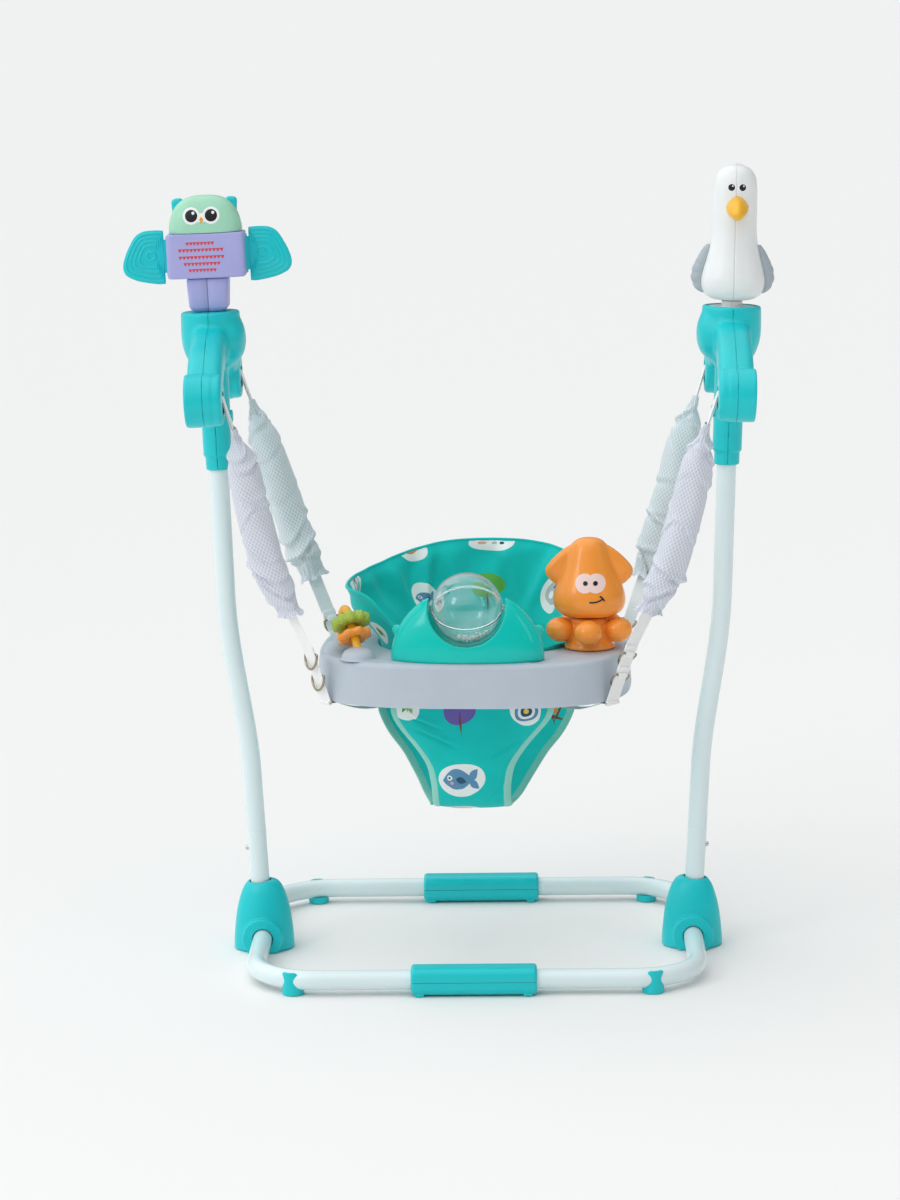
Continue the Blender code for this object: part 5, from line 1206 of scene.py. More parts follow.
# %% Squid
SQUID_AT = np.array([0.170, -0.045, TRAY_TOP + 0.0003])
SQUID_FLAT = 0.84
HEAD_LOW = 0.046
HEAD_CURVE = ((0.0, 0.1150), (0.0090, 0.1144), (0.0165, 0.1122), (0.0228, 0.1078), (0.0270, 0.1010),
              (0.0303, 0.0920), (0.0334, 0.0825), (0.0368, 0.0725), (0.0405, 0.0630), (0.0446, 0.0530),
              (0.0484, 0.0435), (0.0511, 0.0345), (0.0523, 0.0250), (0.0512, 0.0165), (0.0475, 0.0093),
              (0.0405, 0.0040), (0.0325, 0.0012), (0.0, 0.0008))
HEAD_RADII = smooth_curve(HEAD_CURVE, 400)[::-1]
FIN = ((0.008, 0.1030), (0.018, 0.1060), (0.0295, 0.1025), (0.0435, 0.0925), (0.0560, 0.0800),
       (0.0632, 0.0690), (0.0618, 0.0600), (0.0560, 0.0530), (0.0500, 0.0480), (0.038, 0.0450),
       (0.020, 0.0450), (0.008, 0.0600))


def in_squid(grid, lift=0.0):
    return in_seat(np.asarray(grid) + SQUID_AT + [0, 0, lift])


def head_radius(z):
    return np.interp(z, HEAD_RADII[:, 1], HEAD_RADII[:, 0])


def squid_front(x, z):
    """y of the head's front: -0.84 sqrt(r(z)^2 - x^2)."""
    return -SQUID_FLAT * np.sqrt(np.maximum(head_radius(z) ** 2 - x ** 2, 1e-8))


def fin_grid(side):
    """Rings from the outline to the middle, whose half thickness is 10 mm * (1 - s^3)^(1/3)."""
    ring = smooth_curve(FIN, 120, closed=True) * [side, 1]
    middle = np.array([side * 0.028, 0.075])
    share = np.sin(np.linspace(0, math.pi / 2, 24))
    half = 0.0100 * (1 - share ** 3) ** (1 / 3)
    flat = middle + share[:, None, None] * (ring - middle)
    front = coords(flat[..., 0], -half[:, None], flat[..., 1])
    return np.concatenate([front, front[::-1] * [1, -1, 1]])


shells = [shell(in_squid(turned(profile_of(HEAD_CURVE, 160), 128, SQUID_FLAT), HEAD_LOW))]
shells += [shell(in_squid(fin_grid(side), HEAD_LOW)) for side in (-1, 1)]
head = fused(piece("squid_head_polished", shells, GLOSS_ORANGE), 0.0015, 11)
groove(head, in_squid([0, 0, 0]), about("Z", SEAT_TURN) @ [0, 1, 0], 0.0004, 0.0007)
use(head, "squid", "squid_head")

waist = profile_of([(0.0, 0.0455), (0.0225, 0.0455), (0.0262, 0.0438), (0.0278, 0.0390), (0.0288, 0.0300),
                    (0.0298, 0.0200), (0.0330, 0.0120), (0.0346, 0.0095), (0.0350, 0.0070), (0.0350, 0.0005),
                    (0.0, 0.0)], 120)
shells = [shell(in_squid(turned(waist)))]
arm = round_block((0.0205, 0.0205, 0.0180), 2.0, 2.0, 36, 48)
for angle in full_turn(5) - math.pi / 2:
    shells.append(shell(in_squid(arm + [0.044 * math.cos(angle), 0.0396 * math.sin(angle), 0.0285])))
squid_foot = fused(piece("squid_foot_polished", shells, GLOSS_ORANGE), 0.0014, 8)
use(squid_foot, "seat", "squid_base")

eyes = [round_mark(squid_front, 0.0003, 6, x, 0.0535, 0.0137) for x in (-0.0050, 0.0112)]
face = [round_mark(squid_front, 0.0006, 6, x, 0.0537, 0.0034, 24) for x in (-0.0040, 0.0104)]
t = np.linspace(0, 1, 24)
smile = coords(0.0018 + 0.0196 * t, 0.0270 - 0.0012 * t + 0.0062 * t ** 2.6)
tick = coords(0.0165 + 0.0068 * t, 0.0352 - 0.0066 * t ** 1.8)
for line, half in ((smile, 0.00105), (tick, 0.00095)):
    aside = unit(np.gradient(line, axis=0))[:, ::-1] * [-1, 1] * half
    x, z = np.moveaxis(np.stack([line + aside, line - aside], 1), -1, 0)
    front = coords(x, squid_front(x, z) - 0.0008, z)
    strip = np.concatenate([front, (front + [0, 0.0014, 0])[:, ::-1]], 1)
    first, last = (np.broadcast_to(strip[k].mean(0), strip[k].shape) for k in (0, -1))
    face.append(np.concatenate([[first], strip, [last]]))
for name, grids, mat in (("eye", eyes, PRINT_ROSE), ("face", face, PRINT_BLACK)):
    shells = [shell(in_squid(g, HEAD_LOW)) for g in grids]
    use(piece(f"squid_{name}_print", shells, mat), "squid")
print("squid head:", len(head.data.polygons), "faces")

# %% [markdown]
# ## The bead toy
# A yellow wire arch stands on the two domes and carries a knobbly green ring and a scalloped orange one. A
# ring is a rounded section carried round a circle. Its radius swells with the cosine of the angle for the
# large lumps, and a second, finer pattern of bumps covers the green one.

# %% Bead toy
ARCH_R = 0.0058
ARCH_FRONT, ARCH_REAR = (np.array([*at, TRAY_TOP + 0.012]) for at in DOMES)
ARCH_PEAK = ARCH_FRONT + (ARCH_REAR - ARCH_FRONT) * 0.80 + [0, 0, 0.072]


def ring_place(grid, share):
    """From a frame on the arch's front leg: its Z runs along the leg from the dome to the peak."""
    along = unit(ARCH_PEAK - ARCH_FRONT)
    aside = unit(np.cross([0, 0, 1], along))
    turn = coords(aside, np.cross(along, aside), along)
    return in_seat(moved(grid, ARCH_FRONT + (ARCH_PEAK - ARCH_FRONT) * share, turn))


def lumpy_ring(radius, thick, lumps, depth, fine, fine_depth):
    """A closed section with half width (radius - hole) / 2 and half height thick / 2. The outer side of
    the section goes out and in with the large lumps, and a product of cosines along and across it makes
    the fine bumps."""
    hole = ARCH_R + 0.0006
    t, u = full_turn(180)[:, None], full_turn(56)
    c, s = bulge(u, 2.6)
    swell = 1 - depth + depth * np.cos(lumps * t)
    bumps = fine_depth * np.cos(fine * t + 1.7 * np.round(2 * u)) * np.cos(6 * u)
    middle, half = (radius + hole) / 2, (radius - hole) / 2
    lump = (c > 0) * c * radius * (swell - 1)
    r = middle + half * c * np.where(c > 0, 1, 0.98) + lump + bumps * np.clip(c + 0.4, 0, 1)
    z = thick / 2 * s * (1 + 0.10 * np.cos(lumps * t) * (c > -0.2)) * 0.97 + bumps * np.sign(s) * 0.6
    return coords(r * np.cos(t), r * np.sin(t), z)


path = rounded_path([ARCH_FRONT - [0, 0, 0.0005], ARCH_PEAK, ARCH_REAR - [0, 0, 0.0005]], 0.014, 20, 0.004)
arch = piece("bead_arch_bar", [shell(in_seat(capped(carried(path, ellipse(ARCH_R, ARCH_R, 40), (1, 0, 0)))))],
             YELLOW)
use(arch, "seat", "bead_arch")
RINGS = (("knobbly", "green", LIME, 0.50, (0.0290, 0.0150, 10, 0.05, 30, 0.0007)),
         ("scalloped", "orange", GLOSS_ORANGE, 0.25, (0.0260, 0.0090, 8, 0.06, 24, 0.0003)))
for name, colour, mat, share, sizes in RINGS:
    ring = shell(ring_place(lumpy_ring(*sizes), share), wrap_rows=True)
    use(piece("bead_ring_" + name, [ring], mat), colour + "_ring", "bead_ring_" + colour)
print("bead toy: two rings on one arch")

# %% [markdown]
# ## Webbing, lattice cloth and bright rings
# The straps are 25 mm polypropylene webbing. Its weave is a fine herringbone, drawn here at 2.4 mm so that it
# shows. The covers are thin printed cotton: a white lattice of 4.5 mm diamonds on lavender grey in front and
# on mint grey at the rear. Both patterns run along the cloth, so they read the piece's own UV map, which is
# in metres.

# %% Cloth materials
WEB_WIDTH, WEB_THICK, HALF_RIB = 0.025, 0.0015, 0.0012


def wave_scale(spacing):
    """A wave texture repeats every 2 pi / (20 scale)."""
    return 2 * math.pi / (20 * spacing)


def webbing(name, colour):
    """Diagonal ribs that change direction at the middle of the width: v + |u - middle| goes into a wave. The
    low parts of the ribs are painted darker, as shade.
    """
    mat = new_material(name, "white_webbing", Roughness=0.78, Specular_IOR_Level=0.25, Sheen_Weight=0.15)
    place = add_node(mat, "UVMap", uv_map="flat")
    u, v = add_node(mat, "SeparateXYZ", {0: place}).node.outputs[:2]
    fold = add_node(mat, "Math", {0: u, 1: WEB_WIDTH / 2}, operation="PINGPONG")
    slant = add_node(mat, "Math", {0: fold, 1: v}, operation="ADD")
    rib = add_node(mat, "Math", {0: slant, 1: HALF_RIB}, operation="PINGPONG")
    height = add_node(mat, "MapRange", {"Value": rib, "From Max": HALF_RIB}, interpolation_type="SMOOTHSTEP")
    # Painted shade: the webbing's colour is 12 % darker where the ribs are low
    tone = add_node(mat, "Mix", {"Factor": height, 6: linear(colour, 0.88), 7: linear(colour)}, 2,
                    data_type="RGBA")
    bump = add_node(mat, "Bump", {"Height": height, "Strength": 0.7, "Distance": 0.0003})
    feed(mat, Base_Color=tone, Normal=bump)
    return mat


def lattice(name, ground, line):
    """Diamonds: two sets of diagonal lines, each the ping-pong of u +- v over half a cell, kept where it
    is near 0."""
    mat = new_material(name, "lattice_fabric", Roughness=0.85, Specular_IOR_Level=0.2, Sheen_Weight=0.2)
    cell, thin = 0.0062, 0.00042
    place = add_node(mat, "UVMap", uv_map="flat")
    u, v = add_node(mat, "SeparateXYZ", {0: place}).node.outputs[:2]
    tall = add_node(mat, "Math", {0: v, 1: 0.80}, operation="MULTIPLY")
    marks = []
    for sign in ("ADD", "SUBTRACT"):
        run = add_node(mat, "Math", {0: u, 1: tall}, operation=sign)
        near = add_node(mat, "Math", {0: run, 1: cell / 2}, operation="PINGPONG")
        marks.append(add_node(mat, "MapRange", {"Value": near, "From Min": thin, "From Max": thin * 1.9,
                                                "To Min": 1.0, "To Max": 0.0},
                              interpolation_type="SMOOTHSTEP"))
    drawn = add_node(mat, "Math", {0: marks[0], 1: marks[1]}, operation="MAXIMUM")
    cloud = add_node(mat, "TexNoise", {"Vector": add_node(mat, "TexCoord", out="Object"), "Scale": 1 / 0.03})
    dyed = add_node(mat, "Mix", {"Factor": cloud, 6: linear(ground, 0.92), 7: linear(ground, 1.05)}, 2,
                    data_type="RGBA")
    tone = add_node(mat, "Mix", {"Factor": drawn, 6: dyed, 7: linear(line)}, 2, data_type="RGBA")
    # Two crossed sets of threads, and their product as a bump
    warp, weft = (add_node(mat, "TexWave", {"Vector": place, "Scale": wave_scale(0.0009)}, "Fac",
                           wave_type="BANDS", bands_direction=axis) for axis in ("X", "Y"))
    both = add_node(mat, "Math", {0: warp, 1: weft}, operation="MULTIPLY")
    bump = add_node(mat, "Bump", {"Height": both, "Strength": 0.6, "Distance": 0.0001})
    feed(mat, Base_Color=tone, Normal=bump)
    return mat


WEB_WHITE = webbing("white_polypropylene_webbing", "#FFFFFF")
WEB_MINT = webbing("mint_polypropylene_webbing", "#CFEAE3")
LATTICE_LAVENDER = lattice("lavender_lattice_cotton", "#CBD0DD", "#E9ECF3")
LATTICE_MINT = lattice("mint_lattice_cotton", "#C8D6DB", "#E9F0F2")
print("cloth: two webbings and two lattice cottons")

# %% [markdown]
# ## The spring straps
# A strap runs from the bar in a tower's disc to a hook under the tray's edge. Its line and its two width
# directions, along the bar above and along the tray's edge below, come from the same few sizes as in the CAD
# model. The upper part rides with the strap's first body and the lower part with its second, which slides on
# it when the seat bounces. The spring and the cover reach from one to the other, and they ride on neither
# body.

# %% Strap lines
BAR_R = 0.0030
BAR_IN_TOWER = (0.0225, 0.172, 0.120)
SPRING_FROM, SPRING_TO = 0.066, 0.290
COVER_FROM, COVER_TO = 0.044, 0.326
STRAP_BOW = smooth_curve([(0.0, 0.0), (COVER_FROM, 0.0), (0.12, 0.0070), (0.185, 0.0130), (0.245, 0.0150),
                          (0.290, 0.0120), (COVER_TO, 0.0075), (0.365, 0.0025), (0.405, 0.0), (0.60, 0.0)],
                         200)
HOOKS = {-1: (0.2053, 0.1337), 1: (0.2020, 0.1372)}


def strap_line(side, end):
    """start = bar + beside (bar radius + room + half the webbing), with beside square to the bar and to
    the strap."""
    turn, place = tower_frame(side)
    bar = place + turn @ np.array([-side * BAR_IN_TOWER[0], end * BAR_IN_TOWER[1], BAR_IN_TOWER[2]])
    x, y = HOOKS[end]
    hook = in_seat([side * x, end * y, TRAY_LOW])
    across = turn @ [0, 1, 0]
    beside = unit(np.cross(across, hook - bar))
    beside = beside * (-1 if beside[0] * side > 0 else 1)
    start = bar + beside * (BAR_R + 0.0006 + WEB_THICK / 2)
    outward = about("Z", SEAT_TURN) @ [side * 0.75, end * 0.66, 0]
    return bar, hook, start, unit(hook - start), across, outward


def bowed(side, end, axis, along):
    """How far the loaded strap bows away from the seat at a distance from the bar: front 15 mm, rear 4 mm."""
    away = unit(np.array([side, 0, 0]) - axis * (side * axis[0]))
    return away * (np.interp(along, STRAP_BOW[:, 0], STRAP_BOW[:, 1]) * (1.0 if end < 0 else 0.27))[..., None]


def strap_turn(axis, across):
    """The matrix whose Z runs up the strap and whose X is the webbing's width direction."""
    z = -axis
    x = unit(across - z * (across @ z))
    return coords(x, np.cross(z, x), z)


def ribbon(path, width, thick, up):
    """A flat section, y = thick / 2 * (1 - x^10)^(1/2) on both sides, carried along a path."""
    x = np.linspace(-1, 1, 17)
    y = thick / 2 * np.sqrt(1 - np.abs(x) ** 10)
    half = coords(x * width / 2, y)[:-1]
    return capped(carried(path, np.concatenate([half, -half]), up), 0.0004)


def d_ring_grid():
    """A round wire carried along a D: a straight bar of 2 (radius - corner), and a bow that hangs from it."""
    radius, wire, corner = 0.0145, 0.0018, 0.0030
    bow = np.linspace(0, math.pi, 40)
    line = np.concatenate([coords(radius * np.cos(bow), -0.0025 - radius * np.sin(bow) * 1.30),
                           [(-radius + 0.0004, -0.0010), (-radius + corner, 0.0)],
                           coords(np.linspace(-radius + corner, radius - corner, 12)[1:-1], np.zeros(10)),
                           [(radius - corner, 0.0), (radius - 0.0004, -0.0010)]])
    closed = smooth_curve(line, 120, closed=True)
    return looped(coords(closed[:, 0], 0, closed[:, 1]), ellipse(wire, wire, 14), (0, 1, 0))


def spring_grid(turn, start):
    """A wire along a helix, with a short straight shank at each end."""
    top, low, turns = -(SPRING_FROM + 0.008), -(SPRING_TO - 0.008), 44
    t = np.linspace(0, 1, turns * 14)
    fade = np.clip(np.minimum(t, 1 - t) * turns * 1.5, 0, 1)
    angle, radius = 2 * math.pi * turns * t, 0.0105 * fade
    coil = coords(radius * np.cos(angle), radius * np.sin(angle), top + (low - top) * t)
    path = np.concatenate([[(0.002, 0, -SPRING_FROM)], coil, [(0.002, 0, -SPRING_TO)]])
    return moved(capped(carried(path, ellipse(0.0011, 0.0011, 6), (0, 0, 1)), 0.0002), start, turn)


print("straps:", {(s, e): round(float(np.linalg.norm(strap_line(s, e)[1] - strap_line(s, e)[2])), 4)
                  for s, _ in SIDES for e, _ in ENDS})

# %% [markdown]
# ## The gathered covers
# A cover is a tube of thin cotton, cut 162 mm round and 330 mm long, that is gathered over the spring and
# tied at both ends. Its skin is a flattened tube that narrows to a neck above and flares into a hem below.
# Folds come from three sources: long creases that wind round it, where the cloth above hangs over the cloth
# below, a puckered frill at the neck, and fine gathers at the two ties.

# %% Covers
COVER_HALVES = ((0.000, 0.0128, 0.0042), (0.030, 0.0118, 0.0048), (0.070, 0.0128, 0.0076),
                (0.105, 0.0175, 0.0135), (0.135, 0.0205, 0.0180), (0.165, 0.0210, 0.0190),
                (0.205, 0.0240, 0.0222), (0.300, 0.0252, 0.0238), (0.480, 0.0256, 0.0242),
                (0.650, 0.0256, 0.0242), (0.800, 0.0256, 0.0232), (0.880, 0.0246, 0.0205),
                (0.935, 0.0215, 0.0150), (0.975, 0.0215, 0.0125), (1.000, 0.0255, 0.0155))
COVER_CREASES = np.array([0.095, 0.175, 0.33, 0.50, 0.63, 0.745, 0.835, 0.915])
COVER_FLAT = (0.162, 0.330)
CLOTH_THICK = 0.0009


def spun(x, y, angle, z):
    """The point (x, y) turned by an angle, at the height z."""
    return coords(x * np.cos(angle) - y * np.sin(angle), x * np.sin(angle) + y * np.cos(angle), z)


def cover_grid(side, end):
    """Half sizes from the table, minus each crease: depth * exp(-s^2) below a line that winds round the
    tube, plus a bulge of 0.7 depth * exp(-((s + 1.7) / 1.2)^2) above it, with s the distance from the line
    over its width."""
    _, _, start, axis, across, outward = strap_line(side, end)
    upper, lower = strap_turn(axis, across), strap_turn(axis, np.cross(outward, axis))
    local = upper.T @ lower
    twist = math.atan2(local[1, 0], local[0, 0])
    twist -= math.copysign(math.pi, twist) if abs(twist) > math.pi / 2 else 0
    v, t = np.linspace(0, 1, 240)[:, None], full_turn(120)
    fine = smooth_curve(COVER_HALVES, 400)
    half_x, half_y = (np.interp(v, fine[:, 0], fine[:, k]) for k in (1, 2))
    random = np.random.default_rng(40 + 2 * (side > 0) + (end > 0))
    folds = 0
    for place in COVER_CREASES + random.uniform(-0.022, 0.022, len(COVER_CREASES)):
        lean, turn = random.uniform(0.035, 0.095) * random.choice([-1, 1]), random.uniform(0, 2 * math.pi)
        width = random.uniform(0.011, 0.019)
        reach = 0.35 + 0.65 * (0.5 + 0.5 * np.cos(t - random.uniform(0, 2 * math.pi))) ** 1.3
        depth = (0.0022 + 0.0016 * random.random()) * (2.1 if place > 0.66 else 1.7 if place < 0.22 else 0.9)
        s = (v - place - lean * np.sin(t - turn) - 0.3 * lean * np.sin(2 * t + turn)) / width
        folds += depth * reach * (0.7 * np.exp(-((s + 1.7) / 1.25) ** 2) - np.exp(-s ** 2))
    waves = 0.0007 * np.sin(3 * t + 9 * v + turn) + 0.0006 * np.sin(5 * t - 14 * v)
    near_tie = np.exp(-((v - 0.045) / 0.045) ** 2) + 0.7 * np.exp(-((v - 0.955) / 0.035) ** 2)
    frill = 0.0016 * np.exp(-((1 - v) / 0.02) ** 2) * np.sin(9 * t)
    gathers = 0.0009 * near_tie * np.sin(17 * t + 3 * np.sin(t)) + frill
    open_part = np.clip(np.minimum(v / 0.07, (1.02 - v) / 0.05), 0, 1)
    off = (folds + waves * np.clip(v / 0.2, 0, 1)) * open_part + gathers
    hem = 0.0022 * np.exp(-((1 - v) / 0.03) ** 2) * np.sin(5 * t + turn)
    along = COVER_FROM + (COVER_TO - COVER_FROM) * v + hem
    x, y = (half_x + off) * np.cos(t), (half_y + off) * np.sin(t)
    spin = twist * along / COVER_TO
    bow = bowed(side, end, axis, along)
    skin = moved(spun(x, y, spin, -along), start, upper) + bow
    core = start + axis * along[..., None] + bow
    inward = core - skin
    length = np.linalg.norm(inward, axis=-1, keepdims=True)
    inner = skin + inward / length * np.minimum(CLOTH_THICK, length * 0.3)
    # Below, the hem turns in to a slot just wider than the webbing
    share = np.linspace(0, 1, 8)[1:, None, None]
    slot_along = COVER_TO - 0.010
    slot = spun(0.0140 * np.cos(t), 0.0032 * np.sin(t), twist * slot_along / COVER_TO, -slot_along)
    slot_at = moved(slot, start, upper) + bowed(side, end, axis, slot_along)
    tuck = inner[-1] + (slot_at - inner[-1]) * share
    return skin, np.concatenate([inner[::8], inner[-1:], tuck])


# Each (distance from the loop's or roll's axis, place across the webbing)
LOOP_PROFILE = ((0.0051, -0.0122), (0.0051, 0.0122), (0.0048, 0.0125), (0.0039, 0.0125), (0.0036, 0.0122),
                (0.0036, -0.0122), (0.0039, -0.0125), (0.0048, -0.0125))
ROLL_PROFILE = ((0.0001, -0.0122), (0.0030, -0.0122), (0.0034, -0.0118), (0.0034, 0.0118), (0.0030, 0.0122),
                (0.0001, 0.0122))
RING_PLACES, RING_TILT = (0.392, 0.425), math.radians(24)


def stretched(obj, tag, node):
    """A piece that reaches from the strap's upper body to its lower one. It stands for a CAD node of the
    strap, which it hides, and rides on neither body.
    """
    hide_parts(f"strap_{node}_{tag}")
    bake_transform(obj)


for side, side_word in SIDES:
    for end, end_word in ENDS:
        tag = end_word + "_" + side_word
        bar, hook, start, axis, across, outward = strap_line(side, end)
        upper_turn, lower_turn = strap_turn(axis, across), strap_turn(axis, np.cross(outward, axis))
        upper_body, lower_body = (f"strap_{tag}_{part}" for part in ("upper", "lower"))

        aside = unit(np.cross(across, [0, 0, 1]))
        loop_turn = coords(aside, unit(np.cross(aside, across)), across)
        loop = shell(moved(turned(LOOP_PROFILE, 48), bar, loop_turn), wrap_rows=True, uv_size=(0.03, 0.025))
        face = upper_turn[:, 1]
        run = start + axis * np.linspace(0, SPRING_FROM, 24)[:, None]
        front_web = ribbon(run, WEB_WIDTH, WEB_THICK, face)
        back_web = ribbon(run[2:] + face * 0.0018 * np.sign((bar - start) @ face), WEB_WIDTH, WEB_THICK, face)
        shells = [loop, shell(front_web, uv_size=(0.05, 0.066)), shell(back_web, uv_size=(0.05, 0.06))]
        top = piece(f"webbing_upper_{tag}", shells, WEB_WHITE, smooth=35)
        use(top, upper_body, f"strap_upper_{tag}")

        length = np.linalg.norm(hook - start)
        # The rings sit on the outer face of the left-hand straps and on the inner face of the right-hand ones
        front = 1 if side * (lower_turn[:, 1] @ outward) > 0 else -1
        run = np.linspace(SPRING_TO, length + 0.002, 60)[:, None]
        line = start + axis * run + bowed(side, end, axis, run[:, 0])
        shells = [shell(ribbon(line, WEB_WIDTH, WEB_THICK, lower_turn[:, 1]), uv_size=(0.05, 0.176))]
        rings = []
        for place in RING_PLACES:
            lift = front * 0.0021
            block = round_block((0.0095, 0.0026, 0.0042), 5, 3.0, 24, 48) + [0, lift, -place]
            seam = round_block((0.0122, 0.0012, 0.0048), 9, 6, 16, 48) + [0, lift * 0.45, -place + 0.0085]
            shells += [shell(moved(g, start, lower_turn), uv_size=(0.02, 0.01)) for g in (block, seam)]
            ring = moved(d_ring_grid(), (0, lift, -place), about("X", -front * RING_TILT))
            rings.append(shell(moved(ring, start, lower_turn), wrap_rows=True))
        inward = -unit(outward)
        aside = unit(np.cross(outward, [0, 0, 1]))
        roll_turn = coords(inward, [0, 0, 1.0], aside)
        roll = moved(turned(ROLL_PROFILE, 32), hook + [0, 0, -0.0019], roll_turn)
        shells.append(shell(roll, uv_size=(0.03, 0.025)))
        low = piece(f"webbing_lower_{tag}", shells, WEB_WHITE, smooth=35)
        use(low, lower_body, f"strap_lower_{tag}")
        plate = round_block((0.0140, 0.0105, 0.0008), 7, 4, 16, 64) + [0, 0.0075, 0]
        plate_turn = coords(aside, inward, [0, 0, -1.0])
        rings.append(shell(moved(plate, hook + [0, 0, -0.0009 - 0.0008], plate_turn)))
        use(piece(f"rings_and_hook_{tag}", rings, NICKEL), lower_body)

        coil = spring_grid(upper_turn, start)
        coil = coil + bowed(side, end, axis, (coil - start) @ axis)
        stretched(piece(f"spring_{tag}", [shell(coil)], BRIGHT_STEEL), tag, "spring")

        skin, inner = cover_grid(side, end)
        cloth = np.concatenate([skin, inner[::-1]])
        tall = len(cloth) * (COVER_TO - COVER_FROM) / len(skin)
        cover = piece(f"cover_{tag}", [shell(cloth, wrap_rows=True, uv_size=(COVER_FLAT[0], tall))],
                      LATTICE_LAVENDER if end < 0 else LATTICE_MINT, smooth=60)
        stretched(cover, tag, "cover")
print("straps: four, each with a cover of", len(cover.data.polygons), "faces")

# %% [markdown]
# ## The cloth of the seat
# The seat is a padded cotton bag in bright teal with a print of white pebbles, bound at the leg openings with
# mint tape. Cotton has a soft, matt face with a faint sheen. The cloth is creased at many scales: a broad
# noise bumps the surface and paints the colour darker in the valleys of its creases as shade, and a finer one
# bumps the surface between the modelled folds.

# %% Seat cloth


def cotton(name, slot, colour, crease=0.0010):
    """Two sizes of creases, 45 mm and 12 mm, a colour that varies by a twelfth with the broad creases and is
    darker in their valleys as painted shade, and a weave drawn at 1.6 mm.
    """
    mat = new_material(name, slot, Specular_IOR_Level=0.25, Sheen_Weight=0.25, Sheen_Roughness=0.4)
    place = add_node(mat, "TexCoord", out="Object")
    broad_crease_and_shade = add_node(mat, "TexNoise", {"Vector": place, "Scale": 1 / 0.045, "Detail": 3.0, "Distortion": 0.6})
    fine = add_node(mat, "TexNoise", {"Vector": place, "Scale": 1 / 0.012, "Detail": 4.0, "Distortion": 0.4})
    # Painted shade: the noise that raises the broad creases also sets the colour, darker where they sink
    dyed = add_node(mat, "Mix", {"Factor": broad_crease_and_shade, 6: linear(colour, 0.90), 7: linear(colour, 1.07)}, 2,
                    data_type="RGBA")
    dull = add_node(mat, "MapRange", {"Value": fine, "To Min": 0.74, "To Max": 0.90})
    threads = add_node(mat, "TexWave", {"Vector": place, "Scale": wave_scale(0.0016)}, "Fac",
                       wave_type="BANDS", bands_direction="DIAGONAL")
    bump = add_node(mat, "Bump", {"Height": threads, "Strength": 0.25, "Distance": 0.0001})
    for height, depth in ((fine, crease * 0.4), (broad_crease_and_shade, crease)):
        bump = add_node(mat, "Bump", {"Height": height, "Strength": 0.5, "Distance": depth, "Normal": bump})
    feed(mat, Base_Color=dyed, Roughness=dull, Normal=bump)
    return mat


SEAT_TEAL = cotton("teal_seat_cotton", "teal_fabric", "#08C6C0")
BIND_MINT = cotton("mint_binding_tape", "mint_plastic", "#93D9CB", 0.0006)
# The rear panel's tape is a darker copy of the same mint tape: painted shade
BIND_MINT_SHADED = cotton("shaded_mint_binding_tape", "mint_plastic", "#7CC9BC", 0.0006)
INKS = {"pebble": "#EEF4F2", "blue": "#5E93B8", "navy": "#2F5875", "orange": "#E8894A", "leaf": "#8CBF45",
        "green": "#5DB04B", "yellow": "#F0CE5A", "plum": "#6A5FA8", "brown": "#7A4A38", "rose": "#E8A79B",
        "ash": "#B9C1C6"}
INKS = {name: cotton("printed_" + name, "teal_fabric", colour, 0.0004) for name, colour in INKS.items()}
print("seat cloth:", len(INKS), "print colours")

# %% [markdown]
# ## The seat
# Above the tray the cloth stands up as a back with two wings and leans outwards. It passes through the tray's
# hole as a skirt, and below the tray it is cut into a front and a rear panel that meet under the child. All
# of it is one sheet: a grid whose rows run from the top edge down to the middle of the crotch. Its columns
# keep their places above the leg openings, and below them they close up between the two edges of each panel.
# The columns of the openings have faces only above.

# %% Seat surface
SEAT_FRONT, LEG_TOP, CROTCH_Z = TRAY_TOP + 0.004, 0.383, 0.2188
SEAT_HALF = HOLE_HALF - 0.0022
PROFILES = {
    "front": np.array([(-0.0975, 0.3830, 0.1190), (-0.0960, 0.3620, 0.1150), (-0.0935, 0.3430, 0.1030),
                       (-0.0905, 0.3160, 0.0805), (-0.0850, 0.2890, 0.0635), (-0.0765, 0.2620, 0.0572),
                       (-0.0665, 0.2400, 0.0558), (-0.0560, 0.2265, 0.0558), (-0.0440, 0.2205, 0.0562),
                       (-0.0280, 0.2190, 0.0572), (-0.0120, 0.2188, 0.0585)]),
    "rear": np.array([(0.1478, 0.3830, 0.1370), (0.1440, 0.3600, 0.1470), (0.1350, 0.3350, 0.1450),
                      (0.1200, 0.3050, 0.1300), (0.1010, 0.2780, 0.1080), (0.0800, 0.2560, 0.0930),
                      (0.0600, 0.2390, 0.0815), (0.0400, 0.2270, 0.0730), (0.0220, 0.2210, 0.0665),
                      (0.0040, 0.2192, 0.0615), (-0.0120, 0.2188, 0.0585)]),
}
PROFILES = {name: smooth_curve(table, 200) for name, table in PROFILES.items()}


def soft_step(x):
    x = np.clip(x, 0, 1)
    return x * x * (3 - 2 * x)


RIM = np.array([(-20, 0.462), (0, 0.464), (6, 0.484), (13, 0.516), (22, 0.537), (35, 0.554), (50, 0.5675),
                (65, 0.576), (80, 0.581), (95, 0.580), (106, 0.576), (118, 0.568), (130, 0.560), (141, 0.552),
                (152, 0.546), (164, 0.5425), (176, 0.541), (188, 0.5405), (200, 0.5395), (209, 0.537),
                (216, 0.530), (222, 0.516), (228, 0.493), (234, 0.473), (241, 0.463), (252, 0.462),
                (270, 0.462), (300, 0.462), (340, 0.462)])
RIM = smooth_curve(RIM, 600)


def rim_height(angle):
    """The top edge by its angle: high round the back, lower at the sides, and down to the tray in front.
    On the side of the bead toy the wing reaches further forward."""
    turn = np.degrees(angle) % 360
    return np.interp(np.where(turn > 340, turn - 360, turn), RIM[:, 0], RIM[:, 1])


def crease(s):
    """A sharp valley with a soft shoulder on one side: exp(-s^2) less 0.6 exp(-((s - 2) / 1.6)^2)."""
    return np.exp(-s ** 2) - 0.6 * np.exp(-((s - 2.0) / 1.6) ** 2)


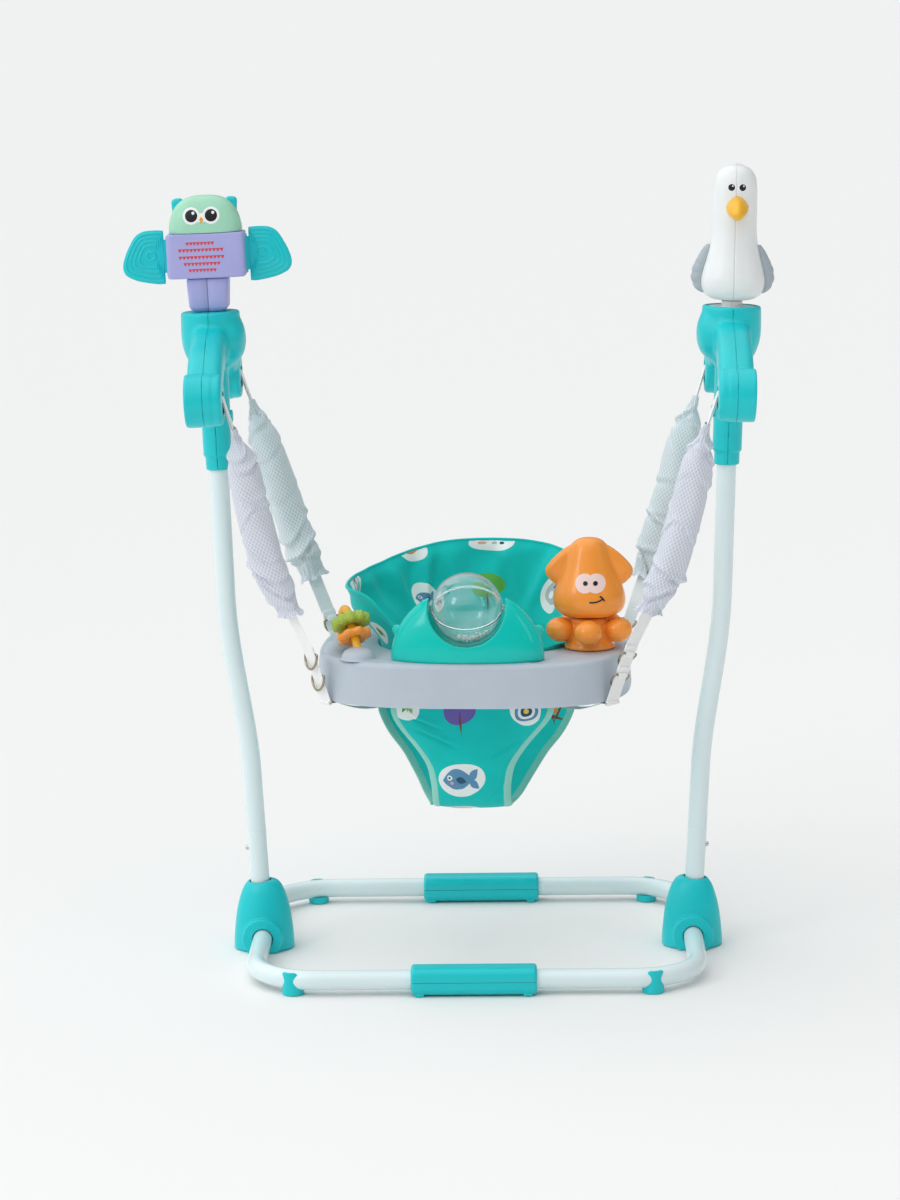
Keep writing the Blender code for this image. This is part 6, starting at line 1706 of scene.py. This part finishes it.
BACK_FOLDS = ((117, -7, 3.6, 0.0110), (133, 9, 4.5, 0.0060), (99, 4, 5.0, 0.0060), (86, -5, 4.2, 0.0060),
              (76, 6, 4.0, 0.0080), (61, -6, 4.6, 0.0080), (44, 6, 5.0, 0.0070), (151, 8, 5.0, 0.0050),
              (25, -5, 4.5, 0.0045))


def seat_top(turn, z):
    """A point of the sheet above the leg openings, from its angle in degrees and its height. Between the
    tray's top and the rim it leans out with the share of its height. The left wing swells below its rim,
    and the folds fade out towards the tray and the rim."""
    angle = np.radians(turn)
    rim = rim_height(angle)
    share = np.clip((z - SEAT_FRONT) / 0.128, 0, 1.1)
    forward = soft_step((245 - turn) / 60)
    flare = share * np.where(turn > 180, forward, 1)
    wing = soft_step((turn - 118) / 40) * soft_step((243 - turn) / 30)
    swell = wing * (0.018 * share + 0.016 * np.exp(-((z - 0.508) / 0.024) ** 2))
    deep = np.clip((z - TRAY_TOP) / 0.05, 0, 1) * (1 - 0.85 * np.exp(-((rim - z) / 0.016) ** 2))
    folds = sum(depth * crease((turn - at - lean * (z - 0.52) / 0.06) / width)
                for at, lean, width, depth in BACK_FOLDS)
    roll = 0.0040 * np.exp(-((z - rim) / 0.010) ** 2)
    cx, cy = bulge(angle, 2.5)
    out = 1 + (roll - folds * deep) / 0.135
    x = cx * (SEAT_HALF[0] + 0.050 * flare + swell) * out
    y = cy * (SEAT_HALF[1] + 0.034 * flare) * out + HOLE_AT[1]
    return coords(x, y, z)


PANEL_FOLDS = ((-0.088, 0.347, -0.020, 0.319, 0.0022, 0.0034), (-0.095, 0.364, -0.040, 0.345, 0.0022, 0.0028),
               (0.070, 0.330, 0.020, 0.300, 0.0035, 0.0020), (-0.045, 0.262, 0.010, 0.247, 0.0030, 0.0016),
               (0.052, 0.268, 0.020, 0.232, 0.0028, 0.0018), (-0.05, 0.300, 0.030, 0.285, 0.005, 0.0015))


def panel_turn(name, s):
    """The angle above a panel's column, from x = half * cos(a)^(2 / 2.5)."""
    x = np.clip(s * PROFILES[name][0, 2] / SEAT_HALF[0], -0.9999, 0.9999)
    rise = np.sqrt(1 - np.abs(x) ** 2.5) * (-1 if name == "front" else 1)
    return np.degrees(np.arctan2(rise, np.sign(x) * np.abs(x) ** 1.25)) % 360


def panel_shape(name, s, t):
    """Across, the panel is a superellipse of the ring that the bag has at that height."""
    table = PROFILES[name]
    t = np.asarray(t) * (len(table) - 1)
    y, z, half = (np.interp(t, np.arange(len(table)), table[:, k]) for k in range(3))
    x = s * half
    bow = soft_step((z - CROTCH_Z) / 0.14)
    ring = half * 1.03 + 0.020 * bow
    inward = 1 - np.maximum(1 - np.abs(x / ring) ** 2.5, 1e-4) ** 0.4
    sign = -1 if name == "front" else 1
    x = x - (0.0045 + 0.0015 * sign) * soft_step((0.375 - z) / 0.045)
    depth = 0.018 + 0.085 * bow
    folds = 0
    for x0, z0, x1, z1, width, deep in PANEL_FOLDS:
        run = np.array([x1 - x0, z1 - z0])
        long = np.hypot(*run)
        run = run / long
        beside = (x - x0) * -run[1] + (z - z0) * run[0]
        along = ((x - x0) * run[0] + (z - z0) * run[1]) / long
        folds = folds + deep * crease(beside / width) * np.exp(-((along - 0.5) / 0.42) ** 4)
    y = y - sign * (depth * inward + folds * (0.4 + 0.6 * (sign < 0)))
    return coords(x, y, z + 0.0015 * (1 - bow) * np.abs(s) ** 3)


def panel(name, s, t):
    """A point of the front or rear panel: s runs from -1 to 1 across it and t from the leg openings' top,
    0, to the middle of the crotch, 1. Near the top it is pulled over to the sheet above."""
    s, t = np.broadcast_arrays(np.asarray(s, float), np.asarray(t, float))
    above = seat_top(panel_turn(name, s), LEG_TOP + 0 * s)
    pull = np.exp(-(t / 0.06) ** 2)[..., None]
    return panel_shape(name, s, t) + (above - panel_shape(name, s, 0 * t)) * pull


def seat_sheet():
    """The points, the quads and the UVs of the whole sheet, seen as one grid with columns all the way
    round."""
    # Rows above and below the top of the leg openings, and columns of the two panels and of each opening
    above, below, front, rear, gap = 70, 110, 70, 110, 26
    s_front, s_rear = np.linspace(-1, 1, front), np.linspace(1, -1, rear)
    front_turn, rear_turn = panel_turn("front", s_front), panel_turn("rear", s_rear)
    right_gap = np.linspace(front_turn[-1] - 360, rear_turn[0], gap)[1:-1]
    left_gap = np.linspace(rear_turn[-1], front_turn[0], gap)[1:-1]
    turns = np.concatenate([front_turn, right_gap % 360, rear_turn, left_gap])
    rim = rim_height(np.radians(turns))
    down = np.linspace(0, 1, above)[:, None] ** 0.9
    heights = rim + (LEG_TOP - rim) * down
    top = seat_top(turns[None] + 0 * heights, heights)
    t = np.linspace(0, 1, below)[1:, None]
    low = np.zeros((below - 1, len(turns), 3))
    low[:, :front] = panel("front", s_front[None], t)
    at = front + gap - 2
    low[:, at:at + rear] = panel("rear", s_rear[None], t)
    grid = np.concatenate([top, low])
    rows, columns = grid.shape[:2]
    i, j = (k.ravel() for k in np.mgrid[0:rows - 1, 0:columns])
    is_front, is_rear = j < front - 1, (j >= at) & (j < at + rear - 1)
    keep = (i < above - 1) | is_front | is_rear
    i, j = i[keep], j[keep]
    quads = coords(i * columns + j, i * columns + (j + 1) % columns, (i + 1) * columns + (j + 1) % columns,
                      (i + 1) * columns + j)[:, ::-1]
    points = grid.reshape(-1, 3)
    return in_seat(points), quads, points[quads][..., [0, 2]]


def clean_sheet(bm):
    bmesh.ops.delete(bm, geom=[v for v in bm.verts if not v.link_faces], context="VERTS")
    bmesh.ops.recalc_face_normals(bm, faces=bm.faces)


seat = piece("seat_cloth", [seat_sheet()], SEAT_TEAL, weld=2e-5, smooth=80)
with_bmesh(seat.data, clean_sheet)
thick = seat.modifiers.new("padding", "SOLIDIFY")
thick.thickness, thick.offset = 0.0025, 0.0
settle(seat, 80)
use(seat, "seat", "seat_fabric")

# %% [markdown]
# ## Binding and rim roll
# Mint tape is folded over the edge of each leg opening. It is a flat oval section that follows the panel's
# edge, with its middle 4 mm inside the edge. The top edge has a narrow roll of the seat's own cloth.

# %% Binding


def with_normal(surface, a, b, toward):
    """The surface's points and unit normals: the cross product of its two slopes, turned towards a
    direction."""
    step = 2e-4
    point = surface(a, b)
    normal = np.cross(surface(a + step, b) - surface(a - step, b), surface(a, b + step)
                      - surface(a, b - step))
    normal /= np.maximum(np.linalg.norm(normal, axis=-1, keepdims=True), 1e-15)
    return point, normal * np.where((normal * toward(point)).sum(-1, keepdims=True) < 0, -1, 1)


def forwards(_):
    return np.array([0.0, -1.0, -0.15])


def inwards(point):
    return (np.array([0.0, HOLE_AT[1], 0.5]) - point) * [1, 1, 0]


def outwards(point):
    return -inwards(point)


def tape_section():
    """Distances inside the edge and off the middle surface: 4.0 + 5.2 c and 2.3 s, in millimetres."""
    c, s = bulge(full_turn(28), 2.8)
    return (4.0 + 5.2 * c) / 1000, 2.3 * s / 1000


def edge_tape(name, sign):
    """The section carried down one edge of a panel to the middle of the crotch."""
    inside, off = tape_section()
    t = np.linspace(0, 1, 110)[:, None] + 0 * inside
    half = np.interp(t[:, 0], np.linspace(0, 1, len(PROFILES[name])), PROFILES[name][:, 2])[:, None]
    s = sign * (1 - inside / half)
    toward = forwards if name == "front" else inwards
    point, normal = with_normal(lambda a, b: panel(name, a, b), s, t, toward)
    ripple = 1 + 0.05 * np.sin(t * 95 + sign) * np.sin(t * 23)
    return point + normal * (off * ripple)[..., None]


def arch_tape(sign):
    """The same section along the top of a leg opening."""
    inside, off = tape_section()
    turns = [panel_turn(name, np.array([sign * 1.0]))[0] for name in ("front", "rear")]
    turns[0] -= 360 if sign > 0 else 0
    turn = np.linspace(*turns, 40)[:, None] + 0 * inside
    point, normal = with_normal(seat_top, turn, LEG_TOP + inside, outwards)
    return point + normal * off[..., None]


# The rear panel's binding gets the darker copy of the tape, as painted shade
for name, mat in (("front", BIND_MINT), ("rear", BIND_MINT_SHADED)):
    shells = [shell(in_seat(capped(edge_tape(name, sign))), uv_size=(0.03, 0.25)) for sign in (-1, 1)]
    if name == "front":
        shells += [shell(in_seat(capped(arch_tape(sign))), uv_size=(0.03, 0.08)) for sign in (-1, 1)]
    use(piece("leg_binding_" + name, shells, mat), "seat")

turns = np.linspace(0, 360, 721)[:-1]
rim_path = seat_top(turns, rim_height(np.radians(turns)) - 0.0004)
roll = looped(rim_path, ellipse(0.0021, 0.0024, 16), (0, 0, 1))
use(piece("rim_roll", [shell(in_seat(roll), wrap_rows=True)], SEAT_TEAL), "seat")
print("binding: two leg openings and the rim")

# %% [markdown]
# ## The seat's print
# White pebbles with simple leaves, rings and sprigs on them. Each shape is a thin flake worked out on the
# seat's own surface, folds and all, and each further ink lies a little higher.

# %% Print


def on_panel(name):
    """Metres across the panel's middle line and metres down from the top of the leg openings."""
    table = PROFILES[name]
    length = np.linalg.norm(np.diff(table[:, :2], axis=0), axis=1).sum()

    def surface(x, down):
        t = down / length
        return panel(name, x / np.interp(t, np.linspace(0, 1, len(table)), table[:, 2]), t)
    return surface


def on_back(x, z):
    """Metres along the ring from the middle of the back, +X first, and the height, which stops at the rim."""
    turn = 90 - np.degrees(x / 0.158)
    return seat_top(turn, np.minimum(z, rim_height(np.radians(turn)) - 0.0022))


def inked(surface, outline, toward, layer):
    """Rings shrink from the outline to its middle, 0.15 mm above the layer below, and again under it."""
    middle = outline.mean(0)
    flat = middle + np.linspace(0, 1, 9)[:, None, None] * (outline - middle)
    point, normal = with_normal(surface, flat[..., 0], flat[..., 1], toward)
    top = point + normal * (0.00125 + 0.00022 * (layer + 1))
    return np.concatenate([top, (point + normal * 0.0008)[::-1]])


def pebble(x, y, wide, tall, seed):
    """An ellipse whose radius wavers with the second and third multiple of the angle."""
    t = full_turn(72)
    r = 1 + 0.07 * np.cos(2 * t + seed) + 0.05 * np.cos(3 * t + 2 * seed)
    return coords(x + wide / 2 * r * np.cos(t), y + tall / 2 * r * np.sin(t))


def leaf(x, y, long, wide, angle):
    """Two arcs: wide / 2 * sin(pi u) on both sides of the line along the leaf."""
    u = np.linspace(0, 1, 22)
    half = wide / 2 * np.sin(math.pi * u ** 0.85)
    line = np.concatenate([coords(u * long, half), coords(u * long, -half)[::-1][1:-1]])
    c, s = math.cos(math.radians(angle)), math.sin(math.radians(angle))
    return line @ np.array([[c, s], [-s, c]]) + [x, y]


def stalk(x, y, long, angle):
    return leaf(x, y, long, 0.0016, angle)


# Each (height over the size, turn in degrees), and each (ink, width over the size)
SPRIG_LEAVES = ((0.32, -35), (0.32, 215), (0.08, -30), (0.08, 210), (-0.16, -25), (-0.16, 205))
TARGET = (("blue", 0.9), ("pebble", 0.66), ("navy", 0.44), ("yellow", 0.20))


def motif(kind, x, y, size):
    """Simple drawings as (ink, outline, layer), about as wide as size."""
    if kind == "sprig":
        marks = [("brown", stalk(x, y + size * 0.45, size * 0.95, -90), 1)]
        for k, (up, turn) in enumerate(SPRIG_LEAVES):
            long = size * (0.42 - 0.05 * (k // 2))
            marks.append(("leaf", leaf(x, y + up * size, long, size * 0.17, turn), 1))
        return marks
    if kind == "rings":
        return [(ink, pebble(x, y, size * share, size * share, 0.4), k + 1)
                for k, (ink, share) in enumerate(TARGET)]
    if kind == "leaf":
        return [("orange", leaf(x - size * 0.45, y - size * 0.1, size * 0.95, size * 0.42, 14), 1),
                ("brown", stalk(x - size * 0.48, y - size * 0.11, size * 0.86, 14), 2)]
    if kind == "fish":
        return [("blue", leaf(x - size * 0.52, y, size * 0.86, size * 0.52, 4), 1),
                ("blue", leaf(x + size * 0.22, y + size * 0.03, size * 0.34, size * 0.20, 48), 1),
                ("blue", leaf(x + size * 0.22, y + size * 0.03, size * 0.34, size * 0.20, -40), 1),
                ("navy", leaf(x - size * 0.16, y + size * 0.05, size * 0.30, size * 0.16, -12), 2),
                ("rose", pebble(x - size * 0.27, y - size * 0.05, size * 0.09, size * 0.07, 0.0), 2),
                ("pebble", pebble(x - size * 0.33, y + size * 0.07, size * 0.13, size * 0.13, 0.0), 2),
                ("navy", pebble(x - size * 0.335, y + size * 0.07, size * 0.06, size * 0.06, 0.0), 3)]
    if kind == "dots":
        return [(ink, pebble(x + size * at, y - size * 0.1, size * 0.24, size * 0.20, at), 1)
                for ink, at in (("rose", -0.55), ("ash", -0.1), ("navy", 0.3))]
    if kind == "pair":
        return [("leaf", leaf(x, y + size * 0.3, size * 0.6, size * 0.28, -62), 1),
                ("green", leaf(x - size * 0.02, y + size * 0.3, size * 0.6, size * 0.26, -118), 1),
                ("brown", stalk(x, y + size * 0.32, size * 0.5, -90), 2)]
    return [("ash", pebble(x, y + size * 0.02, size * 0.74, size * 0.86, 1.2), 1),
            ("pebble", pebble(x - size * 0.08, y - size * 0.05, size * 0.26, size * 0.30, 0.5), 2),
            ("navy", leaf(x - size * 0.05, y + size * 0.20, size * 0.40, size * 0.10, 30), 2)]


front_face, rear_face = on_panel("front"), on_panel("rear")
PRINTS = [
    (front_face, forwards, (-0.012, 0.101, 0.064, 0.046, 0.8), "fish", 0.052),
    (front_face, forwards, (-0.092, 0.010, 0.038, 0.034, 2.1), "pair", 0.026),
    (front_face, forwards, (0.079, 0.012, 0.044, 0.042, 4.4), "rings", 0.034),
    (front_face, forwards, (-0.014, 0.168, 0.052, 0.034, 1.5), "leaf", 0.034),
    (on_back, inwards, (-0.077, 0.497, 0.042, 0.048, 0.3), "fish", 0.034),
    (on_back, inwards, (-0.082, 0.567, 0.046, 0.030, 2.6), "leaf", 0.028),
    (on_back, inwards, (0.011, 0.5770, 0.042, 0.026, 4.0), "dots", 0.020),
    (on_back, inwards, (0.108, 0.505, 0.042, 0.060, 1.0), "stone", 0.040),
    (on_back, inwards, (-0.218, 0.530, 0.058, 0.038, 3.0), "stone", 0.026),
    (on_back, outwards, (-0.335, 0.481, 0.036, 0.032, 2.0), "pair", 0.026),
    (on_back, outwards, (-0.100, 0.530, 0.056, 0.048, 0.4), "sprig", 0.038),
    (on_back, outwards, (0.010, 0.500, 0.060, 0.050, 1.7), "rings", 0.036),
    (on_back, outwards, (0.075, 0.555, 0.044, 0.036, 3.3), "leaf", 0.032),
    (on_back, outwards, (0.150, 0.500, 0.050, 0.044, 5.0), "stone", 0.034),
    (on_back, outwards, (-0.215, 0.500, 0.050, 0.042, 2.8), "fish", 0.036),
    (rear_face, outwards, (-0.050, 0.060, 0.056, 0.046, 0.9), "leaf", 0.040),
    (rear_face, outwards, (0.045, 0.110, 0.054, 0.044, 2.2), "pair", 0.036),
    (rear_face, inwards, (-0.060, 0.050, 0.050, 0.044, 3.9), "rings", 0.036),
]
ink_shells = {}
for surface, toward, (x, y, wide, tall, seed), kind, size in PRINTS:
    down = -1 if surface in (front_face, rear_face) else 1
    marks = [("pebble", pebble(x, y, wide, tall, seed), 0)]
    marks += [(ink, (line - [x, y]) * [1, down] + [x, y], layer)
              for ink, line, layer in motif(kind, x, y, size)]
    for ink, line, layer in marks:
        ink_shells.setdefault(ink, []).append(shell(in_seat(inked(surface, line, toward, layer))))
# Shapes without a pebble: a round green crown behind the ball, a plum one on the front panel, and twigs at
# the rear
loose = [(on_back, inwards, "green", pebble(0.008, 0.515, 0.030, 0.034, 0.2), 0),
         (on_back, inwards, "brown", leaf(0.008, 0.517, 0.046, 0.0026, -88), 1),
         (front_face, forwards, "plum", pebble(-0.016, 0.011, 0.044, 0.040, 0.6), 0),
         (front_face, forwards, "brown", leaf(-0.016, 0.010, 0.038, 0.0030, 82), 1),
         (rear_face, inwards, "orange", leaf(0.106, 0.050, 0.018, 0.0110, 12), 0)]
for x, down, long, angle in ((0.100, 0.058, 0.036, 8), (0.105, 0.044, 0.030, 62), (0.130, 0.042, 0.028, 118)):
    loose.append((rear_face, inwards, "brown", leaf(x, down, long, 0.0034, angle), 0))
for surface, toward, ink, line, layer in loose:
    ink_shells.setdefault(ink, []).append(shell(in_seat(inked(surface, line, toward, layer))))
for ink, shells in ink_shells.items():
    use(piece("print_" + ink, shells, INKS[ink], smooth=60), "seat")
print("print:", len(PRINTS), "pebbles in", len(ink_shells), "colours")

# %% [markdown]
# ## Webbing under the tray
# From each hook a mint strap runs flat along the underside of the tray to the corner of a panel, where it is
# sewn on.

# %% Under the tray
SEWN_AT = {-1: (0.112, -0.066), 1: (0.124, 0.108)}
shells = []
for side, _ in SIDES:
    for end, _ in ENDS:
        x, y = HOOKS[end]
        start = np.array([side * (x - 0.012), end * (y - 0.008), TRAY_LOW - 0.0014])
        stop = [side * SEWN_AT[end][0], SEWN_AT[end][1], LEG_TOP + 0.004]
        t = np.linspace(0, 1, 26)[:, None]
        path = start + (stop - start) * t + [0, 0, -0.0120] * np.sin(math.pi * t) ** 0.8
        shells.append(shell(in_seat(ribbon(path, 0.022, 0.0013, (0, 0, 1))), uv_size=(0.044, 0.10)))
use(piece("tray_straps", shells, WEB_MINT, smooth=35), "seat")
print("tray straps:", len(shells))
